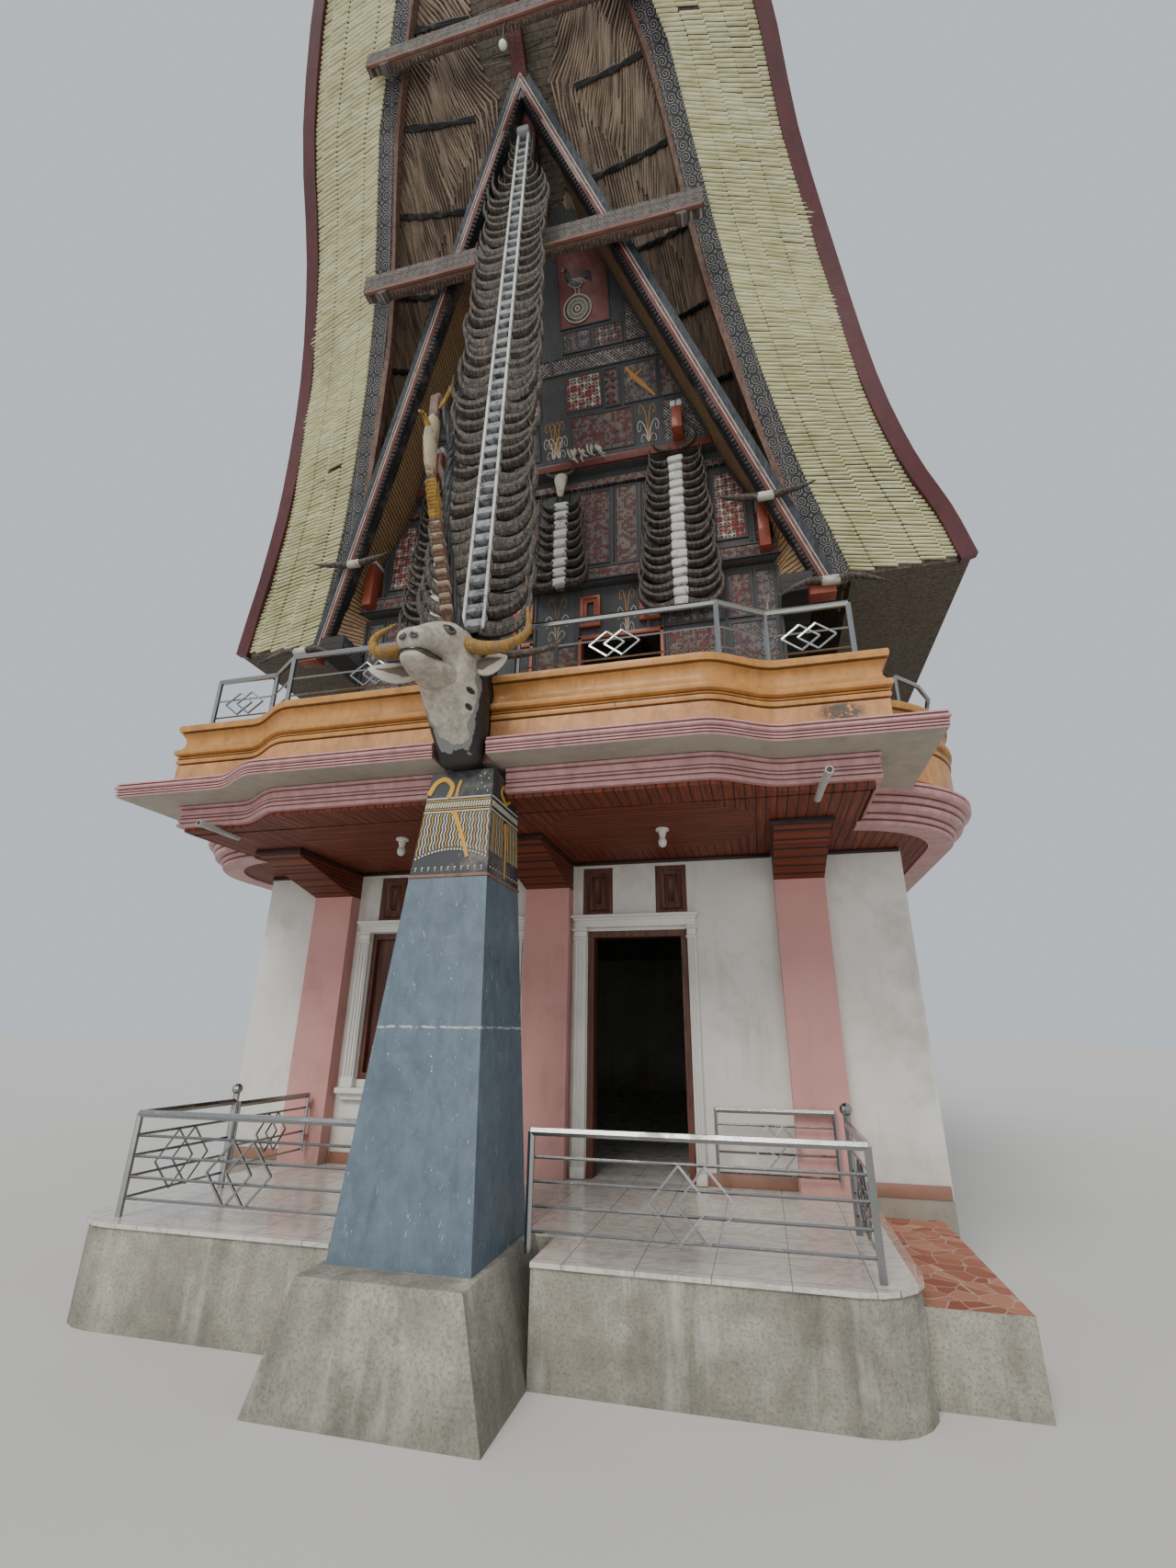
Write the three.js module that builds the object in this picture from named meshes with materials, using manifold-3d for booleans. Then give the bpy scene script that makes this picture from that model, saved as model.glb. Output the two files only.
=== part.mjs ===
// Tongkonan house: a carved timber body under a saddle-shaped bamboo roof, standing on a masonry
// ground storey with a balcony, a tiled terrace and a free-standing front pillar.
// Millimetres, +X right, +Y into the house, +Z up. The origin is on the ground under the middle of
// the ground storey.
import * as THREE from "three";
import { mergeVertices } from "three/addons/utils/BufferGeometryUtils.js";
import Module from "manifold-3d";

const wasm = await Module();
wasm.setup();

// Clearance between touching cut pieces
const GAP = 0.3;

// Ground storey
const HOUSE_HALF_WIDTH = 3280;
const HOUSE_HALF_LENGTH = 5000;
const FLOOR_Z = 570;
const CEILING_Z = 3380;
const WALL = 150;
const FRONT_Y = -HOUSE_HALF_LENGTH;

// Door, windows and vents of the ground storey
const DOOR = { x0: 374, x1: 1330, top: 2670 };
const DOOR_TRIM = { x0: 250, x1: 1416, top: 2820, depth: 40 };
const DOOR_FRAME = 60;
const WINDOW = { x0: -1950, x1: -380, z0: 1300, z1: 2700 };
const WINDOW_TRIM = 125;
const SIDE_WINDOW = { half: 700, z0: 1300, z1: 2700, at: [-2400, 2400] };
const VENT = { width: 300, z0: 2820, z1: 3290 };
const VENTS_X = [-1910, -740, 320, 1040];

// Pillars and boarded corbels on the front wall
const PILLAR_DEPTH = 160;
const PILLAR_TOP = 3070;
const PILLARS_X = [[-2588, -2150], [-220, 220], [2150, 2588]];
const CORBEL_FRONT_Y = -6110;
const CORBEL_FRONT_Z = 3290;
const SOFFIT = 30;

// Terrace and its side step
const TERRACE = { x0: -2600, x1: 2660, front: -7250, corner: 350 };
const TILE = 25;
const TILE_LIP = 15;
const STEP = { x1: 3180, y0: -6900, z: 430 };

// Front pillar: plinth, tapered box, carved box, timber post
const PLINTH = { foot: 620, top: 460, front: -7870, frontTop: -7800, back: -6680 };
const BOX_LOW = { half: 419, front: -7600, back: -6740, z: FLOOR_Z };
const BOX_HIGH = { half: 279, front: -7390, back: -6780, z: 2700 };
const CARVED_TOP = { half: 235, front: -7280, back: -6790, z: 3500 };
const POST_HALF = 100;
const POST_TOP = 11820;

// Horn column in front of the post: front line of its rails
const COLUMN = { z0: 4650, y0: -7300, z1: 11500, y1: -7020, half: 85, depth: 100, pairs: 22 };
const HORN_THICK = 46;

// Balcony: slab, canopy, parapet and rounded side galleries
const SLAB = { half: 3600, halfLength: 5800, corner: 900, top: 3700 };
const SLAB_FRONT = { half: 2850, y: -6700 };
const CANOPY = { half: 3243, z0: 3575, z1: 3700 };
const CORNICE = { half: 2868, line: { middle: -7080, ends: -6830 } };
const CANOPY_BACK_Y = -5960;
const PARAPET = { half: 2985, wall: 240, top: 4340 };
const PARAPET_BACK_Y = -5815;
const BULGE = { start: 1700, end: 2250 };
const PARAPET_Y = { middle: -7100, ends: -6860 };
const CANOPY_Y = { middle: -7380, ends: -7150 };
const SIDE_PARAPET_TOP = 4250;

// Railings and gates
const RAIL = { tube: 25, bar: 9, post: 22, top: 1190 };
const RAIL_Y = -7120;
const BALL_POST_Y = -6200;
const GATE = { hingeY: -5222, length: 925, low: 690, high: 1180, stile: 16 };
const GATE_X = { left: -2300, right: 2450 };
const BALCONY_RAIL_TOP = 4840;
const SIDE_RAIL_TOP = 4700;

// Timber body
const BODY = { half: 2465, front: -5110, board: 80, top: 6570 };
const BAND = { half: 2600, depth: 120, z1: 6760 };
const TIER = { half: 2440, z1: 8400 };
const GABLE_BEAM = { z1: 8550, front: -5450 };
const LEAN = 0.303;
const GABLE_RISE = 2950;
const RAFTER_COVER = 20;
const PLATE = { x: 2760, z0: 5860, z1: 6070, end: 5560 };
const SHUTTER_HOLE = { x0: 300, x1: 1190, z0: 4950, z1: 5850 };
const SMALL_WINDOWS = [[280, 520], [960, 1200]];
const SMALL_WINDOW_Z = [6040, 6420];

// Roof: half profile of the front verge (outer and inner), as x, y, z
const VERGE_OUTER = [
  [4400, -4950, 6380], [4210, -5080, 6920], [3880, -5340, 7470], [3590, -5590, 8370],
  [3310, -5970, 9790], [2990, -6600, 11020], [2740, -7350, 12280], [2250, -8100, 13600],
  [1550, -8750, 14700], [750, -9200, 15450], [0, -9400, 15720],
];
const VERGE_INNER = [
  [3220, -5070, 6290], [2860, -5380, 7250], [2670, -5580, 7830], [2480, -5820, 8470],
  [2260, -6130, 9300], [2080, -6450, 10170], [1740, -7310, 11880], [1200, -8100, 13300],
  [600, -8700, 14300], [0, -9000, 14800],
];
const RIDGE_OUTER_Z = 10500;
const RIDGE_INNER_Z = 9450;
const SADDLE = 2.6;
const ROOF_STATIONS = 16;
const STRIP = 200;
const STRIP_THICK = 70;

// Front and rear rafters, ridge beam and tie beams
const RAFTER = { x: 2950, footZ: 6080, footY: -5370, topZ: 12350, width: 280, thick: 140 };
const RIDGE_BEAM = { half: 80, depth: 180, drop: 30, end: 8000, steps: 16 };
const TIE_LOW = { x: 1990, z: 9900, y: -6820, height: 270, thick: 230 };
const TIE_HIGH = { x: 1690, z: 12180, y: -7800, height: 240, thick: 140 };
const KING_BLOCK = 120;

// Long-necked carved bird on the buffalo head, along the middle
const KATIK = {
  neck: [[0, -7600, 4330], [0, -7860, 4760], [0, -8130, 5250], [0, -8220, 5700], [0, -8160, 6120]],
  radius: 52,
  beakBase: { half: 40, front: -8330, back: -8090, z: 6040 },
  beakTop: { half: 18, front: -8420, back: -8120, z: 6180 },
};

// Post behind the house, with its plinth
const REAR_POST = {
  foot: { half: 420, front: -7500, back: -6700, z: 0 },
  plinthTop: { half: 360, front: -7440, back: -6760, z: FLOOR_Z },
  shaftLow: { half: 140, front: -7240, back: -6960, z: FLOOR_Z - 5 },
  shaftTop: { half: 100, front: -6940, back: -6740, z: POST_TOP },
};

// Horn columns on the facade
const FACADE_COLUMNS = [
  { name: "horn_column_right", x: 1445, z0: 6020, z1: 8300, half: 400, pairs: 10 },
  { name: "horn_column_left", x: -1445, z0: 6020, z1: 8300, half: 400, pairs: 10 },
  { name: "horn_column_middle", x: 70, z0: 6500, z1: 7800, half: 300, pairs: 6 },
];

const COLOURS = {
  concrete: 0x8f8a80, tile: 0xcfccc4, white: 0xe6e4de, pink: 0xd99a95, wood: 0x7a3a20,
  soffit: 0x8a3f1f, orange: 0xd08a4a, steel: 0xb8bcc0, grey: 0x7f97a6, dark: 0x2b2622,
  carved: 0x33302e, bamboo: 0xc9c08f, horn: 0x5c544b, head: 0xd8d4cc, ochre: 0xc09030,
  red: 0x6a2420, glass: 0x20262a,
};

const house = new THREE.Group();

// Closed body of one geometry
function solid(geometry) {
  const bare = geometry.index ? geometry.toNonIndexed() : geometry.clone();
  bare.deleteAttribute("normal");
  bare.deleteAttribute("uv");
  const merged = mergeVertices(bare, 1e-3);
  return new wasm.Manifold(new wasm.Mesh({
    numProp: 3,
    vertProperties: new Float32Array(merged.attributes.position.array),
    triVerts: new Uint32Array(merged.index.array),
  }));
}

function geometryOf(manifold) {
  const mesh = manifold.getMesh();
  const positions = new Float32Array(mesh.numVert * 3);
  for (let i = 0; i < mesh.numVert; i++) {
    for (let k = 0; k < 3; k++) positions[3 * i + k] = mesh.vertProperties[mesh.numProp * i + k];
  }
  const geometry = new THREE.BufferGeometry();
  geometry.setAttribute("position", new THREE.BufferAttribute(positions, 3));
  geometry.setIndex(new THREE.BufferAttribute(mesh.triVerts.slice(), 1));
  return geometry;
}

function join(...pieces) {
  return pieces.flat(2).map((p) => (p.isBufferGeometry ? solid(p) : p)).reduce((a, b) => a.add(b));
}

function cut(piece, ...tools) {
  const body = piece.isBufferGeometry ? solid(piece) : piece;
  return tools.flat(2).map((t) => (t.isBufferGeometry ? solid(t) : t)).reduce((a, b) => a.subtract(b), body);
}

// A body grown by the clearance sideways and down, as the tool that cuts a seat for it
function withRoom(body) {
  const steps = [[GAP, 0, 0], [-GAP, 0, 0], [0, GAP, 0], [0, -GAP, 0], [0, 0, -GAP]];
  return steps.map((step) => body.translate(step)).reduce((a, b) => a.add(b), body);
}

// Adds a piece to the house as one named mesh
function put(name, piece, colour, roughness = 0.8, metalness = 0) {
  const geometry = piece.isBufferGeometry ? piece : geometryOf(piece);
  const material = new THREE.MeshStandardMaterial({ color: COLOURS[colour], roughness, metalness });
  const mesh = new THREE.Mesh(geometry, material);
  mesh.name = name;
  house.add(mesh);
  return mesh;
}

function block(x0, x1, y0, y1, z0, z1) {
  const box = new THREE.BoxGeometry(x1 - x0, y1 - y0, z1 - z0);
  return box.translate((x0 + x1) / 2, (y0 + y1) / 2, (z0 + z1) / 2);
}

// Prism of an outline, from height 0 to depth
function prism(points, depth) {
  const shape = new THREE.Shape(points.map(([a, b]) => new THREE.Vector2(a, b)));
  return new THREE.ExtrudeGeometry(shape, { depth, bevelEnabled: false });
}

// Upright plate from an outline in x and y
function plate(points, z0, z1) {
  return prism(points, z1 - z0).translate(0, 0, z0);
}

// Wall parallel to the front from an outline in x and z, pierced by its holes
function frontWall(points, y0, y1, holes = []) {
  const wall = prism(points, y1 - y0).rotateX(Math.PI / 2).translate(0, y1, 0);
  return holes.length ? cut(wall, holes.map((h) => frontWall(h, y0 - 5, y1 + 5))) : wall;
}

// Wall parallel to the side from an outline in y and z, pierced by its holes
function sideWall(points, x0, x1, holes = []) {
  const turn = new THREE.Matrix4().set(0, 0, 1, x0, 1, 0, 0, 0, 0, 1, 0, 0, 0, 0, 0, 1);
  const wall = prism(points, x1 - x0).applyMatrix4(turn);
  return holes.length ? cut(wall, holes.map((h) => sideWall(h, x0 - 5, x1 + 5))) : wall;
}

function rectangle(a0, a1, b0, b1) {
  return [[a0, b0], [a1, b0], [a1, b1], [a0, b1]];
}

// Triangles of an outline, in the outline's own turning sense
function outlineTriangles(outline) {
  const flat = outline.map(([a, b]) => new THREE.Vector2(a, b));
  const order = THREE.ShapeUtils.area(flat) < 0 ? [0, 2, 1] : [0, 1, 2];
  return THREE.ShapeUtils.triangulateShape(flat, []).map((triangle) => order.map((k) => triangle[k]));
}

// Body through rings of points that share one outline; ends are closed by the outline's triangles
function loft(outline, rings, ends = outlineTriangles(outline)) {
  const n = outline.length;
  const positions = rings.flat().flat();
  const index = [];
  const face = (a, b, c) => index.push(a, b, c);
  for (let r = 0; r < rings.length - 1; r++) {
    for (let i = 0; i < n; i++) {
      const j = (i + 1) % n;
      face(r * n + i, r * n + j, (r + 1) * n + j);
      face(r * n + i, (r + 1) * n + j, (r + 1) * n + i);
    }
  }
  const last = (rings.length - 1) * n;
  for (const [a, b, c] of ends) {
    face(a, c, b);
    face(last + a, last + b, last + c);
  }
  const geometry = new THREE.BufferGeometry();
  geometry.setAttribute("position", new THREE.Float32BufferAttribute(positions, 3));
  geometry.setIndex(signedVolume(positions, index) < 0 ? index.reverse() : index);
  return geometry;
}

// Volume that the triangles enclose, negative when they face inwards
function signedVolume(positions, index) {
  const at = (i) => new THREE.Vector3(...positions.slice(3 * i, 3 * i + 3));
  let sum = 0;
  for (let i = 0; i < index.length; i += 3) {
    const [a, b, c] = [at(index[i]), at(index[i + 1]), at(index[i + 2])];
    sum += a.dot(b.cross(c)) / 6;
  }
  return sum;
}

// Box whose bottom and top rectangles differ
function taperedBox(low, high) {
  const ring = (s) => [
    [-s.half, s.front, s.z], [s.half, s.front, s.z], [s.half, s.back, s.z], [-s.half, s.back, s.z],
  ];
  return loft(rectangle(-1, 1, -1, 1), [ring(low), ring(high)]);
}

// Straight round or square bar between two points
function bar(from, to, radius, sides = 6) {
  const a = new THREE.Vector3(...from);
  const b = new THREE.Vector3(...to);
  const along = b.clone().sub(a);
  const cylinder = new THREE.CylinderGeometry(radius, radius, along.length(), sides);
  const turn = new THREE.Quaternion().setFromUnitVectors(new THREE.Vector3(0, 1, 0), along.clone().normalize());
  cylinder.applyQuaternion(turn);
  return cylinder.translate(...a.add(b).multiplyScalar(0.5).toArray());
}

// Mitred tube of six sides along level points
function levelTube(points, z, radius, sides = 6) {
  const section = arc(0, 0, radius, 0, 360, sides).slice(0, -1);
  const rings = points.map((p, i) => {
    const before = points[Math.max(i - 1, 0)];
    const after = points[Math.min(i + 1, points.length - 1)];
    const unit = (a, b) => new THREE.Vector2(b[0] - a[0], b[1] - a[1]).normalize();
    const u = before === p ? unit(p, after) : unit(before, p);
    const w = after === p ? unit(before, p) : unit(p, after);
    const normal = new THREE.Vector2(-u.y - w.y, u.x + w.x).normalize();
    const stretch = 1 / Math.max(normal.dot(new THREE.Vector2(-u.y, u.x)), 0.3);
    return section.map(([a, b]) => [p[0] + normal.x * a * stretch, p[1] + normal.y * a * stretch, z + b]);
  });
  return loft(section, rings);
}

// Tube along a smooth curve
function tube(points, radius, sides, steps) {
  const path = new THREE.CatmullRomCurve3(points.map((p) => new THREE.Vector3(...p)));
  const outline = arc(0, 0, radius, 0, 360, sides).slice(0, -1);
  const section = new THREE.Shape(outline.map(([a, b]) => new THREE.Vector2(a, b)));
  return new THREE.ExtrudeGeometry(section, { steps, extrudePath: path, bevelEnabled: false });
}

function flipX(manifold) {
  return manifold.mirror([1, 0, 0]);
}

function rear(manifold) {
  return manifold.mirror([0, 1, 0]);
}

// Rounded corners of a plan outline, as arcs between straight runs
function arc(cx, cy, r, a0, a1, steps = 6) {
  return Array.from({ length: steps + 1 }, (_, i) => {
    const a = THREE.MathUtils.degToRad(a0 + ((a1 - a0) * i) / steps);
    return [cx + r * Math.cos(a), cy + r * Math.sin(a)];
  });
}

function foundation() {
  put("foundation", block(-HOUSE_HALF_WIDTH, HOUSE_HALF_WIDTH, FRONT_Y, HOUSE_HALF_LENGTH, 0, FLOOR_Z), "tile");
}

// Terrace block with its tile lip; the pillar plinth stands in its front edge
function terrace() {
  const r = TERRACE.corner;
  const outline = (grow) => [
    [TERRACE.x1 + grow, FRONT_Y - GAP],
    [TERRACE.x0 - grow, FRONT_Y - GAP],
    ...arc(TERRACE.x0 + r, TERRACE.front + r, r + grow, 180, 270, 5),
    ...arc(TERRACE.x1 - r, TERRACE.front + r, r + grow, 270, 360, 5),
  ];
  const body = plate(outline(0), 0, FLOOR_Z - TILE);
  const tiles = plate(outline(TILE_LIP), FLOOR_Z - TILE - 1, FLOOR_Z);
  const step = block(TERRACE.x1 - 10, STEP.x1, STEP.y0, FRONT_Y - GAP, 0, STEP.z);
  const half = PLINTH.foot + GAP;
  const seat = block(-half, half, PLINTH.front - 10, PLINTH.back + GAP, -10, FLOOR_Z + 10);
  put("terrace", cut(join(body, tiles, step), seat), "concrete", 0.9);
}

function frontPillar() {
  const foot = { half: PLINTH.foot, front: PLINTH.front, back: PLINTH.back, z: 0 };
  const head = { half: PLINTH.top, front: PLINTH.frontTop, back: PLINTH.back, z: FLOOR_Z };
  put("pillar_plinth", taperedBox(foot, head), "concrete", 0.95);
  put("pillar_box", taperedBox(BOX_LOW, BOX_HIGH), "grey", 0.6);
  put("carved_box", taperedBox({ ...BOX_HIGH, z: BOX_HIGH.z }, CARVED_TOP), "carved");
}

// Front line of the horn rails at a height
function railY(z) {
  return COLUMN.y0 + ((z - COLUMN.z0) * (COLUMN.y1 - COLUMN.y0)) / (COLUMN.z1 - COLUMN.z0);
}

function mainPost() {
  const ring = (z) => {
    const front = railY(z) + COLUMN.depth + GAP;
    return { half: POST_HALF, front, back: front + 2 * POST_HALF, z };
  };
  return solid(taperedBox(ring(CARVED_TOP.z), ring(POST_TOP)));
}

// One horn pair: a crescent open upwards, tips up, in the plane of the front
function crescent(half, thick, depth) {
  const spread = 62;
  const radius = half / Math.sin(THREE.MathUtils.degToRad(spread));
  const low = arc(0, radius, radius, 270 - spread, 270 + spread, 4);
  const high = arc(0, radius + thick, radius, 270 + spread - 3, 270 - spread + 3, 4);
  return frontWall([...low, ...high], -depth, 0);
}

function mainHornColumn() {
  const ring = (z) => [
    [-COLUMN.half, railY(z), z], [COLUMN.half, railY(z), z],
    [COLUMN.half, railY(z) + COLUMN.depth, z], [-COLUMN.half, railY(z) + COLUMN.depth, z],
  ];
  const pieces = [loft(rectangle(-1, 1, -1, 1), [ring(COLUMN.z0), ring(COLUMN.z1)])];
  const pitch = (COLUMN.z1 - COLUMN.z0 - 150) / COLUMN.pairs;
  for (let i = 0; i < COLUMN.pairs; i++) {
    const z = COLUMN.z0 + 40 + i * pitch;
    const room = rafterOuterX(z + 120) - RAFTER.width - 90;
    const half = Math.min(470 - 7.5 * i, room);
    pieces.push(crescent(half, HORN_THICK * 1.6, 70).translate(0, railY(z) + 85, z));
  }
  put("main_horn_column", join(pieces), "horn");
}

function facadeHornColumn({ name, x, z0, z1, half, pairs }) {
  const front = BODY.front - BAND.depth - GAP;
  const pieces = [block(x - 60, x + 60, front - 90, front, z0, z1)];
  const pitch = (z1 - z0 - 60) / pairs;
  for (let i = 0; i < pairs; i++) {
    pieces.push(crescent(half, HORN_THICK * 1.3, 60).translate(x, front - 15, z0 + 20 + i * pitch));
  }
  put(name, join(pieces), "horn");
}

// Buffalo head raised forward from the post, with its horns
function buffaloHead() {
  const post = railY(4000) + COLUMN.depth;
  const outline = arc(0, 0, 1, 22.5, 382.5, 8).slice(0, -1);
  const sections = [
    [post, 3960, 170, 420], [post - 190, 4020, 200, 400], [post - 400, 4100, 190, 300],
    [post - 600, 4160, 150, 200], [post - 760, 4200, 125, 150], [post - 860, 4230, 80, 90],
  ];
  const rings = sections.map(([y, z, w, h]) => outline.map(([a, b]) => [a * w, y, z + b * h]));
  const skull = loft(outline, rings);
  const horns = crescent(540, 110, 110).translate(0, post - 160, 4250);
  return join(skull, horns);
}

function katik() {
  const neck = tube(KATIK.neck, KATIK.radius, 6, 8);
  return join(neck, taperedBox(KATIK.beakBase, KATIK.beakTop));
}

function groundWalls() {
  const vent = (i) => rectangle(VENTS_X[i], VENTS_X[i] + VENT.width, VENT.z0, VENT.z1);
  const window = rectangle(WINDOW.x0, WINDOW.x1, WINDOW.z0, WINDOW.z1);
  const left = [
    [-HOUSE_HALF_WIDTH, FLOOR_Z], [DOOR.x0, FLOOR_Z], [DOOR.x0, DOOR.top],
    [DOOR_TRIM.x0, DOOR.top], [DOOR_TRIM.x0, CEILING_Z], [-HOUSE_HALF_WIDTH, CEILING_Z],
  ];
  const right = [
    [DOOR.x1, FLOOR_Z], [HOUSE_HALF_WIDTH, FLOOR_Z], [HOUSE_HALF_WIDTH, CEILING_Z],
    [DOOR_TRIM.x1, CEILING_Z], [DOOR_TRIM.x1, DOOR.top], [DOOR.x1, DOOR.top],
  ];
  const over = rectangle(DOOR_TRIM.x0, DOOR_TRIM.x1, DOOR.top, CEILING_Z);
  put("front_wall_left", frontWall(left, FRONT_Y, FRONT_Y + WALL, [window, vent(0), vent(1)]), "white");
  put("front_wall_right", frontWall(right, FRONT_Y, FRONT_Y + WALL), "white");
  put("wall_over_door", frontWall(over, FRONT_Y, FRONT_Y + WALL, [vent(2), vent(3)]), "white");
  const inner = HOUSE_HALF_LENGTH - WALL;
  const holes = SIDE_WINDOW.at.map((y) =>
    rectangle(y - SIDE_WINDOW.half, y + SIDE_WINDOW.half, SIDE_WINDOW.z0, SIDE_WINDOW.z1));
  const side = rectangle(-inner, inner, FLOOR_Z, CEILING_Z);
  put("left_wall", sideWall(side, -HOUSE_HALF_WIDTH, -HOUSE_HALF_WIDTH + WALL, holes), "white");
  put("right_wall", sideWall(side, HOUSE_HALF_WIDTH - WALL, HOUSE_HALF_WIDTH, holes), "white");
  const half = HOUSE_HALF_WIDTH;
  put("back_wall", block(-half, half, inner, HOUSE_HALF_LENGTH, FLOOR_Z, CEILING_Z), "white");
}

// Sheets of glass against the inside of the side walls close their windows
function sideGlass() {
  const reach = SIDE_WINDOW.at[1] + SIDE_WINDOW.half + 60;
  const inner = HOUSE_HALF_WIDTH - WALL;
  const z = [SIDE_WINDOW.z0 - 60, SIDE_WINDOW.z1 + 60];
  put("left_window_glass", block(-inner, -inner + 8, -reach, reach, ...z), "glass", 0.1);
  put("right_window_glass", block(inner - 8, inner, -reach, reach, ...z), "glass", 0.1);
}

// Lugs that carry the gate stile stand out of the pillar face
function gateLugs(x) {
  const end = GATE.hingeY + GATE.stile + GAP;
  const root = FRONT_Y - PILLAR_DEPTH + 20;
  return [GATE.low + 90, GATE.high - 130].map((z) => block(x - 14, x + 14, end, root, z, z + 50));
}

function wallPillars() {
  const names = ["pillar_left", "pillar_middle", "pillar_right"];
  const lugs = [gateLugs(GATE_X.left), [], gateLugs(GATE_X.right)];
  names.forEach((name, i) => {
    const [x0, x1] = PILLARS_X[i];
    put(name, join(block(x0, x1, FRONT_Y - PILLAR_DEPTH, FRONT_Y, FLOOR_Z, PILLAR_TOP), lugs[i]), "pink");
  });
}

// Boarded ceiling under the balcony, with the boarded corbels on the pillars
function soffit() {
  const z0 = CEILING_Z - SOFFIT;
  const board = cut(slabSolid(40, z0, CEILING_Z), houseCore(z0 - 10, CEILING_Z + 10));
  const corbel = (x0, x1) => sideWall([
    [FRONT_Y - PILLAR_DEPTH, PILLAR_TOP], [FRONT_Y - GAP, PILLAR_TOP], [FRONT_Y - GAP, z0 + 5],
    [CORBEL_FRONT_Y, z0 + 5], [CORBEL_FRONT_Y, CORBEL_FRONT_Z],
  ], x0, x1);
  put("soffit", join(board, PILLARS_X.map(([x0, x1]) => corbel(x0, x1))), "soffit");
}

function houseCore(z0, z1) {
  const w = HOUSE_HALF_WIDTH + GAP;
  const l = HOUSE_HALF_LENGTH + GAP;
  return block(-w, w, -l, l, z0, z1);
}

// Floor slab or the ceiling under it: rounded corners and a front bay
function slabSolid(inset, z0, z1) {
  const half = SLAB.half - inset;
  const length = SLAB.halfLength - inset;
  const r = SLAB.corner;
  const outline = [
    ...arc(half - r, -length + r, r, 270, 360, 5), ...arc(half - r, length - r, r, 0, 90, 5),
    ...arc(-half + r, length - r, r, 90, 180, 5), ...arc(-half + r, -length + r, r, 180, 270, 5),
  ];
  const bay = SLAB_FRONT.half - inset;
  return join(plate(outline, z0, z1), block(-bay, bay, SLAB_FRONT.y + inset, -length + r, z0, z1));
}

// Front edge of the balcony: a straight middle that steps back in an S near each side
function frontLine(line, x) {
  const t = THREE.MathUtils.smoothstep(Math.abs(x), BULGE.start, BULGE.end);
  return line.middle + (line.ends - line.middle) * t;
}

function stationsTo(half) {
  const bends = [0, 0.25, 0.5, 0.75, 1].map((t) => BULGE.start + t * (BULGE.end - BULGE.start));
  return [-half, ...bends.map((b) => -b).reverse(), ...bends, half];
}

// Moulding that follows the front line; profile points are offset outwards and height
function frontMoulding(line, half, profile) {
  const rings = stationsTo(half).map((x) => profile.map(([out, z]) => {
    const y = out === null ? SLAB_FRONT.y - GAP : frontLine(line, x) - out;
    return [x, y, z];
  }));
  const outline = rings[0].map(([, y, z]) => [y, z]);
  return loft(outline, rings);
}

function frontCanopy() {
  const edge = frontMoulding(CANOPY_Y, CANOPY.half, [
    [null, CANOPY.z0 - 5], [-60, CANOPY.z0], [-20, CANOPY.z0 + 30], [0, CANOPY.z0 + 60], [0, 3690],
    [-40, CANOPY.z1], [null, CANOPY.z1],
  ]);
  const cornice = frontMoulding(CORNICE.line, CORNICE.half, [
    [null, CEILING_Z], [-60, CEILING_Z], [-25, 3430], [0, 3470], [0, CANOPY.z0 + 5], [null, CANOPY.z0 + 5],
  ]);
  const x0 = SLAB_FRONT.half + GAP;
  const ends = [1, -1].map((s) => {
    const [a, b] = s > 0 ? [x0, CANOPY.half] : [-CANOPY.half, -x0];
    return block(a, b, SLAB_FRONT.y - 200, CANOPY_BACK_Y, CANOPY.z0 + 4, CANOPY.z1);
  });
  const ring = [sideRingSolid(1, GAP), sideRingSolid(-1, GAP)];
  const room = BOX_HIGH.half + 11;
  const notch = block(-room, room, BOX_LOW.front, BOX_LOW.back - 30, CEILING_Z - 10, CANOPY.z1 + 10);
  put("front_canopy", cut(join(edge, cornice, ends), notch, ring), "pink");
}

function frontParapet() {
  const z0 = CANOPY.z1;
  const wall = frontMoulding(PARAPET_Y, PARAPET.half, [
    [-PARAPET.wall, z0], [0, z0], [0, 3900], [-45, 3960], [-45, 4080], [20, 4200], [20, 4280],
    [-10, PARAPET.top], [-PARAPET.wall, PARAPET.top],
  ]);
  const ends = [1, -1].map((s) => {
    const [a, b] = s > 0 ? [PARAPET.half - 150, PARAPET.half] : [-PARAPET.half, -PARAPET.half + 150];
    return block(a, b, -6700, PARAPET_BACK_Y, z0, PARAPET.top);
  });
  const room = POST_HALF + 25;
  const notch = block(-room, room, BOX_HIGH.front - 10, -6905, z0 - 10, PARAPET.top + 10);
  put("front_parapet", cut(join(wall, ends), notch), "orange");
}

// Section of the side gallery edge: pink cornice below, orange parapet above
function ringProfile() {
  return [
    [GAP, CEILING_Z - 50], [120, CEILING_Z - 50], [150, 3400], [220, 3430], [240, 3520], [300, 3560],
    [300, 3640], [200, 3690], [200, 3980], [170, 4050], [225, 4180], [225, SIDE_PARAPET_TOP],
    [50, SIDE_PARAPET_TOP], [50, SLAB.top + GAP], [GAP, SLAB.top + GAP],
  ];
}

// Plan path of the slab edge from the front bay round to the middle of the rear, with outward normals
function edgePath(side) {
  const r = SLAB.corner;
  const cx = SLAB.half - r;
  const cy = SLAB.halfLength - r;
  const stops = [];
  for (const a of [-90, -72, -54, -36, -18, 0]) stops.push([cx, -cy, a]);
  for (const a of [0, 18, 36, 54, 72, 90]) stops.push([cx, cy, a]);
  stops.push([0, cy, 90]);
  return stops.map(([x, y, a]) => {
    const c = Math.cos(THREE.MathUtils.degToRad(a));
    const s = Math.sin(THREE.MathUtils.degToRad(a));
    const start = x === 0 ? GAP / 2 : x;
    return { x: side * (start + r * c), y: y + r * s, nx: side * c, ny: s };
  });
}

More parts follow.
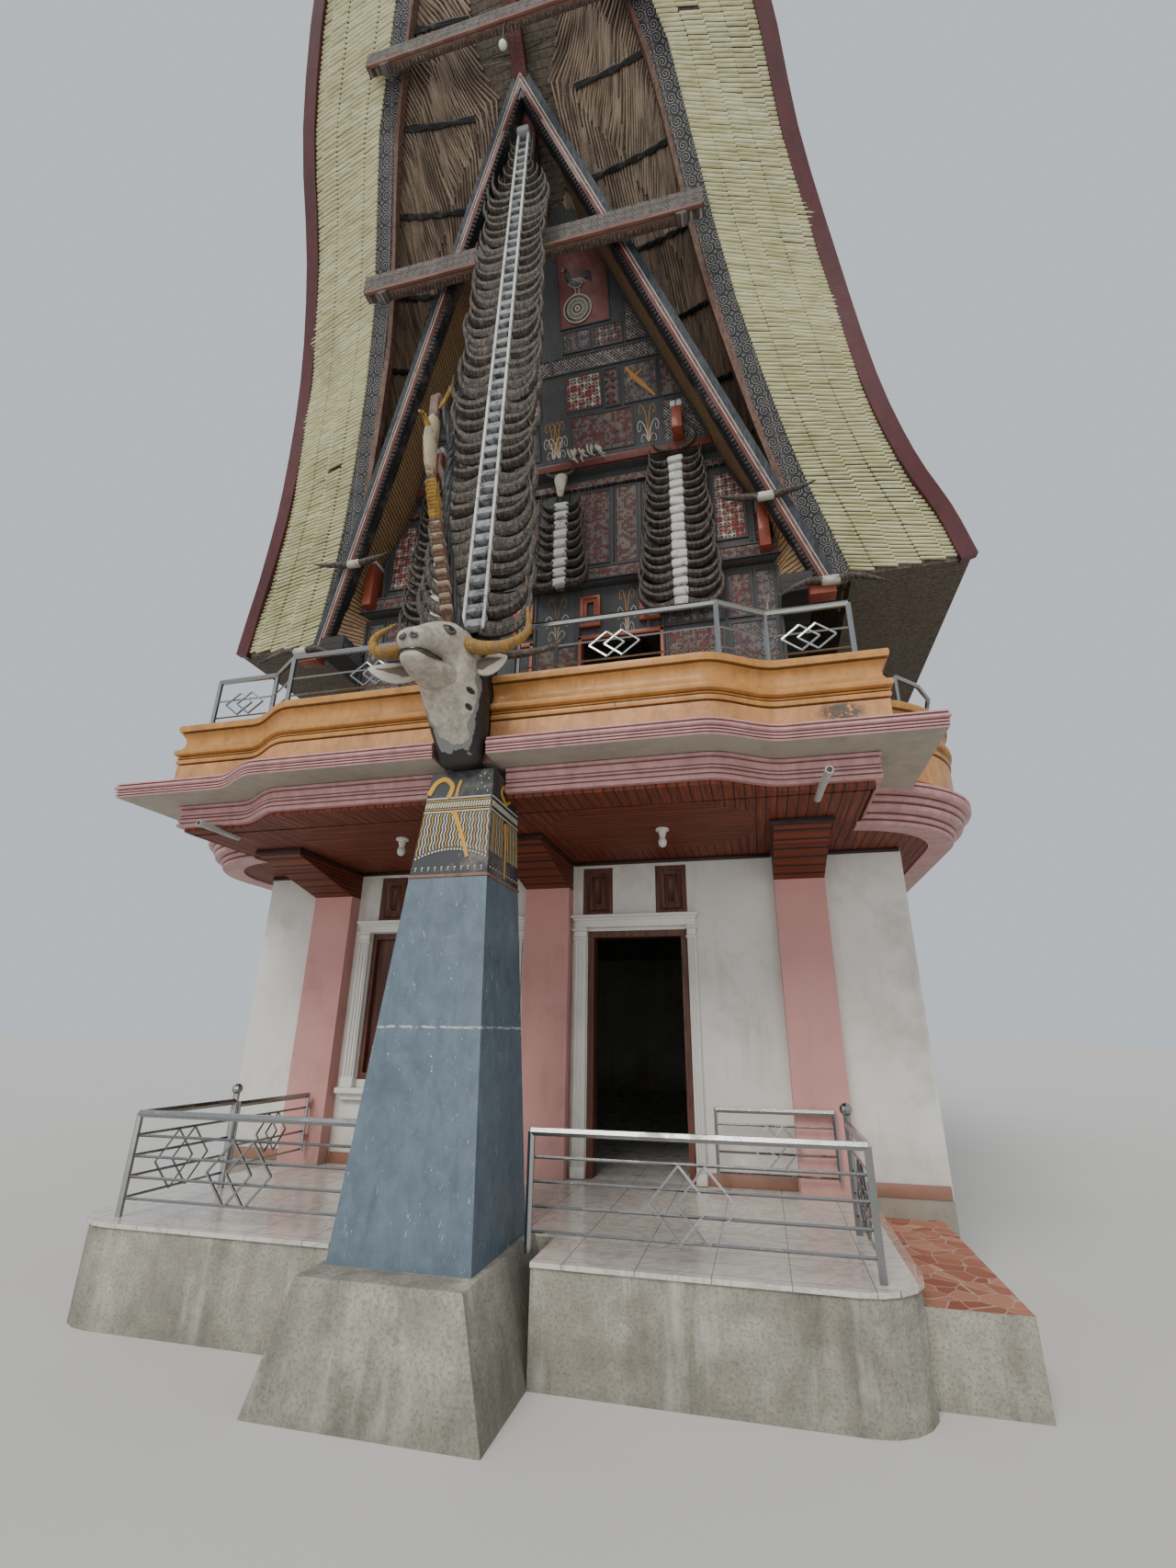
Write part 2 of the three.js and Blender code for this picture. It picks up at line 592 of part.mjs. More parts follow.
// Gallery edge of one side, cut off where the front bay begins
function sideRingSolid(side, grow) {
  const profile = ringProfile();
  const rings = edgePath(side).map((p) => profile.map(([out, z]) => [p.x + p.nx * out, p.y + p.ny * out, z]));
  const ring = solid(loft(profile, rings));
  const limit = PARAPET.half + GAP - grow;
  const [a, b] = side > 0 ? [-100, limit] : [-limit, 100];
  const inner = block(a, b, -7000, -4000, 3000, 5000);
  return cut(ring, inner);
}

function sideGalleries() {
  put("side_gallery_left", sideRingSolid(-1, -GAP), "pink");
  put("side_gallery_right", sideRingSolid(1, -GAP), "pink");
}

function floorSlab() {
  put("floor_slab", slabSolid(0, CEILING_Z, SLAB.top), "tile");
}

// Two crossing lozenges in the middle of a straight run
function lozenges([x0, y0], [x1, y1], z, { half, rise, shift }) {
  const length = Math.hypot(x1 - x0, y1 - y0);
  const at = (s, h) => [x0 + ((x1 - x0) * s) / length, y0 + ((y1 - y0) * s) / length, z + h];
  return [-shift, shift].flatMap((d) => {
    const s = length / 2 + d;
    const tips = [at(s - half, 0), at(s, rise), at(s + half, 0), at(s, -rise)];
    return tips.map((tip, i) => bar(tip, tips[(i + 1) % 4], RAIL.bar, 4));
  });
}

// Railing panel along a straight run: top tube, thin bars and lozenges
function railPanel(from, to, low, high, bars, lozenge) {
  return [
    ...bars.map((z) => levelTube([from, to], z, RAIL.bar, 4)),
    levelTube([from, to], high, RAIL.tube),
    ...lozenges(from, to, (low + high) / 2 - 20, lozenge),
  ];
}

function post(x, y, z0, z1, radius = RAIL.post) {
  return bar([x, y, z0], [x, y, z1], radius);
}

function terraceRails() {
  const bars = [FLOOR_Z + 110, FLOOR_Z + 235, FLOOR_Z + 360, FLOOR_Z + 485];
  const lozenge = { half: 170, rise: 190, shift: 75 };
  for (const side of [-1, 1]) {
    const corner = side < 0 ? GATE_X.left : GATE_X.right;
    const inner = side * 560;
    const pieces = [
      railPanel([inner, RAIL_Y], [corner, RAIL_Y], FLOOR_Z, RAIL.top, bars, lozenge),
      railPanel([corner, RAIL_Y], [corner, BALL_POST_Y], FLOOR_Z, RAIL.top, bars, lozenge),
      post(inner, RAIL_Y, FLOOR_Z, RAIL.top),
      post(corner, RAIL_Y, FLOOR_Z, RAIL.top),
      post(corner, BALL_POST_Y, FLOOR_Z, RAIL.top + 60, RAIL.tube),
      new THREE.SphereGeometry(42, 8, 6).rotateX(Math.PI / 2).translate(corner, BALL_POST_Y, RAIL.top + 95),
    ];
    put(side < 0 ? "terrace_rail_left" : "terrace_rail_right", join(pieces), "steel", 0.3, 1);
  }
}

// Gate leaf: framed panel with bars and lozenges, from its hinge stile along dx, dy
function gate(name, x, dx, dy) {
  const y = GATE.hingeY;
  const far = [x + dx * GATE.length, y + dy * GATE.length];
  const bars = [GATE.low + 20, GATE.low + 170, GATE.high - 120];
  const lozenge = { half: 130, rise: 150, shift: 60 };
  const pieces = [
    railPanel([x, y], far, GATE.low, GATE.high - 14, bars, lozenge),
    post(x, y, GATE.low, GATE.high, GATE.stile),
    post(...far, GATE.low, GATE.high, GATE.stile),
  ];
  put(name, join(pieces), "steel", 0.3, 1);
}

function balconyRails() {
  const z0 = PARAPET.top;
  const run = [[260, -6990], [1840, -6990], [2200, -6750], [2820, -6750]];
  const lozenge = { half: 140, rise: 110, shift: 60 };
  const pieces = [z0 + 120, z0 + 290].map((z) => levelTube(run, z, RAIL.bar, 4));
  pieces.push(levelTube(run, BALCONY_RAIL_TOP, RAIL.tube));
  for (const i of [0, 2]) pieces.push(lozenges(run[i], run[i + 1], z0 + 250, lozenge));
  for (const [x, y] of run) pieces.push(post(x, y, z0, BALCONY_RAIL_TOP));
  const right = join(pieces);
  put("balcony_rail_right", right, "steel", 0.3, 1);
  put("balcony_rail_left", flipX(right), "steel", 0.3, 1);
}

function sideRails() {
  const offset = 130;
  const path = edgePath(1).map((p) => [p.x + p.nx * offset, p.y + p.ny * offset]).slice(2);
  const last = path.at(-1);
  last[0] = RAIL.post + 5;
  const pieces = [levelTube(path, SIDE_RAIL_TOP, RAIL.post), levelTube(path, SIDE_PARAPET_TOP + 220, RAIL.bar, 4)];
  const straight = SLAB.halfLength - SLAB.corner;
  const stops = [-0.98, -0.5, 0, 0.5, 0.98].map((t) => [SLAB.half + offset, t * straight]);
  for (const [x, y] of [path[0], ...stops, [SLAB.half - SLAB.corner, last[1]], last]) {
    pieces.push(post(x, y, SIDE_PARAPET_TOP, SIDE_RAIL_TOP, RAIL.bar * 1.6));
  }
  const right = join(pieces);
  put("side_rail_right", right, "steel", 0.3, 1);
  put("side_rail_left", flipX(right), "steel", 0.3, 1);
}

function openingsOfFacade() {
  const high = SMALL_WINDOWS.flatMap(([a, b]) => [[a, b], [-b, -a]]);
  const holes = high.map(([a, b]) => rectangle(a, b, ...SMALL_WINDOW_Z));
  const { x0, x1, z0, z1 } = SHUTTER_HOLE;
  holes.push(rectangle(x0, x1, z0, z1));
  return holes;
}

// Timber walls of the body, standing on the slab
function bodyWalls() {
  const wall = rectangle(-BODY.half, BODY.half, SLAB.top, BODY.top);
  const front = frontWall(wall, BODY.front, BODY.front + BODY.board, openingsOfFacade());
  put("front_facade_lower", front, "carved");
  put("rear_facade_lower", rear(front), "carved");
  const y = -BODY.front - BODY.board - GAP;
  const panel = block(BODY.half - BODY.board, BODY.half, -y, y, SLAB.top, PLATE.z1);
  const lip = block(BODY.half - 10, PLATE.x, -PLATE.end, PLATE.end, PLATE.z0, PLATE.z1);
  const right = join(panel, lip);
  const top = BODY.top + GAP;
  const facade = solid(block(0, BODY.half + GAP, BODY.front - GAP, BODY.front + BODY.board + GAP, SLAB.top, top));
  const side = cut(right, facade, rear(facade));
  put("body_right_wall", side, "carved");
  put("body_left_wall", flipX(side), "carved");
}

// Band beam, second tier and gable beam as one framed panel
function upperFacade() {
  const y0 = BODY.front;
  const band = block(-BAND.half, BAND.half, y0 - BAND.depth, y0 + BODY.board, BODY.top, BAND.z1);
  const bend = RAFTER.topZ - ((TIER.half + RAFTER_COVER) * (RAFTER.topZ - RAFTER.footZ)) / RAFTER.x;
  const edge = [[TIER.half, BAND.z1 - 10], [TIER.half, bend], [facadeHalf(TIER.z1), TIER.z1]];
  const tier = frontWall([...edge.map(([x, z]) => [-x, z]).reverse(), ...edge], y0 - 60, y0 + BODY.board);
  const half = facadeHalf(GABLE_BEAM.z1);
  const beam = block(-half, half, GABLE_BEAM.front, y0 + BODY.board, TIER.z1 - 10, GABLE_BEAM.z1);
  return join(band, solid(tier), beam);
}

// Gable leaning forward in step with the rafters, its edges hidden behind them
function gable() {
  const z0 = GABLE_BEAM.z1;
  const [low, high] = [z0, z0 + GABLE_RISE].map(facadeHalf);
  const outline = [[low, 0], [high, GABLE_RISE], [-high, GABLE_RISE], [-low, 0]];
  const front = GABLE_BEAM.front + 60;
  const ring = (back) => outline.map(([x, h]) => [x, front + back - h * LEAN, z0 + h]);
  return solid(loft(outline, [ring(0), ring(BODY.board)]));
}

// Height along the saddle between the middle and the verge
function saddle(middle, end, v) {
  return middle + (end - middle) * Math.abs(v) ** SADDLE;
}

function middleHeight(z, low, top, ridge) {
  return low + ((z - low) * (ridge - low)) / (top - low);
}

function roofRing(v) {
  const outer = VERGE_OUTER.map(([x, y, z]) => {
    const mid = middleHeight(z, VERGE_OUTER[0][2], VERGE_OUTER.at(-1)[2], RIDGE_OUTER_Z);
    return [Math.max(x, GAP / 2), -v * y, saddle(mid, z, v)];
  });
  const inner = VERGE_INNER.map(([x, y, z]) => {
    const mid = middleHeight(z, VERGE_INNER[0][2], VERGE_INNER.at(-1)[2], RIDGE_INNER_Z);
    return [Math.max(x, GAP / 2), -v * y, saddle(mid, z, v)];
  });
  return [...outer, ...inner.reverse()];
}

// Triangles of the roof's end face, as level strips between its outer and inner edge
function vergeStrips() {
  const count = VERGE_OUTER.length + VERGE_INNER.length;
  const strips = [];
  let [o, i] = [0, 0];
  while (o < VERGE_OUTER.length - 1 || i < VERGE_INNER.length - 1) {
    const outerNext = VERGE_OUTER[o + 1]?.[2] ?? Infinity;
    const innerNext = VERGE_INNER[i + 1]?.[2] ?? Infinity;
    const step = outerNext <= innerNext ? o + 1 : count - 2 - i;
    strips.push([o, step, count - 1 - i]);
    if (outerNext <= innerNext) o++;
    else i++;
  }
  return strips;
}

// Right half of the roof, a thick bamboo shell
function roofHalf() {
  const outline = roofRing(-1).map(([x, , z]) => [x, z]);
  const rings = [];
  for (let i = 0; i <= ROOF_STATIONS; i++) {
    const t = (2 * i) / ROOF_STATIONS - 1;
    const v = Math.sign(t) * Math.abs(t) ** 0.75;
    rings.push(roofRing(v));
  }
  return solid(loft(outline, rings, vergeStrips()));
}

// Carved strip inside the front edge of the roof, both sides joined at the top
function vergeBoards() {
  const strip = VERGE_INNER.map(([x, y, z], i) => {
    const [px, , pz] = VERGE_INNER[Math.max(i - 1, 0)];
    const [nx, , nz] = VERGE_INNER[Math.min(i + 1, VERGE_INNER.length - 1)];
    const along = new THREE.Vector2(nx - px, nz - pz).normalize();
    const inward = new THREE.Vector2(-along.y, along.x);
    if (x === 0) return { edge: [-1, y, z], low: [-1, y, z - 1.4 * STRIP] };
    return { edge: [x + 30, y, z], low: [x + inward.x * STRIP, y, z + inward.y * STRIP] };
  });
  const rings = strip.map(({ edge, low }) => [
    edge, low, [low[0], low[1] + STRIP_THICK, low[2]], [edge[0], edge[1] + STRIP_THICK, edge[2]],
  ]);
  const half = solid(loft(rectangle(0, 1, 0, 1), rings));
  return join(half, flipX(half));
}

function rafterOuterX(z) {
  return (RAFTER.x * (RAFTER.topZ - z)) / (RAFTER.topZ - RAFTER.footZ);
}

// Half width of the facade at a height where the rafters hide its edge
function facadeHalf(z) {
  return rafterOuterX(z) - RAFTER_COVER;
}

// Inverted V of two leaning rafters
function rafters() {
  const y = (z) => RAFTER.footY - (z - RAFTER.footZ) * LEAN;
  const inner = RAFTER.width * 1.12;
  const low = RAFTER.footZ;
  const high = RAFTER.topZ - 130;
  const tip = RAFTER.topZ - (inner * (RAFTER.topZ - RAFTER.footZ)) / RAFTER.x;
  const outline = [
    [-RAFTER.x, low], [-RAFTER.x + inner, low], [0, tip], [RAFTER.x - inner, low], [RAFTER.x, low],
    [rafterOuterX(high), high], [-rafterOuterX(high), high],
  ];
  const ring = (back) => outline.map(([x, z]) => [x, y(z) + back, z]);
  return solid(loft(outline, [ring(RAFTER.thick), ring(0)]));
}

// Underside of the roof ridge at a distance from the middle
function innerRidgeZ(y) {
  const [, yEnd, zEnd] = VERGE_INNER.at(-1);
  return saddle(RIDGE_INNER_Z, zEnd, y / yEnd);
}

function ridgeBeam() {
  const { half, depth, drop, end } = RIDGE_BEAM;
  const rings = [];
  for (let i = 0; i <= RIDGE_BEAM.steps; i++) {
    const y = -end + (2 * end * i) / RIDGE_BEAM.steps;
    const top = innerRidgeZ(y) - drop;
    rings.push([[-half, y, top - depth], [half, y, top - depth], [half, y, top], [-half, y, top]]);
  }
  return solid(loft(rectangle(-1, 1, -1, 1), rings));
}

function tieBeam({ x, z, y, height, thick }) {
  return solid(block(-x, x, y, y + thick, z, z + height));
}

function rearPost() {
  const foot = taperedBox(REAR_POST.foot, REAR_POST.plinthTop);
  return join(foot, taperedBox(REAR_POST.shaftLow, REAR_POST.shaftTop));
}

// Sets one gable end: each piece gives way to the roof, the beam and what stands before it
function gableEnd(end, turn, shell, beamRoom, postSolid) {
  const posted = cut(turn(postSolid), beamRoom);
  put(end === "front" ? "main_post" : "rear_post", posted, "dark");
  const frame = cut(turn(rafters()), beamRoom, shell, withRoom(posted));
  put(`${end}_rafters`, frame, "carved");
  put(`${end}_gable`, cut(turn(gable()), beamRoom, shell), "carved");
  put(`${end}_facade_upper`, cut(turn(upperFacade()), shell), "carved");
  const shifted = [-1.2, -0.6, 0.6, 1.2].flatMap((y) => shell.map((half) => half.translate([0, y, 0])));
  put(`verge_boards_${end}`, cut(turn(vergeBoards()), shell, shifted), "carved");
  return { posted, frame };
}

function roofAndFrame() {
  const roof = roofHalf();
  const shell = [roof.translate([-0.5, 0, -0.5]), flipX(roof.translate([-0.5, 0, -0.5]))];
  const beam = cut(ridgeBeam(), shell);
  const beamRoom = withRoom(beam);
  put("roof_right", roof, "bamboo");
  put("roof_left", flipX(roof), "bamboo");
  put("ridge_beam", beam, "red");
  const { posted, frame } = gableEnd("front", (m) => m, shell, beamRoom, mainPost());
  gableEnd("rear", rear, shell, beamRoom, rearPost());
  const low = cut(tieBeam(TIE_LOW), shell, frame, frame.translate([0, -GAP, 0]), withRoom(posted));
  put("tie_beam_lower", low, "wood");
  const kingTop = innerRidgeZ(TIE_HIGH.y) - RIDGE_BEAM.drop - 60;
  const king = tieBeam({ ...TIE_HIGH, x: KING_BLOCK, height: kingTop - TIE_HIGH.z });
  const before = [roof, flipX(roof)].map((half) => half.translate([0, -1, 0]));
  put("tie_beam_upper", cut(join(tieBeam(TIE_HIGH), king), shell, before, beamRoom), "wood");
  const head = cut(buffaloHead(), withRoom(posted));
  put("buffalo_head", head, "head", 0.6);
  put("katik", cut(katik(), head.translate([0, 0, GAP]), head), "ochre");
}

// Brown timber frame and white moulded surround of the doorway
function doorway() {
  const surround = (x0, x1, top, inset) => [
    [x0, FLOOR_Z], [x0 + inset[0], FLOOR_Z], [x0 + inset[0], top - inset[2]], [x1 - inset[1], top - inset[2]],
    [x1 - inset[1], FLOOR_Z], [x1, FLOOR_Z], [x1, top], [x0, top],
  ];
  const y = FRONT_Y - DOOR_TRIM.depth;
  const trim = surround(DOOR_TRIM.x0, DOOR_TRIM.x1, DOOR_TRIM.top - 1,
    [DOOR.x0 - DOOR_TRIM.x0, DOOR_TRIM.x1 - DOOR.x1, DOOR_TRIM.top - DOOR.top]);
  put("door_trim", frontWall(trim, y, FRONT_Y - GAP), "white");
  const frame = surround(DOOR.x0 + GAP, DOOR.x1 - GAP, DOOR.top - GAP, [DOOR_FRAME, DOOR_FRAME, DOOR_FRAME]);
  put("door_frame", frontWall(frame, FRONT_Y, FRONT_Y + WALL), "wood");
}

function frontWindow() {
  const { x0, x1, z0, z1 } = WINDOW;
  const outer = rectangle(x0 + GAP, x1 - GAP, z0 + GAP, z1 - GAP);
  const third = (x1 - x0) / 3;
  const lights = [0, 1, 2].map((i) => rectangle(x0 + i * third + 45, x0 + (i + 1) * third - 45, z0 + 60, z1 - 60));
  const frame = frontWall(outer, FRONT_Y + 20, FRONT_Y + 90, lights);
  const pane = block(x0 + 20, x1 - 20, FRONT_Y + 85, FRONT_Y + 95, z0 + 20, z1 - 20);
  put("window_frame", join(frame, pane), "wood");
  const grow = WINDOW_TRIM;
  const trimOuter = rectangle(x0 - grow, x1 + grow, z0 - grow, z1 + 119);
  const trim = frontWall(trimOuter, FRONT_Y - 40, FRONT_Y - GAP, [rectangle(x0, x1, z0, z1)]);
  put("window_trim", trim, "white");
}

foundation();
terrace();
frontPillar();
groundWalls();
sideGlass();
wallPillars();
doorway();
frontWindow();
soffit();
floorSlab();
frontCanopy();
frontParapet();
sideGalleries();
terraceRails();
gate("gate_left", GATE_X.left, 0, -1);
gate("gate_right", GATE_X.right, -1, 0);
balconyRails();
sideRails();
bodyWalls();
roofAndFrame();
mainHornColumn();
FACADE_COLUMNS.forEach(facadeHornColumn);

export default house;
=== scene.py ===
# Looks of the tongkonan house: painted walls, carved boards, bamboo roof, buffalo horns and steel rails.
# Metres, +X right, +Y into the house, +Z up, the same frame as the solids.
import math
import random
from contextlib import contextmanager

import bpy
from mathutils import Matrix, Vector


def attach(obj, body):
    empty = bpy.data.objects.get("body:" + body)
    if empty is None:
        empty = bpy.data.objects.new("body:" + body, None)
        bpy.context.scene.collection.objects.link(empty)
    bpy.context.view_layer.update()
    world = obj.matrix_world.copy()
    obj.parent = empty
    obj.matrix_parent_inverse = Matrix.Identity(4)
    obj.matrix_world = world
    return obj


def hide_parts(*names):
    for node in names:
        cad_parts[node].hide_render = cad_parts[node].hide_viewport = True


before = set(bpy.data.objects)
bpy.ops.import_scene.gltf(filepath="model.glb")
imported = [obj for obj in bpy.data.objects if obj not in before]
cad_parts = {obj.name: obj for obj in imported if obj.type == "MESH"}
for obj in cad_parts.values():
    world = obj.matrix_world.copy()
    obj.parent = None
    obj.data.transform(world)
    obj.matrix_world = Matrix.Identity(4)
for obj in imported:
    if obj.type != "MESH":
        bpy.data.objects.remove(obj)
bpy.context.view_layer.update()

chance = random.Random(7)

# Camera, set at the height of a standing eye in front of the terrace
CAMERA_PLACE = (1.95, -11.41, 1.744)
CAMERA_LEFT = 13.95
CAMERA_UP = 20.38
CAMERA_ROLL = 0.61
CAMERA_LENS = 15.40

# Levels and lines of the house
FLOOR = 0.57
TERRACE_TOP = 0.545
STEP_X = 2.62
FACADE_Y = -5.11
TIER_Y = -5.17
GABLE_Y = -5.39
BAND_LEVEL = 6.76
GABLE_FOOT = 8.20
GABLE_LEVEL = 8.55
LEAN = 0.303
RAFTER_X = 2.95
RAFTER_FOOT = 6.08
RAFTER_TOP = 12.35
RAFTER_SLOPE = RAFTER_X / (RAFTER_TOP - RAFTER_FOOT)

# Painted and natural colours
BLACK_WOOD = "#1d1b1b"
CHALK = "#b7ad9c"
OXBLOOD = "#74291f"
TURMERIC = "#a98535"
INDIGO_GREY = "#39444c"


# Node trees


def paint(code):
    """Linear colour of a hex code"""
    parts = [int(code[i : i + 2], 16) / 255 for i in (1, 3, 5)]
    return (*[c / 12.92 if c <= 0.04045 else ((c + 0.055) / 1.055) ** 2.4 for c in parts], 1.0)


def sum_of(operation, swapped=False):
    """One operator of Value: a Math node, or a Vector Math node where the value is a vector"""

    def operator(self, other=0.0):
        a, b = (other, self) if swapped else (self, other)
        kind = "ShaderNodeVectorMath" if self.socket.type == "VECTOR" else "ShaderNodeMath"
        return self.wires.read(0, kind, {0: a, 1: b}, operation=operation)

    return operator


class Value:
    """What changes over a surface: a socket of a node tree that sums are written with"""

    def __init__(self, wires, socket):
        self.wires = wires
        self.socket = socket

    __add__ = sum_of("ADD")
    __sub__ = sum_of("SUBTRACT")
    __rsub__ = sum_of("SUBTRACT", swapped=True)
    __mul__ = sum_of("MULTIPLY")
    __truediv__ = sum_of("DIVIDE")
    __gt__ = sum_of("GREATER_THAN")
    __lt__ = sum_of("LESS_THAN")
    __abs__ = sum_of("ABSOLUTE")
    floor = sum_of("FLOOR")
    fract = sum_of("FRACT")
    sqrt = sum_of("SQRT")
    folded = sum_of("PINGPONG")

    def length(self):
        return self.wires.read("Value", "ShaderNodeVectorMath", {0: self}, operation="LENGTH")


class Wiring:
    """Short words for building one node tree"""

    def __init__(self, tree):
        self.tree = tree

    def feed(self, socket, value):
        """Wires a value to a socket, or sets a constant on it"""
        if isinstance(value, Value):
            self.tree.links.new(value.socket, socket)
        else:
            socket.default_value = value

    def node(self, kind, sockets=None, **settings):
        made = self.tree.nodes.new(kind)
        for key, setting in settings.items():
            setattr(made, key, setting)
        for key, value in (sockets or {}).items():
            self.feed(made.inputs[key], value)
        return made

    def read(self, output, kind, sockets=None, **settings):
        """One output of a new node"""
        return Value(self, self.node(kind, sockets, **settings).outputs[output])

    def named(self, node):
        """All outputs of a node by their names"""
        return {socket.name: Value(self, socket) for socket in node.outputs}

    def most(self, a, b):
        return self.read(0, "ShaderNodeMath", {0: a, 1: b}, operation="MAXIMUM")

    def least(self, a, b):
        return self.read(0, "ShaderNodeMath", {0: a, 1: b}, operation="MINIMUM")

    def turn(self, x, y):
        """Direction of a place seen from the middle, in whole turns"""
        return self.read(0, "ShaderNodeMath", {0: y, 1: x}, operation="ARCTAN2") / (2 * math.pi)

    def between(self, value, low, high, start=0.0, end=1.0):
        """Goes from start to end while the value goes from low to high"""
        return self.read(0, "ShaderNodeMapRange", {0: value, 1: low, 2: high, 3: start, 4: end})

    def near(self, value, middle, inner, outer):
        """1 where the value is within inner of a middle one, fading out to 0 at outer"""
        return self.between(abs(value - middle), inner, outer, 1.0, 0.0)

    def mix(self, factor, a, b):
        a, b = [paint(c) if isinstance(c, str) else c for c in (a, b)]
        return self.read(2, "ShaderNodeMix", {"Factor": factor, 6: a, 7: b}, data_type="RGBA")

    def noise(self, vector, scale, detail=4.0, roughness=0.55, distortion=0.0):
        sockets = {"Vector": vector, "Scale": scale, "Detail": detail}
        sockets.update({"Roughness": roughness, "Distortion": distortion})
        return self.read("Fac", "ShaderNodeTexNoise", sockets)

    def lot(self, number):
        """A random value of its own for each place of whole numbers"""
        return self.read("Value", "ShaderNodeTexWhiteNoise", {"Vector": number}, noise_dimensions="3D")

    def split(self, vector):
        return [Value(self, socket) for socket in self.node("ShaderNodeSeparateXYZ", {0: vector}).outputs]

    def join(self, x, y, z=0.0):
        return self.read(0, "ShaderNodeCombineXYZ", {0: x, 1: y, 2: z})

    def place(self):
        return self.read("Object", "ShaderNodeTexCoord")

    def facing(self):
        return self.split(self.read("Normal", "ShaderNodeNewGeometry"))

    def use(self, effect, **sockets):
        return self.named(self.node("ShaderNodeGroup", sockets, node_tree=effect))

    def weather(self, vector, scale, amount):
        return self.use(WEATHER, Vector=vector, Scale=scale, Amount=amount)["Mask"]

    def drips(self, vector, scale, amount):
        return self.use(DRIPS, Vector=vector, Scale=scale, Amount=amount)["Mask"]


def effect(name, inputs, outputs, build):
    """A node group; build gets its wiring and inputs and gives back a value for each output"""
    tree = bpy.data.node_groups.new(name, "ShaderNodeTree")
    for key, value in inputs.items():
        kind = "NodeSocketVector" if value is None else "NodeSocketFloat"
        socket = tree.interface.new_socket(name=key, in_out="INPUT", socket_type=kind)
        if value is not None:
            socket.default_value = value
    for key in outputs:
        kind = "NodeSocketColor" if key == "Colour" else "NodeSocketFloat"
        tree.interface.new_socket(name=key, in_out="OUTPUT", socket_type=kind)
    wires = Wiring(tree)
    made = build(wires, wires.named(tree.nodes.new("NodeGroupInput")))
    out = tree.nodes.new("NodeGroupOutput")
    for key in outputs:
        wires.feed(out.inputs[key], made[key])
    return tree


class Finish:
    """A material whose Principled shader reads the patterns that its wiring makes"""

    def __init__(self, name, roughness=0.6, metallic=0.0, **constants):
        self.material = bpy.data.materials.new(name)
        self.material.use_nodes = True
        self.wires = Wiring(self.material.node_tree)
        self.shader = self.material.node_tree.nodes["Principled BSDF"]
        self.shader.inputs["Roughness"].default_value = roughness
        self.shader.inputs["Metallic"].default_value = metallic
        for key, value in constants.items():
            self.shader.inputs[key.replace("_", " ").title()].default_value = value

    def show(self, colour, roughness=None, height=None, depth=0.002):
        """Wires the patterns to the shader; depth is how far the height stands out"""
        inputs = self.shader.inputs
        self.wires.feed(inputs["Base Color"], colour)
        if roughness is not None:
            self.wires.feed(inputs["Roughness"], roughness)
        if height is not None:
            sockets = {"Height": height, "Distance": depth, "Strength": 1.0}
            self.wires.feed(inputs["Normal"], self.wires.read(0, "ShaderNodeBump", sockets))
        return self.material


def begun(name, roughness=0.6, metallic=0.0, **constants):
    """A new finish with its wiring and the place on the object that its patterns read"""
    made = Finish(name, roughness, metallic, **constants)
    return made, made.wires, made.wires.place()


# Shared effects


def build_weather(w, given):
    broad = w.noise(given["Vector"], given["Scale"], 6.0, 0.62)
    fine = w.noise(given["Vector"], given["Scale"] * 7.3, 4.0, 0.6)
    both = broad * 0.7 + fine * 0.3
    edge = 0.72 - given["Amount"] * 0.42
    return {"Mask": w.between(both, edge, edge + 0.12)}


def build_drips(w, given):
    long = given["Vector"] * (1.0, 1.0, 0.07)
    run = w.noise(long, given["Scale"], 5.0, 0.6)
    broken = w.noise(given["Vector"], given["Scale"] * 0.35, 4.0)
    edge = 0.66 - given["Amount"] * 0.3
    both = run * w.between(broken, 0.3, 0.7, 0.75, 1.15)
    return {"Mask": w.between(both, edge, edge + 0.2)}


def build_grain(w, given):
    """Fibres along the vector's X"""
    long = given["Vector"] * (0.06, 1.0, 1.0)
    fibre = w.noise(long, given["Scale"], 6.0, 0.7, 0.4)
    crack = w.noise(long, given["Scale"] * 2.7, 2.0, 0.5, 0.2)
    return {"Fibre": w.between(fibre, 0.3, 0.72), "Crack": w.between(crack, 0.62, 0.7)}


def build_boards(w, given):
    """Boards of one width side by side; Across runs over them"""
    at = given["Across"] / given["Width"]
    number = at.floor()
    inside = at - number
    edge = w.least(inside, 1.0 - inside) * given["Width"]
    tone = w.read("Value", "ShaderNodeTexWhiteNoise", {"W": number}, noise_dimensions="1D")
    return {"Groove": w.between(edge, given["Gap"], given["Gap"] * 2.0, 1.0, 0.0), "Tone": tone}


def in_cell(given):
    """Place in a cell of a pattern, from -0.5 to 0.5 both ways; every second cell is a mirror image"""
    return [(given[key] / given["Cell"]).folded(1.0) - 0.5 for key in "UV"]


def off_middle(across, up):
    """Distance from the middle of a cell, 1 at its edge"""
    return (across * across + up * up).sqrt() * 2.0


def build_scrolls(w, given):
    """Mirrored spirals in a square lattice, as chalk lines with a filled ground"""
    across, up = in_cell(given)
    radius = off_middle(across, up)
    arm = (radius * 2.1 - w.turn(across, up)).fract()
    line = w.near(arm, 0.5, 0.08, 0.17)
    disc = w.between(radius, 0.96, 1.06, 1.0, 0.0)
    corner = w.near(radius, 1.24, 0.03, 0.07)
    return {"Line": w.most(line * disc, corner), "Fill": disc * (1.0 - line)}


def build_lozenges(w, given):
    """Nested lozenges with a bead in the middle"""
    across, up = in_cell(given)
    away = abs(across) + abs(up)
    line = w.near((away * 3.0).fract(), 0.5, 0.1, 0.2)
    return {"Line": line, "Fill": w.between(away, 0.30, 0.34, 1.0, 0.0)}


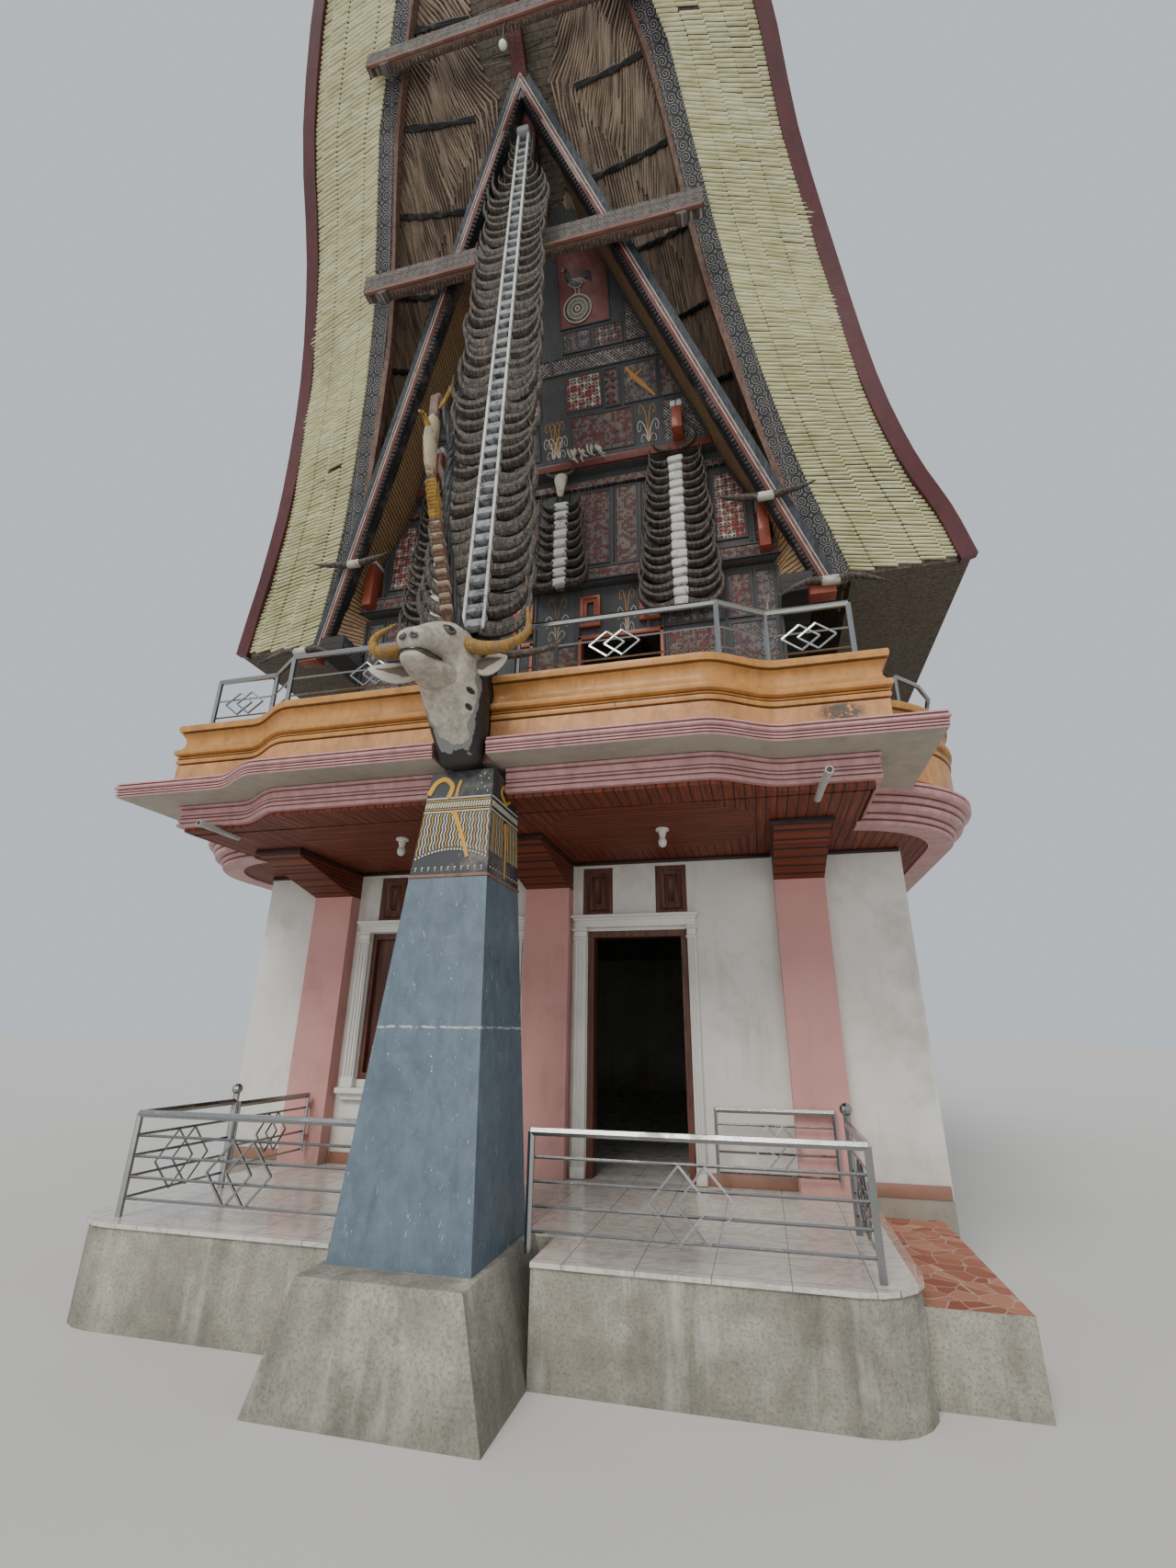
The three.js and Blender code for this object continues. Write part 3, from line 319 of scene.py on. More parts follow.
def build_suns(w, given):
    """Rayed rings"""
    across, up = in_cell(given)
    radius = off_middle(across, up)
    ray = w.between((w.turn(across, up) * 16.0).folded(0.5), 0.2, 0.3)
    band = w.near(radius, 0.62, 0.14, 0.18)
    rim = w.near(radius, 0.88, 0.04, 0.08)
    hub = w.near(radius, 0.3, 0.05, 0.09)
    line = w.most(w.most(rim, hub), ray * band)
    return {"Line": line, "Fill": w.between(radius, 0.82, 0.86, 1.0, 0.0)}


def build_crosses(w, given):
    """Square cells, each with a cross of four spurs round a small square"""
    across, up = [abs(way) for way in in_cell(given)]
    far = w.most(across, up)
    near = w.least(across, up)
    rim = w.near(far, 0.44, 0.02, 0.04)
    spur = w.between(near, 0.08, 0.11, 1.0, 0.0) * w.between(far, 0.36, 0.38, 1.0, 0.0)
    arm = w.near(across + up, 0.34, 0.02, 0.045)
    return {"Line": w.most(rim, w.most(arm, spur)), "Fill": w.between(far, 0.4, 0.42, 1.0, 0.0)}


def build_frets(w, given):
    """Bands crossing at a slant, over and under each other"""
    u, v = [given[key] / given["Cell"] for key in "UV"]
    bands = [abs(way.fract() - 0.5) for way in (u + v, u - v)]
    lines = [w.near(b, 0.22, 0.04, 0.08) for b in bands]
    weave = ((u + v).floor() * 0.5).fract() > 0.25
    under = lines[1] * (bands[0] > 0.2)
    over = lines[0] * w.most(weave, bands[1] > 0.2)
    return {"Line": w.most(over, under), "Fill": w.between(bands[0], 0.16, 0.2, 1.0, 0.0)}


WEATHER = effect("weather", {"Vector": None, "Scale": 1.0, "Amount": 0.3}, ["Mask"], build_weather)
DRIPS = effect("drips", {"Vector": None, "Scale": 6.0, "Amount": 0.3}, ["Mask"], build_drips)
GRAIN = effect("wood grain", {"Vector": None, "Scale": 30.0}, ["Fibre", "Crack"], build_grain)
BOARDS = effect("boards", {"Across": 0.0, "Width": 0.1, "Gap": 0.002}, ["Groove", "Tone"], build_boards)
SCROLLS, LOZENGES, CROSSES, FRETS, SUNS = [
    effect(name, {"U": 0.0, "V": 0.0, "Cell": 0.1}, ["Line", "Fill"], build)
    for name, build in (
        ("scrolls", build_scrolls), ("lozenges", build_lozenges), ("crosses", build_crosses),
        ("frets", build_frets), ("suns", build_suns),
    )
]


def build_carving(w, given):
    """Panels of carved and painted board; the pattern changes from panel to panel"""
    u, v, panel_u, panel_v = [given[key] for key in ("U", "V", "Panel U", "Panel V")]
    at_u = u / panel_u
    at_v = v / panel_v
    number = w.join(at_u.floor(), at_v.floor())
    pick = w.lot(number)
    cell = given["Cell"]
    scroll = w.use(SCROLLS, U=u, V=v, Cell=cell)
    lozenge = w.use(LOZENGES, U=u, V=v, Cell=cell * 1.3)
    sun = w.use(SUNS, U=u, V=v, Cell=cell * 1.5)
    third = pick > 0.8
    second = (pick > 0.5) * (1.0 - third)
    first = pick < 0.5

    def chosen(key):
        parts = [m * s[key] for m, s in ((first, scroll), (second, lozenge), (third, sun))]
        return parts[0] + parts[1] + parts[2]

    def to_edge(at, size):
        inside = at.fract()
        return w.least(inside, 1.0 - inside) * size

    edge = w.least(to_edge(at_u, panel_u), to_edge(at_v, panel_v))
    field = w.between(edge, 0.040, 0.044)
    bead = w.near(edge, 0.024, 0.005, 0.008) * w.between((u + v).folded(0.012), 0.004, 0.007)
    line = w.most(chosen("Line") * field, bead)
    fill = chosen("Fill") * field
    hue = w.lot(number + (5.3, 1.7, 0.0))
    tint = w.mix(hue > 0.72, OXBLOOD, w.mix(hue > 0.9, INDIGO_GREY, TURMERIC))
    ground = w.mix(fill, BLACK_WOOD, tint)
    wear = w.noise(w.join(u, v, given["Depth"]), 5.0, 8.0, 0.7)
    faded = w.mix(line * w.between(wear, 0.25, 0.75, 1.0, 0.45), ground, CHALK)
    dusty = w.mix(w.between(wear, 0.5, 0.8, 0.0, 0.45), faded, INDIGO_GREY)
    groove = w.between(edge, 0.003, 0.008)
    return {"Colour": dusty, "Height": line * 0.5 + groove}


CARVING = effect(
    "carved panels",
    {"U": 0.0, "V": 0.0, "Depth": 0.0, "Cell": 0.1, "Panel U": 0.5, "Panel V": 0.6},
    ["Colour", "Height"],
    build_carving,
)


# Finishes


def plaster(name, colour, shade, roughness=0.72, dirt=0.5):
    """Painted plaster with clouds, runs, hairlines and a splashed foot"""
    made, w, at = begun(name, roughness)
    z = w.split(at)[2]
    clouds = w.weather(at, 0.9, dirt)
    runs = w.drips(at, 7.0, dirt)
    foot = w.between(z, FLOOR, FLOOR + 0.5, 0.8, 0.0) * w.noise(at, 9.0, 5.0)
    base = w.mix(w.between(w.noise(at, 1.7, 3.0), 0.3, 0.7), colour, w.mix(0.25, colour, shade))
    soiled = w.mix(clouds * 0.35, base, shade)
    marked = w.mix(runs * 0.3, soiled, shade)
    whole = w.mix(foot, marked, "#7b6f60")
    rough = w.between(clouds, 0.0, 1.0, roughness, min(roughness + 0.15, 0.95))
    bumps = w.noise(at, 14.0, 6.0, 0.6) + w.noise(at, 120.0, 2.0) * 0.12
    return made.show(whole, rough, bumps, 0.004)


def marble_tiles(w, at, strength, light, dark):
    """Joints, tones and veined marble of square floor tiles; strength is how dark the veins are"""
    x, y, _ = w.split(at)
    rows = [w.use(BOARDS, Across=across, Width=0.4, Gap=0.0015) for across in (x, y)]
    vein = abs(w.noise(at, 2.6, 9.0, 0.6, 2.2) - 0.5)
    marble = w.mix(w.between(vein, 0.0, 0.05, strength, 0.0), light, dark)
    return w.most(rows[0]["Groove"], rows[1]["Groove"]), rows[0]["Tone"] + rows[1]["Tone"], marble


def concrete(name, tiled):
    """Rough cast concrete; the terrace also has its marbled tiles and the paving of its step"""
    made, w, at = begun(name, 0.9)
    x, _, z = w.split(at)
    clouds = w.weather(at, 1.1, 0.75)
    runs = w.drips(at, 5.0, 0.6)
    rust = w.weather(at + (7.0, 3.0, 1.0), 1.6, 0.2)
    grit = w.noise(at, 60.0, 6.0, 0.7)
    patch = w.between(w.noise(at, 2.6, 12.0, 0.75, 0.3), 0.34, 0.66)
    base = w.mix(patch, "#8a867a", "#b2ae9f")
    speckled = w.mix(w.between(grit, 0.48, 0.60, 0.0, 0.55), base, "#6a665b")
    stained = w.mix(clouds * 0.35, speckled, "#5f5c52")
    streaked = w.mix(runs * 0.42, stained, "#4c4a41")
    lime = w.drips(at + (5.0, 2.0, 0.0), 6.0, 0.35)
    limed = w.mix(lime * 0.6, streaked, "#c9c8bd")
    mossy = w.mix(w.between(z, 0.02, 0.3, 0.6, 0.0) * w.noise(at, 7.0, 8.0, 0.7), limed, "#45443a")
    cast = w.mix(rust * 0.45, mossy, "#86673f")
    pits = grit * 0.5 + w.noise(at, 8.0, 6.0, 0.6)
    if not tiled:
        return made.show(cast, w.between(grit, 0.3, 0.7, 0.8, 0.95), pits, 0.012)
    joint, tone, marble = marble_tiles(w, at, 0.55, "#cdc9c1", "#8f8b86")
    tile = w.mix(joint, w.mix(tone * 0.12, marble, "#a9a39a"), "#5d574f")
    dusty = w.mix(w.noise(at, 4.0, 7.0, 0.7) * 0.35, tile, "#b1a391")
    shard = w.read(
        "Distance", "ShaderNodeTexVoronoi", {"Vector": at, "Scale": 7.5}, feature="DISTANCE_TO_EDGE"
    )
    cells = w.read("Color", "ShaderNodeTexVoronoi", {"Vector": at, "Scale": 7.5})
    clay = w.mix(w.split(cells)[0], "#8a4c38", "#b07a62")
    paving = w.mix(w.between(shard, 0.012, 0.028, 1.0, 0.0), clay, "#b49a88")
    up = w.facing()[2]
    is_top = z > TERRACE_TOP
    is_step = (x > STEP_X) * (up > 0.5)
    colour = w.mix(is_step, w.mix(is_top, cast, dusty), paving)
    gloss = w.mix(is_top, (0.9, 0.9, 0.9, 1.0), (0.16, 0.16, 0.16, 1.0))
    worn = w.split(gloss)[0] * w.between(w.noise(at, 6.0, 6.0), 0.3, 0.7, 0.8, 1.35)
    relief = w.mix(is_top, pits, 1.0 - joint * 0.1)
    return made.show(colour, worn, w.split(relief)[0], 0.010)


def tiled_floor(name):
    """White marbled tiles of the rooms on the top faces, with mottled grey sides"""
    made, w, at = begun(name, 0.25)
    joint, _, marble = marble_tiles(w, at, 0.5, "#cfccc5", "#918d88")
    tile = w.mix(joint, marble, "#5d574f")
    up = w.facing()[2]
    side = w.mix(w.noise(at, 5.0, 8.0, 0.7), "#6b655b", "#9b9485")
    colour = w.mix(up > 0.5, side, tile)
    return made.show(colour, w.between(w.noise(at, 5.0, 5.0), 0.3, 0.7, 0.2, 0.5), 1.0 - joint, 0.001)


PEELED_SPOT = (2.66, -6.86, 3.885)


def gloss_paint(name, colour, shade, chip, roughness=0.35, scratches=0.02, low=None, seam=None):
    """Brushed gloss paint with chips down to what lies under it, and painted shade that darkens the
    grooves;
    low gives a level, the colour below it and a peeled spot, seam gives the height of a worn joint"""
    made, w, at = begun(name, roughness, coat_weight=0.1)
    brush = w.noise(at * (1.0, 1.0, 0.6), 11.0, 8.0, 0.7, 0.5)
    clouds = w.weather(at, 1.5, 0.5)
    runs = w.drips(at, 9.0, 0.55)
    flakes = w.weather(at + (3.0, 9.0, 4.0), 6.0, scratches)
    scratch = w.noise(at * (9.0, 9.0, 2.2), 6.0, 3.0, 0.6, 1.5)
    chips = w.most(flakes, w.between(scratch, 0.735 - scratches, 0.75 - scratches))
    groove = w.read("Fac", "ShaderNodeAttribute", attribute_name="groove")
    if low:
        colour = w.mix(w.between(w.split(at)[2], low[0], low[0] + 0.008), low[1], colour)
    tone = w.mix(w.between(brush, 0.3, 0.7), colour, w.mix(0.6, colour, shade))
    soiled = w.mix(w.most(clouds, runs) * 0.4, tone, shade)
    if low:
        away = ((at - PEELED_SPOT) * (5.5, 4.0, 12.0)).length()
        peeled = w.between(away, 0.6, 1.1, 1.0, 0.0) * w.between(w.noise(at, 26.0, 6.0, 0.7), 0.42, 0.48)
        chips = w.most(chips, peeled)
    if seam:
        level = w.split(at)[2] + w.noise(at, 9.0, 6.0, 0.7) * 0.03
        off = abs(level - (seam + 0.015))
        joint = w.between(off, 0.004, 0.009, 1.0, 0.0) * w.between(w.noise(at, 22.0, 4.0), 0.4, 0.5)
        chips = w.most(chips, joint)
    # Painted shade: points deep in the grooves go towards a dark brown
    whole = w.mix(groove * 0.8, w.mix(chips, soiled, chip), w.mix(0.6, shade, "#1a120e"))
    rough = w.between(w.noise(at, 5.0, 6.0), 0.3, 0.7, roughness - 0.08, roughness + 0.2)
    return made.show(whole, rough, brush * 0.3 - chips, 0.002)


def board_wood(made, row, along, light, dark, roughness, depth):
    """Stained wood of boards: grain along them, a tone for each board and dark grooves between them"""
    w = made.wires
    fibre = w.use(GRAIN, Vector=along, Scale=40.0)["Fibre"]
    toned = w.mix(row["Tone"] * 0.4, w.mix(fibre, dark, light), dark)
    whole = w.mix(row["Groove"], toned, "#1c0f0a")
    rough = w.between(fibre, 0.0, 1.0, roughness + 0.15, roughness - 0.05)
    return made.show(whole, rough, fibre * 0.08 - row["Groove"], depth)


def stained_boards(name, across, width, light, dark, gap=0.0025, roughness=0.4):
    """Tongue-and-groove boards; across is the axis that runs over them"""
    made, w, at = begun(name, roughness, coat_weight=0.2)
    parts = w.split(at)
    row = w.use(BOARDS, Across=parts["XYZ".index(across)], Width=width, Gap=gap)
    along = w.join(parts[1], parts[0], parts[2]) if across == "X" else at
    return board_wood(made, row, along + w.join(row["Tone"] * 9.0, 0.0), light, dark, roughness, 0.004)


BAY_MIDDLE = (1.185, -6.05)
BAY_HALF = (0.80, 0.62)
CORBEL_FOOT = 3.3475


def boarded_ceiling(name, light, dark):
    """Boards along the house, with a field of boards across it in each bay; level boards on the corbels"""
    made, w, at = begun(name, 0.6)
    x, y, z = w.split(at)
    aside = abs(abs(x) - BAY_MIDDLE[0]) / BAY_HALF[0]
    deep = abs(y - BAY_MIDDLE[1]) / BAY_HALF[1]
    corner = (aside + deep) * 0.66
    field = w.most(w.most(aside, deep), corner) < 1.0
    corbel = z < CORBEL_FOOT

    def chosen(over_field, over_rest, over_corbel):
        flat = w.read(0, "ShaderNodeMix", {"Factor": field, 2: over_rest, 3: over_field}, data_type="FLOAT")
        return w.read(0, "ShaderNodeMix", {"Factor": corbel, 2: flat, 3: over_corbel}, data_type="FLOAT")

    row = w.use(BOARDS, Across=chosen(y, x, z), Width=chosen(0.075, 0.075, 0.036), Gap=0.0028)
    along = w.join(chosen(x, y, y), row["Tone"] * 9.0, chosen(y, x, z))
    return board_wood(made, row, along, light, dark, 0.6, 0.006)


def timber(name, light, dark, along="X", roughness=0.7, dust=0.3):
    """Plain sawn and weathered timber with its fibres along one axis"""
    made, w, at = begun(name, roughness)
    parts = w.split(at)
    first = "XYZ".index(along)
    others = [i for i in range(3) if i != first]
    grain = w.use(GRAIN, Vector=w.join(parts[first], parts[others[0]], parts[others[1]]), Scale=28.0)
    wood = w.mix(grain["Fibre"], dark, light)
    cracked = w.mix(grain["Crack"] * 0.7, wood, "#120e0c")
    grey = w.weather(at, 2.0, dust)
    whole = w.mix(grey * 0.5, cracked, "#857869")
    height = grain["Fibre"] - grain["Crack"]
    return made.show(
        whole, w.between(grain["Fibre"], 0.0, 1.0, roughness + 0.1, roughness - 0.1), height, 0.003
    )


def carved_paint(name, u, v, cell, panel, shift=(0.0, 0.0)):
    """Carved and painted boards; u and v name the axes across and up the face"""
    made, w, at = begun(name, 0.75)
    parts = w.split(at)
    flat = [parts["XYZ".index(axis)] + move for axis, move in ((u, shift[0]), (v, shift[1]))]
    sockets = {"U": flat[0], "V": flat[1], "Cell": cell, "Panel U": panel[0], "Panel V": panel[1]}
    cut = w.use(CARVING, **sockets)
    grain = w.use(GRAIN, Vector=w.join(flat[0], flat[1], parts[1]), Scale=34.0)
    ahead = w.facing()[1]
    is_end = abs(ahead) > 0.7
    worked = w.mix(is_end, cut["Colour"], w.mix(grain["Fibre"], "#171314", "#2f2827"))
    whole = w.mix(grain["Crack"] * 0.6, worked, "#0e0c0c")
    height = cut["Height"] + grain["Fibre"] * 0.15
    return made.show(whole, w.between(grain["Fibre"], 0.0, 1.0, 0.85, 0.6), height, 0.006)


def carved_field(name, pattern, cell, lines, fill):
    """Board carved with one pattern; the painted lines change colour from cell to cell"""
    made, w, at = begun(name, 0.8)
    parts = w.split(at)
    u, v = parts[0], parts[2]
    row = w.use(pattern, U=u, V=v, Cell=cell)
    number = w.join((u / (cell * 0.5)).floor(), (v / (cell * 0.5)).floor())
    pick = w.lot(number)
    wear = w.noise(at, 6.0, 8.0, 0.75)
    line = w.mix(pick > 0.5, lines[0], lines[1])
    ground = w.mix(row["Fill"], BLACK_WOOD, fill)
    painted = w.mix(row["Line"] * w.between(wear, 0.25, 0.7, 1.0, 0.65), ground, line)
    grain = w.use(GRAIN, Vector=w.join(v, u, parts[1]), Scale=30.0)
    dusty = w.mix(w.between(wear, 0.5, 0.8) * 0.3, painted, INDIGO_GREY)
    whole = w.mix(grain["Crack"] * 0.4, dusty, "#0e0c0c")
    height = grain["Fibre"] * 0.2 + row["Line"]
    return made.show(whole, w.between(wear, 0.3, 0.7, 0.65, 0.9), height, 0.005)


def beaded_wood(name, pitch, dots):
    """Dark frame boards with rows of small painted beads"""
    made, w, at = begun(name, 0.75)
    x, y, z = w.split(at)
    px, pz = [(a / pitch).folded(0.5) - 0.25 for a in (x, z)]
    bead = w.between((px * px + pz * pz).sqrt(), 0.10, 0.15, 1.0, 0.0)
    wear = w.noise(at, 7.0, 8.0, 0.7)
    grain = w.use(GRAIN, Vector=w.join(z, x, y), Scale=26.0)
    wood = w.mix(grain["Fibre"], "#171516", "#37373a")
    blue = w.mix(w.between(wear, 0.4, 0.7, 0.0, 0.6), wood, "#3f4a52")
    whole = w.mix(bead * w.between(wear, 0.3, 0.7, 0.75, 0.2), blue, dots)
    return made.show(whole, w.between(wear, 0.3, 0.7, 0.6, 0.85), bead + grain["Fibre"], 0.003)


def slanted_carving(name, foot, slope, cell, field):
    """Carved paint on the leaning boards that follow the gable: bands run along each board"""
    made, w, at = begun(name, 0.75)
    x, _, z = w.split(at)
    out, up = abs(x) - foot[0], z - foot[1]
    norm = math.hypot(1.0, slope)
    across, along = (out + up * slope) / norm, (up - out * slope) / norm
    row = w.use(SCROLLS, U=across, V=along, Cell=cell)
    wear = w.noise(at, 5.0, 8.0, 0.7)
    ground = w.mix(row["Fill"], BLACK_WOOD, field)
    whole = w.mix(row["Line"] * w.between(wear, 0.25, 0.75, 0.95, 0.55), ground, "#a39c96")
    return made.show(whole, w.between(wear, 0.3, 0.7, 0.65, 0.85), row["Line"], 0.004)


def bamboo_thatch(name):
    """Split bamboo laid down the slope in weathered courses"""
    made, w, at = begun(name, 0.8)
    x, y, z = w.split(at)
    canes = w.use(BOARDS, Across=y, Width=0.055, Gap=0.003)
    course = w.use(BOARDS, Across=z + canes["Tone"] * 0.05, Width=0.34, Gap=0.012)
    grain = w.use(GRAIN, Vector=w.join(z, y, x), Scale=30.0)
    cane = w.mix(canes["Tone"] * 0.6 + grain["Fibre"] * 0.4, "#5c5140", "#a69a7a")
    mossy = w.mix(w.weather(at, 0.8, 0.6) * 0.55, cane, "#3f3c2e")
    dark = w.mix(w.most(canes["Groove"], course["Groove"]), mossy, "#211c15")
    # Painted shade: faces turned down and the end faces take a plainer, darker brown
    facing = w.facing()
    inside = w.most(w.between(facing[2], -0.45, -0.2, 1.0, 0.0), w.between(abs(facing[1]), 0.75, 0.9))
    shaded = w.mix(inside, dark, w.mix(grain["Fibre"], "#3c332a", "#6e6152"))
    height = 1.0 - canes["Groove"] - course["Groove"]
    return made.show(shaded, w.between(grain["Fibre"], 0.0, 1.0, 0.9, 0.65), height, 0.02)


def brushed_steel(name):
    """Polished stainless tube with fine scratches, dust and weld marks"""
    made, w, at = begun(name, 0.22, 1.0)
    scratch = w.noise(at * (1.0, 1.0, 8.0), 90.0, 4.0, 0.7)
    dust = w.weather(at, 3.0, 0.45)
    colour = w.mix(dust * 0.4, w.mix(scratch, "#868786", "#adaeae"), "#7a7268")
    return made.show(colour, w.between(scratch + dust, 0.3, 1.4, 0.14, 0.5), scratch, 0.0004)


def window_glass(name):
    """Dusty dark glass"""
    made, w, at = begun(name, 0.08, coat_weight=0.5)
    dust = w.noise(at, 3.0, 7.0, 0.7)
    colour = w.mix(w.between(dust, 0.4, 0.8, 0.0, 0.35), "#0d1214", "#4a4c4a")
    return made.show(colour, w.between(dust, 0.3, 0.8, 0.06, 0.4), dust, 0.0005)


def horn_shell(name, light, dark):
    """Weathered buffalo horn: growth rings, flakes and a grey bloom"""
    made, w, at = begun(name, 0.65)
    flakes = w.noise(at * (9.0, 9.0, 26.0), 4.0, 8.0, 0.7, 0.6)
    rings = w.noise(at * (34.0, 4.0, 6.0), 2.0, 4.0, 0.6)
    whole = w.mix(
        w.between(flakes, 0.36, 0.64), dark, w.mix(w.between(rings, 0.42, 0.58), light, "#7d6f60")
    )
    bloom = w.mix(w.weather(at, 3.0, 0.35) * 0.3, whole, "#857f75")
    return made.show(bloom, w.between(flakes, 0.3, 0.7, 0.8, 0.45), flakes + rings * 0.6, 0.012)


def split_bamboo(name, light, dark, gap, sloping=False):
    """Split bamboo: long fibres, dark stains and spots; sloping canes run down and back"""
    made, w, at = begun(name, 0.55)
    x, y, z = w.split(at)
    if sloping:
        at = w.join(x, y - z, y + z)
    grain = w.use(GRAIN, Vector=at, Scale=60.0)
    tone = w.noise(at * (2.0, 2.0, 40.0), 1.0, 2.0)
    cane = w.mix(w.between(tone, 0.35, 0.65), dark, light)
    fibre = w.mix(grain["Fibre"] * 0.35, cane, dark)
    stain = w.weather(at, 1.3, 0.45)
    whole = w.mix(stain * 0.4, fibre, gap)
    return made.show(whole, w.between(grain["Fibre"], 0.0, 1.0, 0.45, 0.7), grain["Fibre"], 0.002)


def chipped_paint(name, colour, under, worn):
    """Old chalky paint, flaked off in spots"""
    made, w, at = begun(name, 0.7)
    flakes = w.weather(at, 9.0, worn)
    grime = w.weather(at + (4.0, 1.0, 8.0), 2.5, 0.5)
    base = w.mix(grime * 0.5, colour, "#7d776d")
    whole = w.mix(flakes, base, under)
    return made.show(whole, w.between(flakes, 0.0, 1.0, 0.6, 0.85), 1.0 - flakes, 0.002)


SPOTS = ((0.178, 3.934), (0.150, 3.838), (0.228, 3.815), (0.162, 3.690), (0.132, 3.600))


def hide(name):
    """Painted hide: pale face and throat with black spots, and a dark neck with a scalloped grey edge"""
    made, w, at = begun(name, 0.5)
    x, y, z = w.split(at)
    scallop = (w.noise(at, 11.0, 2.0) - 0.5) * 0.14
    aside = abs(x) + (y + 7.45) * 0.75
    below = 3.585 - z
    dark = w.most(aside - 0.125, below) + scallop
    rim = w.between(dark, -0.052, -0.046)
    collar = w.between(dark, 0.0, 0.006)
    mottle = w.mix(w.between(w.noise(at, 16.0, 6.0, 0.7), 0.35, 0.7), "#c4bcac", "#8f8677")
    hair = w.noise(at * (60.0, 12.0, 12.0), 2.0, 4.0, 0.6)
    pale = w.mix(hair * 0.35, mottle, "#665f55")
    shade = w.mix(w.weather(at, 4.0, 0.5) * 0.35, pale, "#837462")
    spotted = shade
    for across, up in SPOTS:
        away = ((at - (across, 0.0, up)) * (1.0, 0.0, 1.0)).length()
        spotted = w.mix(w.between(away, 0.017, 0.022, 1.0, 0.0), spotted, "#1f1c1b")
    edged = w.mix(rim, spotted, "#777572")
    whole = w.mix(collar, edged, "#1c1a19")
    return made.show(whole, w.between(hair, 0.3, 0.7, 0.45, 0.65), hair + w.noise(at, 30.0, 5.0), 0.004)


white_plaster = plaster("white plaster", "#d9d6cf", "#97907f")
pink_plaster = plaster("pink plaster", "#c48e88", "#946660", dirt=0.4)
white_trim = plaster("white moulding", "#dedcd5", "#a39b8b", 0.55, 0.35)
plinth_concrete = concrete("plinth concrete", False)
terrace_surface = concrete("terrace concrete and tile", True)
room_tiles = tiled_floor("room tiles")
pink_gloss = gloss_paint("pink cornice paint", "#c69593", "#8a615e", "#8a7a70", 0.5)
orange_gloss = gloss_paint(
    "orange parapet paint", "#bf8742", "#7d5224", "#4c463e", 0.5, 0.035, (3.962, "#cc9460")
)
grey_gloss = gloss_paint("blue grey pillar paint", "#5f707c", "#35424d", "#aaaeac", 0.42, 0.07, seam=1.77)
ceiling_boards = boarded_ceiling("ceiling boards", "#8f3a12", "#4a1b08")
canopy_underside = plaster("canopy underside", "#aaa192", "#7c7465", 0.7, 0.5)
dark_strip = timber("dark ceiling strip", "#3a2018", "#1c100c", "X", 0.5, 0.1)
milky_glass = gloss_paint("milky bulb", "#d8d6cf", "#b4b0a4", "#a8a498", 0.2)
plastic_tube = gloss_paint("grey tube", "#b9bab6", "#83837c", "#77756c", 0.45)
clay_skirting = plaster("clay skirting", "#8f5743", "#5f3a2d", 0.4, 0.5)
brown_frames = timber("brown window timber", "#6b3a26", "#3a1d13", "Z", 0.5, 0.1)
dark_post = timber("dark post timber", "#3b3836", "#191716", "Z", 0.7, 0.4)
red_beam = timber("red beam timber", "#6b2a22", "#3a1210", "Y", 0.6, 0.2)
worn_red = timber("worn red timber", "#8a5a4a", "#54382f", "X", 0.7, 0.4)
tie_timber = timber("tie beam timber", "#6b5146", "#2f211c", "X", 0.75, 0.45)
side_carving = carved_paint("side carving", "Y", "Z", 0.115, (0.62, 0.60), (0.0, 0.18))
beaded_board = beaded_wood("beaded frame board", 0.034, "#8d857a")
scroll_dark = carved_field("grey scrolls", SCROLLS, 0.072, ("#d2cac0", "#b58272"), "#2d303c")
beam_scrolls = carved_field("grey beam scrolls", SCROLLS, 0.095, ("#a79d94", "#8d7f76"), "#4b443f")
scroll_red = carved_field("red scrolls", SCROLLS, 0.068, ("#c46a5c", "#d0c6b6"), "#35262b")
cross_dark = carved_field("grey crosses", CROSSES, 0.085, ("#9b9184", "#7e4c42"), "#24242b")
cross_red = carved_field("red crosses", CROSSES, 0.090, ("#b86053", "#d0c6b6"), "#35262b")
fret_dark = carved_field("crossing bands", FRETS, 0.080, ("#c9c0b6", "#a8918a"), "#2f323c")
lozenge_strip = carved_field("lozenge strip", LOZENGES, 0.070, ("#c6bdae", "#a8645a"), "#2f2a31")
chalk_dots = beaded_wood("chalk dots on dark wood", 0.026, "#b0a797")
sun_rings = carved_field("ringed suns", SUNS, 0.085, ("#a0968a", "#8a4c42"), "#252229")
orange_red = gloss_paint("orange red frame paint", "#8f4026", "#5a2418", "#2f1c16", 0.55)
panel_red = gloss_paint("red panel paint", "#6b2c20", "#401c16", "#2a1a16", 0.6)
chalk_line = chipped_paint("chalk white line", "#b3aa9c", "#55504c", 0.30)
ochre_line = chipped_paint("ochre line", "#a4762f", "#4b3826", 0.3)
verge_carving = slanted_carving("verge carving", (3.1, 6.3), 0.19, 0.115, "#1b1e24")
thatch = bamboo_thatch("bamboo thatch")
chipped_white = chipped_paint("chipped white paint", "#b9b8b3", "#4c4a49", 0.42)
bleached_bone = chipped_paint("bleached bone", "#b5afa2", "#6e6658", 0.45)
bleached_boss = chipped_paint("bleached grey bosses", "#848688", "#3f4042", 0.55)
spotted_hide = hide("spotted hide paint")
dark_hide = chipped_paint("dark hide paint", "#4b4744", "#2a2725", 0.3)
ear_paint = chipped_paint("pale ear paint", "#b5afa2", "#5c564e", 0.25)
ear_inside = chipped_paint("brown inside of the ears", "#6b5d50", "#3a312a", 0.3)
wet_eye = gloss_paint("dark eye", "#141312", "#050505", "#2a2a2a", 0.12)
yellow_horn = horn_shell("yellow painted horn", "#b98f2d", "#8a6316")
carved_pale = chipped_paint("pale carved comb", "#a89a7c", "#5b4632", 0.5)
# Painted shade: the lining canes' colours are darkened overall for the shade inside the roof
lining_cane = split_bamboo("lining cane", "#a08b74", "#5a4a3b", "#2c2520", True)
tarred_rope = chipped_paint("tarred rope", "#1f1f20", "#0f0f10", 0.4)
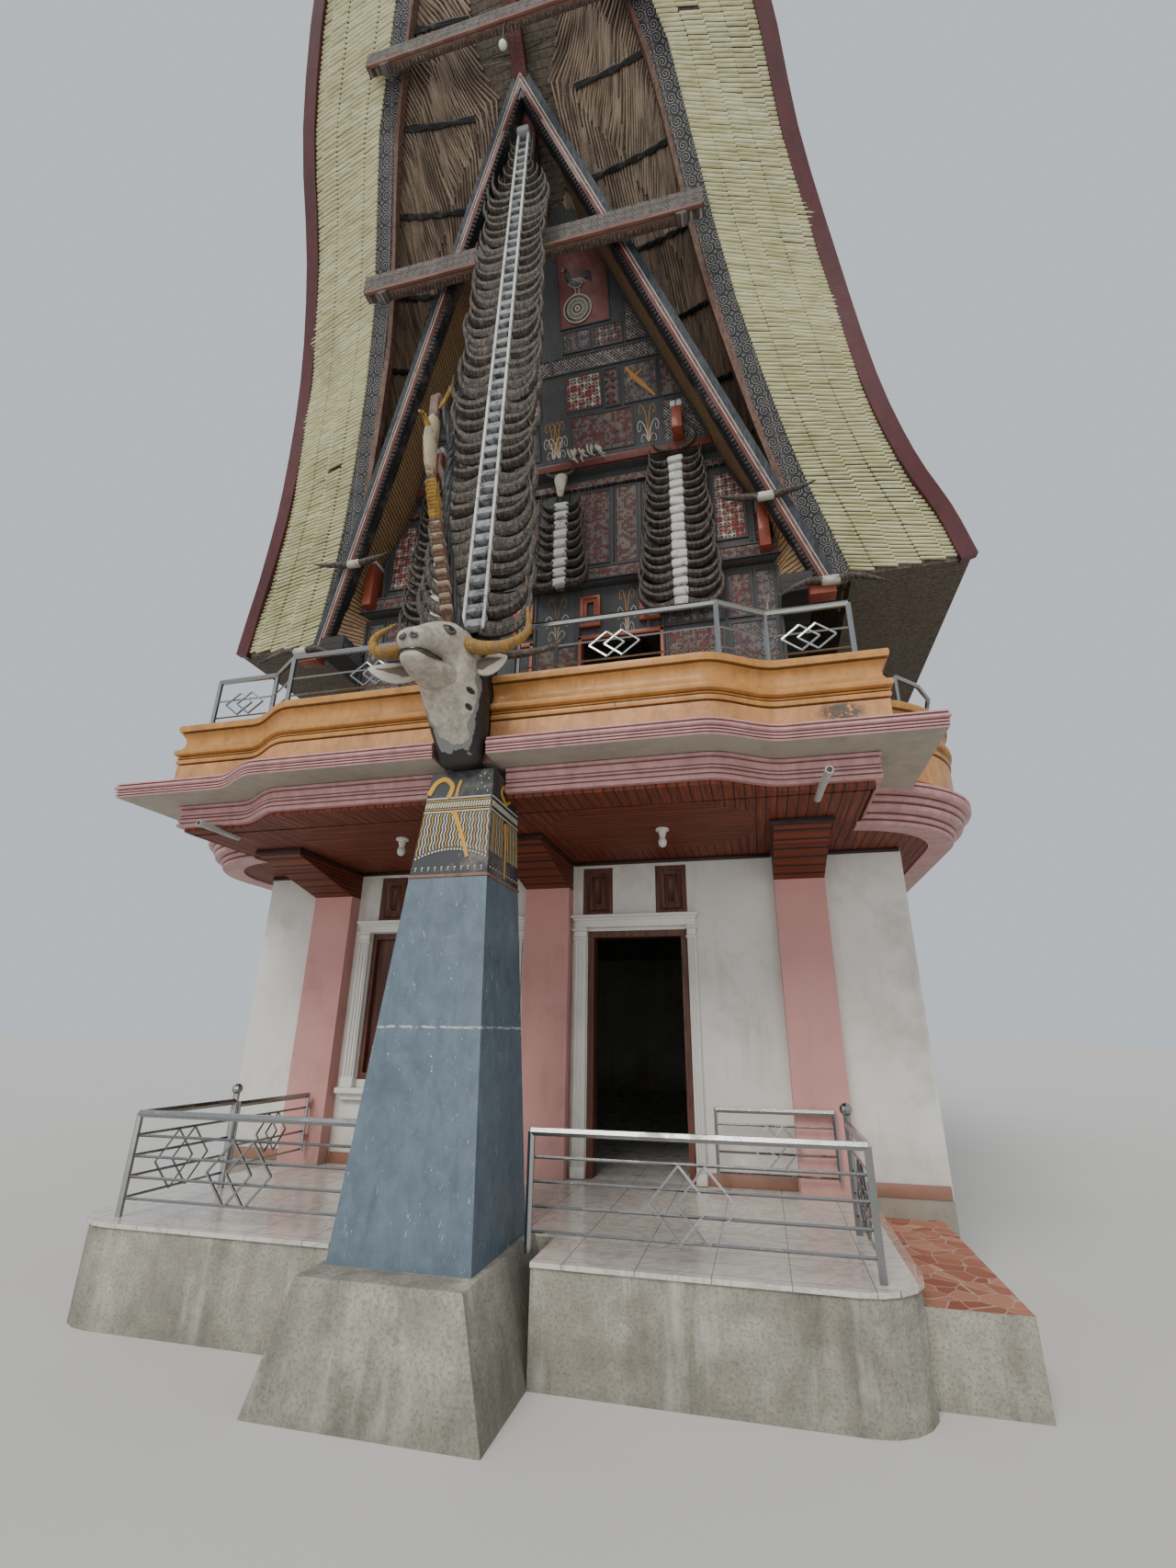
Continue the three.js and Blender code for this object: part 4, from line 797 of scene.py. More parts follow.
red_flashing = gloss_paint("dark red flashing", "#561d20", "#2c1416", "#8a6a5c", 0.5)
brown_rib = timber("brown rib timber", "#7a5c4e", "#4e362d", "Z", 0.7, 0.4)
# Painted light: the reveal's colours are made lighter to stand in for sunlight on it
slatted_reveal = stained_boards(
    "slatted reveal", "Z", 0.045, "#b8966a", "#7d6040", gap=0.004, roughness=0.7
)
slat_bamboo = split_bamboo("pale split bamboo", "#dfdcb9", "#b9b588", "#8a855c")
blue_black = timber("blue black rafter timber", "#3f464d", "#1d2124", "Z", 0.7, 0.35)
black_box = chipped_paint("black carved ground", "#2a2c2f", "#5a5954", 0.25)
carved_white = chipped_paint("white carved lines", "#bcb7a4", "#5d5a4e", 0.22)
carved_yellow = chipped_paint("yellow carved lines", "#b98a24", "#6f5a2c", 0.22)
rusty_edge = chipped_paint("rusty lower edge", "#7a5646", "#4a4a4a", 0.4)
steel = brushed_steel("stainless rails")
glass = window_glass("window glass")
horn = horn_shell("old horn", "#45403b", "#171514")
head_paint = plaster("pale head paint", "#c9c2b4", "#7d7466", 0.5, 0.3)
ochre_wood = timber("ochre painted wood", "#b08a35", "#6b4c1c", "Z", 0.6, 0.2)


# Finishes on the solids

ON_NODES = {
    room_tiles: ["foundation", "floor_slab"],
    terrace_surface: ["terrace"],
    plinth_concrete: ["pillar_plinth"],
    grey_gloss: ["pillar_box"],
    beaded_board: [
        "front_facade_lower", "rear_facade_lower", "front_facade_upper", "rear_facade_upper", "front_gable",
        "rear_gable",
    ],
    black_box: ["carved_box"],
    side_carving: ["body_left_wall", "body_right_wall"],
    white_plaster: [
        "front_wall_left", "front_wall_right", "wall_over_door", "left_wall", "right_wall", "back_wall"
    ],
    white_trim: ["door_trim", "window_trim"],
    pink_plaster: ["pillar_left", "pillar_middle", "pillar_right"],
    pink_gloss: ["front_canopy", "side_gallery_left", "side_gallery_right"],
    orange_gloss: ["front_parapet"],
    ceiling_boards: ["soffit"],
    brown_frames: ["door_frame", "window_frame"],
    glass: ["left_window_glass", "right_window_glass"],
    dark_post: ["main_post", "rear_post"],
    red_beam: ["ridge_beam"],
    tie_timber: ["tie_beam_lower", "tie_beam_upper"],
    blue_black: ["front_rafters", "rear_rafters"],
    verge_carving: ["verge_boards_front", "verge_boards_rear"],
    thatch: ["roof_left", "roof_right"],
    steel: [
        "terrace_rail_left", "terrace_rail_right", "gate_left", "gate_right", "balcony_rail_left",
        "balcony_rail_right", "side_rail_left", "side_rail_right",
    ],
    horn: ["main_horn_column", "horn_column_left", "horn_column_right", "horn_column_middle"],
    head_paint: ["buffalo_head"],
    ochre_wood: ["katik"],
}
for material, names in ON_NODES.items():
    for name in names:
        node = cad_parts[name]
        node.data.materials.clear()
        node.data.materials.append(material)


# Modelling


def turned(angle, axis):
    return Matrix.Rotation(angle, 4, axis)


def scaled(x, y, z):
    return Matrix.Diagonal((x, y, z, 1.0))


def only(piece):
    bpy.ops.object.select_all(action="DESELECT")
    piece.select_set(True)
    bpy.context.view_layer.objects.active = piece


def primitive(kind, name, **settings):
    """A primitive with its place, turn and size put into its mesh"""
    bpy.ops.object.select_all(action="DESELECT")
    getattr(bpy.ops.mesh, f"primitive_{kind}_add")(**settings)
    piece = bpy.context.object
    piece.name = piece.data.name = name
    only(piece)
    bpy.ops.object.transform_apply(location=True, rotation=True, scale=True)
    return piece


@contextmanager
def editing(piece, pick=None):
    """Edit mode, with all faces selected or those whose centre and normal pass the test"""
    only(piece)
    for face in piece.data.polygons:
        face.select = pick is None or pick(face.center, face.normal)
    for edge in piece.data.edges:
        edge.select = pick is None
    for corner in piece.data.vertices:
        corner.select = pick is None
    bpy.ops.object.mode_set(mode="EDIT")
    bpy.ops.mesh.select_mode(type="FACE")
    yield
    bpy.ops.object.mode_set(mode="OBJECT")


def inset(*steps):
    """Frames within frames on the selected faces, each with its width and the step up or down"""
    for thickness, depth in steps:
        bpy.ops.mesh.inset(thickness=thickness, depth=depth)


def modify(piece, kind, **settings):
    only(piece)
    modifier = piece.modifiers.new(kind.title(), kind)
    for key, value in settings.items():
        setattr(modifier, key, value)
    bpy.ops.object.modifier_apply(modifier=modifier.name)
    return piece


def box(name, low, high, bevel=0.006):
    """Bevelled block between two corners"""
    low, high = Vector(low), Vector(high)
    piece = primitive("cube", name, size=1.0, location=(low + high) / 2, scale=high - low)
    return modify(piece, "BEVEL", width=bevel, segments=2) if bevel else piece


def joined(name, pieces):
    """Several pieces made one"""
    bpy.ops.object.select_all(action="DESELECT")
    for piece in pieces:
        piece.select_set(True)
    bpy.context.view_layer.objects.active = pieces[0]
    if len(pieces) > 1:
        bpy.ops.object.join()
    pieces[0].name = pieces[0].data.name = name
    return pieces[0]


def from_points(name, points, faces):
    mesh = bpy.data.meshes.new(name)
    mesh.from_pydata(points, [], faces)
    piece = bpy.data.objects.new(name, mesh)
    bpy.context.scene.collection.objects.link(piece)
    return piece


def copies(name, model, places):
    """One piece of many copies of a model, each set at its own place"""
    corners = [corner.co.copy() for corner in model.data.vertices]
    faces = [tuple(face.vertices) for face in model.data.polygons]
    points = [place @ corner for place in places for corner in corners]
    count = len(corners)
    shapes = [[count * i + v for v in face] for i in range(len(places)) for face in faces]
    bpy.data.objects.remove(model)
    return from_points(name, points, shapes)


def skin(name, rings):
    """Surface through rings of the same number of points, closed at both ends"""
    count = len(rings[0])
    faces = []
    for r in range(len(rings) - 1):
        for i in range(count):
            j = (i + 1) % count
            faces.append((r * count + i, r * count + j, (r + 1) * count + j, (r + 1) * count + i))
    last = (len(rings) - 1) * count
    faces += [tuple(range(count))[::-1], tuple(range(last, last + count))]
    return outward(from_points(name, [point for ring in rings for point in ring], faces))


def smooth_line(points, steps):
    """Evenly stepped points on a smooth curve through the given ones"""
    line = [Vector(p) for p in points]
    ends = [line[0] * 2 - line[1]] + line + [line[-1] * 2 - line[-2]]
    out = []
    for i in range(len(line) - 1):
        a, b, c, d = ends[i : i + 4]
        for k in range(steps):
            t = k / steps
            bend, twist = 2 * a - 5 * b + 4 * c - d, 3 * b - a - 3 * c + d
            out.append(0.5 * (2 * b + (c - a) * t + bend * t * t + twist * t**3))
    return [*out, line[-1]]


def drawn_tube(name, line, radii, sides=8, flat=1.0, side=(0.0, 1.0, 0.0)):
    """Tube along a line with a radius at each point; flat thins it along the side direction"""
    rings = []
    for i, point in enumerate(line):
        forward = (line[min(i + 1, len(line) - 1)] - line[max(i - 1, 0)]).normalized()
        across = (Vector(side) - forward * forward.dot(Vector(side))).normalized()
        third = forward.cross(across)
        radius = radii[i]
        turns = [2 * math.pi * k / sides for k in range(sides)]
        rings.append(
            [point + across * math.cos(a) * radius * flat + third * math.sin(a) * radius for a in turns]
        )
    return skin(name, rings)


def outward(piece):
    with editing(piece):
        bpy.ops.mesh.normals_make_consistent(inside=False)
    return piece


def dress(piece, material, body="house", angle=40.0):
    """Gives a finished piece its material unless it has its own, smooth shading and its body"""
    only(piece)
    bpy.ops.object.shade_smooth_by_angle(angle=math.radians(angle))
    if material:
        piece.data.materials.clear()
        piece.data.materials.append(material)
    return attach(piece, body)


def along(line, t):
    """Point at a share of the length of a line of points"""
    steps = [(b - a).length for a, b in zip(line, line[1:])]
    left = t * sum(steps)
    for a, b, step in zip(line, line[1:], steps):
        if left <= step or b is line[-1]:
            return a.lerp(b, left / step)
        left -= step


def at_height(line, z):
    """Point of a rising line at a height"""
    for a, b in zip(line, line[1:]):
        if z <= b.z or b is line[-1]:
            return a.lerp(b, (z - a.z) / (b.z - a.z))


def front_face(z):
    """Depth of the facade's front at a height: straight tiers below, the leaning gable on top"""
    if z < BAND_LEVEL:
        return FACADE_Y
    return TIER_Y if z < GABLE_FOOT else GABLE_Y - LEAN * (z - GABLE_LEVEL)


def seat(origin, right, up, depth):
    """Matrix that puts a model's X along right and its Z along up; their lengths and the depth scale it"""
    place = Matrix.Identity(4)
    for column, axis in enumerate((right, up.cross(right).normalized() * depth, up)):
        for row in range(3):
            place[row][column] = axis[row]
    place.translation = origin
    return place


# Roof

VERGE_OUTER = [
    (4.400, -4.950, 6.380), (4.210, -5.080, 6.920), (3.880, -5.340, 7.470), (3.590, -5.590, 8.370),
    (3.310, -5.970, 9.790), (2.990, -6.600, 11.020), (2.740, -7.350, 12.280), (2.250, -8.100, 13.600),
    (1.550, -8.750, 14.700), (0.750, -9.200, 15.450), (0.000, -9.400, 15.720),
]
VERGE_INNER = [
    (3.220, -5.070, 6.290), (2.860, -5.380, 7.250), (2.670, -5.580, 7.830), (2.480, -5.820, 8.470),
    (2.260, -6.130, 9.300), (2.080, -6.450, 10.170), (1.740, -7.310, 11.880), (1.200, -8.100, 13.300),
    (0.600, -8.700, 14.300), (0.000, -9.000, 14.800),
]
OUTER = [Vector(p) for p in VERGE_OUTER]
INNER = [Vector(p) for p in VERGE_INNER]
SLAT_PITCH = 0.043
SLAT_COLUMNS = 5


def half_round(name):
    """Split bamboo of unit length and height, its round side towards -Y"""
    stick = primitive(
        "cylinder", name, vertices=12, radius=0.5, depth=1.0, rotation=(0.0, math.radians(90.0), 0.0)
    )
    with editing(stick):
        bpy.ops.mesh.bisect(
            plane_co=(0.0, 0.0, 0.0), plane_no=(0.0, 1.0, 0.0), clear_outer=True, use_fill=True
        )
    return stick


def roof_face(name, x, z):
    """Where a level line along y meets the front end of a roof half"""
    hit, place, _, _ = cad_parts[name].ray_cast((x, -12.0, z), (0.0, 1.0, 0.0))
    return place.y if hit else None


def verge_slats(side):
    """Five stepped columns of split bamboo over the front end face of one roof half"""
    node = "roof_right" if side > 0 else "roof_left"
    places = []
    top = INNER[-1].z
    for column in range(SLAT_COLUMNS):
        z = INNER[0].z + 0.06 + 0.02 * column
        while z < OUTER[-1].z - 0.12:
            inner = at_height(INNER, z).x if z < top else 0.004
            outer = at_height(OUTER, max(z, OUTER[0].z)).x
            ends = [inner + (outer - inner) * share / SLAT_COLUMNS for share in (column, column + 1)]
            touch = [roof_face(node, side * min(max(x, inner + 0.003), outer - 0.01), z) for x in ends]
            if None not in touch and ends[1] - ends[0] > 0.03 and chance.random() > 0.001:
                a, b = [Vector((side * x, y, z)) for x, y in zip(ends, touch)]
                a.z += chance.uniform(-0.004, 0.004) + 0.05 * (b - a).length
                b.z -= 0.05 * (b - a).length
                lift = Vector((0.0, -0.004 - 0.014 * (column % 2) - chance.uniform(0.0, 0.006), 0.0))
                up = Vector((0.0, -LEAN, 1.0)).normalized() * SLAT_PITCH * 0.76
                places.append(seat((a + b) / 2 + lift, (b - a) * (1.01 * side), up, 0.05))
            z += SLAT_PITCH * chance.uniform(0.97, 1.03)
    return copies(f"verge_slats_{'right' if side > 0 else 'left'}", half_round("slat"), places)


TO_REAR = turned(math.pi, "Z")
TO_LEFT = scaled(-1.0, 1.0, 1.0)


def twin_of(piece, name, move):
    """A copy of a piece with its own mesh, moved to the rear end or to the left side"""
    twin = piece.copy()
    twin.data = piece.data.copy()
    twin.name = twin.data.name = name
    bpy.context.scene.collection.objects.link(twin)
    twin.data.transform(move)
    return twin


def both_ends(piece, material, angle=40.0):
    """Dresses a front piece and its twin at the rear end; without a material they keep their own"""
    rear = twin_of(piece, f"{piece.name}_rear", TO_REAR)
    dress(piece, material, angle=angle)
    return dress(rear, material, angle=angle)


def in_place_of(piece, material, node):
    """Dresses a front piece and its rear twin, which replace the front and the rear node"""
    rear = both_ends(piece, material)
    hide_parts(f"front_{node}")
    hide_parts(f"rear_{node}")


def strip_along(name, line, start, wide, thick, lift):
    """Board along a roof edge; start is how far inside the line it begins"""
    rings = []
    for i, point in enumerate(line):
        way = (line[min(i + 1, len(line) - 1)] - line[max(i - 1, 0)]).normalized()
        across = Vector((-way.z, 0.0, way.x)).normalized()
        near, far = point + across * start, point + across * (start + wide)
        ahead, behind = Vector((0.0, -lift - thick, 0.0)), Vector((0.0, -lift, 0.0))
        rings.append([near + ahead, far + ahead, far + behind, near + behind])
    return skin(name, rings)


def other_side(piece, name):
    """A copy of a right piece for the left side"""
    return outward(twin_of(piece, name, TO_LEFT))


def mirrored(piece):
    """Adds the other half of a piece made on the right side"""
    return outward(joined(piece.name, [piece, other_side(piece, piece.name)]))


def all_round(name, pieces, material, angle=40.0):
    """Pieces made on the right of the front, joined, mirrored to the left and repeated at the rear"""
    both_ends(mirrored(joined(name, pieces)), material, angle)


def tapering(line, thick, loss, power=1.0):
    """Radii along a line, from thick at its start down by a share at its end"""
    last = len(line) - 1
    return [thick * (1.0 - loss * (i / last) ** power) for i in range(last + 1)]


def block(name, bevel):
    """Bevelled cube of unit size about the origin, the model of beads, bosses and rays"""
    return box(name, (-0.5, -0.5, -0.5), (0.5, 0.5, 0.5), bevel)


def ridge_underside(y):
    """Height of the ridge beam's underside, which follows the roof's saddle"""
    return 9.45 + 5.35 * abs(y / 9.0) ** 2.6


CANE_PITCH = 0.036
CANE_RADIUS = 0.0165
CANE_STEP = 0.04
CANE_LIFT = 0.010
FIRST_CANE = 1.20
CANES = 1020
CANES_IN_PITCH = 8
LINING_FRONT = -8.95
LINING_BACK = -4.30
LINING_FOOT = 6.35
LINING_TOP = 14.70
LINING_HALF = 3.3
ROPE_LIFT = 0.045
RIB_FEET = (6.60, 7.30, 8.00, 8.66, 9.50, 10.33, 11.12, 11.93, 12.75, 13.55)


def on_lining(y, z, lift):
    """Point lifted off the inside of the right roof half; none where the roof is closed or too wide"""
    if z > ridge_underside(y) - 0.05:
        return None
    hit, place, normal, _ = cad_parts["roof_right"].ray_cast((0.03, y, z), (1.0, 0.0, 0.0))
    return place + normal * lift if hit and place.x < LINING_HALF else None


def lining_runs(level, number):
    """Points of one cane, down and back from the verge; odd numbers are there only in wide places"""
    runs = [[]]
    y = LINING_FRONT
    while y < LINING_BACK:
        z = level - y
        point = None
        if LINING_FOOT < z < LINING_TOP and y > at_height(INNER, z).y + 0.06:
            point = on_lining(y, z, CANE_LIFT)
            onward = on_lining(y + 0.03, z - 0.03, CANE_LIFT)
            below = on_lining(y, z - CANE_PITCH, CANE_LIFT)
        if point and onward and below:
            apart = (below - point).cross((onward - point).normalized()).length / CANE_PITCH
            every = CANES_IN_PITCH
            while apart > 1.15 and every > 1:
                apart, every = apart / 2, every // 2
            if number % every:
                point = None
        if point:
            runs[-1].append(point)
        elif runs[-1]:
            runs.append([])
        y += CANE_STEP
    return runs


def roof_lining():
    """Canes side by side on the inside of the roof, square to the ribs"""
    canes = []
    for number in range(CANES):
        for run in lining_runs(FIRST_CANE + CANE_PITCH * number / CANES_IN_PITCH, number):
            if len(run) > 3:
                line = [*run[:-2:4], run[-1]]
                radius = CANE_RADIUS * chance.uniform(0.85, 1.15)
                canes.append(drawn_tube("cane", line, [radius] * len(line), sides=5))
    all_round("roof_lining_canes", canes, lining_cane, 60.0)


def lashed_ribs():
    """Ribs bound in black rope across the lining"""
    ropes = []
    for foot in RIB_FEET:
        start = at_height(INNER, foot)
        middle = []
        for k in range(26):
            y, z = start.y + 0.05 + 0.06 * k, foot + 0.06 * k
            point = on_lining(y, z, ROPE_LIFT) if y < TIER_Y - 0.03 else None
            if point is None:
                break
            middle.append(point)
        if len(middle) < 3:
            continue
        for strand in (0.0, math.pi):
            line = []
            for k, point in enumerate(smooth_line(middle, 3)):
                turn = strand + k * 0.95
                line.append(
                    point + Vector(
                        (math.cos(turn) * 0.017, -math.sin(turn) * 0.012, math.sin(turn) * 0.012)
                    )
                )
            ropes.append(drawn_tube("strand", line, [0.022] * len(line), sides=5))
    all_round("lashed_ribs", ropes, tarred_rope, 60.0)


def roof_edges():
    """Red flashing on the outer edge, and a brown rib inside the carved strip"""
    outer = smooth_line(OUTER, 3)
    flashing = strip_along("verge_flashing", outer, -0.060, 0.175, 0.085, -0.010)
    both_ends(mirrored(flashing), red_flashing)
    inner = smooth_line(INNER[:-1], 3)
    rib = strip_along("verge_rib", inner, 0.190, 0.075, 0.100, -0.100)
    both_ends(mirrored(rib), brown_rib)


RAFTER_FACE_Y = -5.37
BEADS = 136
BEAD_PITCH = 0.0435


def rafter_line(z, inset):
    """A point on the front of the right rafter, inset from its outer edge"""
    x = (RAFTER_TOP - z) * RAFTER_SLOPE - inset
    return Vector((x, RAFTER_FACE_Y - (z - RAFTER_FOOT) * LEAN, z))


def rafter_board(name, s0, s1, ahead, behind):
    """Board along both front rafters, between two insets from their line, and ahead of and behind them"""
    section = [(s0, -ahead), (s1, -ahead), (s1, behind), (s0, behind)]
    rings = []
    for top in (False, True):
        ring = []
        for inset, shift in section:
            z = RAFTER_TOP - inset / RAFTER_SLOPE if top else RAFTER_FOOT + 0.02
            ring.append(rafter_line(z, inset) + Vector((0.0, shift, 0.0)))
        rings.append(ring)
    return mirrored(skin(name, rings))


def rafters():
    """Blue-black rafters with white, brown and red edges, a rope of beads, and reveals behind them"""
    outer = rafter_board("rafter_outer_boards", -0.090, 0.012, -0.020, 0.140)
    in_place_of(outer, blue_black, "rafters")
    for name, s0, s1, ahead, behind, material, slot in (
        ("white_edges", 0.000, 0.010, 0.004, 0.130, chipped_white, "pale_painted_wood"),
        ("brown_boards", 0.010, 0.045, 0.008, 0.130, brown_rib, "brown_wood"),
        ("white_lines", 0.045, 0.054, 0.014, 0.130, chipped_white, "pale_painted_wood"),
        ("red_boards", 0.054, 0.094, 0.010, 0.130, panel_red, "red_wood"),
        ("inner_boards", 0.094, 0.140, 0.000, 0.140, tarred_rope, "dark_wood"),
    ):
        both_ends(rafter_board(f"rafter_{name}", s0, s1, ahead, behind), material)
    bead = primitive("uv_sphere", "bead", segments=8, ring_count=6, radius=0.5)
    places = []
    spin = turned(math.radians(-50.0), "Y")
    for k in range(BEADS):
        point = rafter_line(RAFTER_FOOT + 0.06 + BEAD_PITCH * k, 0.117) + Vector((0.0, -0.006, 0.0))
        places.append(Matrix.Translation(point) @ spin @ scaled(0.052, 0.036, 0.028))
    both_ends(mirrored(copies("rafter_beads", bead, places)), tarred_rope, angle=60.0)
    rings = []
    for k in range(27):
        z = 6.12 + 0.2 * k
        front = rafter_line(z, 0.132) + Vector((0.0, 0.09, 0.0))
        back = Vector((min(2.44, rafter_line(z, 0.03).x), min(front_face(z) + 0.01, -5.10), z))
        rings.append([front, back, back + Vector((0.02, 0.0, 0.0)), front + Vector((0.02, 0.0, 0.0))])
    both_ends(mirrored(skin("rafter_reveals", rings)), slatted_reveal)


# Buffalo head and katik


def head_ring(y, z, wide, high, tilt, square=0.85):
    """Ring of the head: centre, half width, half height, and the lean of its plane"""
    ring = []
    for k in range(16):
        a = 2 * math.pi * k / 16
        c, s = math.cos(a), math.sin(a)
        x = wide * math.copysign(abs(c) ** square, c)
        h = high * math.copysign(abs(s) ** square, s)
        ring.append(Vector((x + skewed(y), y + h * math.sin(tilt), z + h * math.cos(tilt))))
    return ring


def skewed(y):
    """How far the head's middle line stands to the left, growing towards the muzzle"""
    return -0.07 * max(0.0, -7.5 - y) / 0.57


def buffalo_head():
    """Head that slopes down and forward from the post, with jaw, ears, eyes, nostrils and horns"""
    stations = [
        (-7.30, 3.49, 0.150, 0.092, 1.38), (-7.32, 3.58, 0.165, 0.100, 1.35),
        (-7.36, 3.70, 0.200, 0.140, 1.32), (-7.42, 3.85, 0.225, 0.190, 1.25),
        (-7.50, 4.00, 0.235, 0.230, 1.10), (-7.58, 4.12, 0.235, 0.255, 0.85),
        (-7.66, 4.22, 0.225, 0.260, 0.50), (-7.74, 4.26, 0.200, 0.215, 0.15),
        (-7.83, 4.24, 0.168, 0.155, -0.15), (-7.92, 4.19, 0.134, 0.112, -0.35),
        (-8.00, 4.145, 0.116, 0.092, -0.45), (-8.06, 4.115, 0.112, 0.084, -0.50),
        (-8.09, 4.105, 0.076, 0.055, -0.50),
    ]
    head = skin("buffalo_head_shape", [head_ring(*station) for station in stations])
    jaw = skin(
        "buffalo_jaw",
        [
            head_ring(*station)
            for station in (
                (-8.080, 4.012, 0.046, 0.018, 0.2), (-8.055, 4.000, 0.082, 0.038, 0.2),
                (-7.975, 3.990, 0.102, 0.054, 0.2), (-7.880, 4.000, 0.130, 0.070, 0.2),
                (-7.760, 4.020, 0.155, 0.095, 0.2), (-7.640, 4.020, 0.170, 0.115, 0.2),
            )
        ],
    )
    for part in (head, jaw):
        modify(part, "SUBSURF", levels=2, render_levels=2)
    whole = joined("buffalo_head_shape", [head, jaw])
    dress(whole, spotted_hide, angle=60.0)
    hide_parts("buffalo_head")
    leaf = [(0.0, 0.026), (0.12, 0.052), (0.34, 0.088), (0.60, 0.090), (0.84, 0.052), (1.0, 0.008)]
    ears, insides = [], []
    for side, tip in ((1, (0.46, -7.70, 4.13)), (-1, (-0.54, -7.80, 4.11))):
        root = Vector((side * 0.19 - 0.02, -7.60, 4.15))
        sag = Vector((0.0, 0.0, -0.03))
        line = [root.lerp(Vector(tip), t) + sag * math.sin(math.pi * t) for t, _ in leaf]
        radii = [r for _, r in leaf]
        ears.append(drawn_tube("ear", line, radii, 12, 0.30))
        inner = [point + Vector((0.0, -0.016, 0.008)) for point in line[:5]]
        insides.append(
            drawn_tube(
                "ear_inside", inner, [r * f for r, f in zip(radii, (0.3, 0.6, 0.6, 0.4, 0.05))], 12, 0.30
            )
        )
    dress(
        modify(joined("buffalo_ears", ears), "SUBSURF", levels=1, render_levels=1), ear_paint,
        angle=60.0,
    )
    dress(joined("buffalo_ear_insides", insides), ear_inside, angle=60.0)
    horns = []
    for line in (
        [
            (0.06, -7.66, 4.33), (0.18, -7.71, 4.25), (0.32, -7.76, 4.18), (0.50, -7.81, 4.15),
            (0.65, -7.86, 4.20), (0.65, -7.88, 4.37),
        ],
        [
            (-0.16, -7.68, 4.33), (-0.30, -7.76, 4.25), (-0.37, -7.85, 4.18), (-0.44, -7.90, 4.19),
            (-0.43, -7.91, 4.28), (-0.31, -7.88, 4.38),
        ],
    ):
        curve = smooth_line(line, 4)
        horns.append(
            drawn_tube("horn", curve, tapering(curve, 0.067, 0.86, 1.7), 10, 0.85, (0.0, 0.0, 1.0))
        )
    dress(joined("buffalo_horns", horns), yellow_horn, angle=60.0)
    real = smooth_line(
        [
            (0.05, -7.28, 4.46), (0.24, -7.32, 4.40), (0.46, -7.36, 4.36), (0.66, -7.34, 4.40),
            (0.74, -7.30, 4.50),
        ],
        4,
    )
    behind = [
        drawn_tube("horn", line, tapering(line, 0.050, 0.8), 8)
        for line in (real, [TO_LEFT @ p for p in real])
    ]
    dress(joined("horns_behind_head", behind), horn, angle=60.0)
    lids, balls, holes = [], [], []
    for side in (-1, 1):
        x = skewed(-7.85) + side * 0.135
        turn = (math.radians(58.0), 0.0, math.radians(side * 48.0))
        lids.append(
            primitive(
                "torus", "lid", major_radius=0.040, minor_radius=0.013, major_segments=18, minor_segments=8,
                location=(x, -7.868, 4.290), rotation=turn,
            )
        )
        balls.append(
            primitive(
                "uv_sphere", "ball", segments=16, ring_count=10, radius=0.036,
                location=(x - side * 0.004, -7.858, 4.287),
            )
        )
        x = skewed(-8.08) + side * 0.040
        holes.append(
            primitive(
                "torus", "nostril", major_radius=0.021, minor_radius=0.009, major_segments=14,
                minor_segments=8, location=(x, -8.100, 4.122),
                rotation=(math.radians(72.0), 0.0, math.radians(side * 18.0)),
            )
        )
        # Painted shade: a black ball fills each nostril
        balls.append(
            primitive(
                "uv_sphere", "nostril_hole", segments=12, ring_count=8, radius=0.017,
                location=(x, -8.092, 4.122),
            )
        )
    mouth = smooth_line(
        [
            (0.066, -7.88, 4.050), (0.048, -7.97, 4.045), (0.008, -8.058, 4.040), (-0.070, -8.082, 4.036),
            (-0.150, -8.058, 4.040), (-0.186, -7.97, 4.045), (-0.190, -7.88, 4.050),
        ],
        3,
    )
    balls.append(drawn_tube("mouth", mouth, [0.007] * len(mouth), 6, 1.0, (0.0, 0.0, 1.0)))
    dress(joined("buffalo_lids", lids), dark_hide)
    dress(joined("buffalo_eyes", balls), wet_eye)
    dress(joined("buffalo_nostrils", holes), dark_hide)


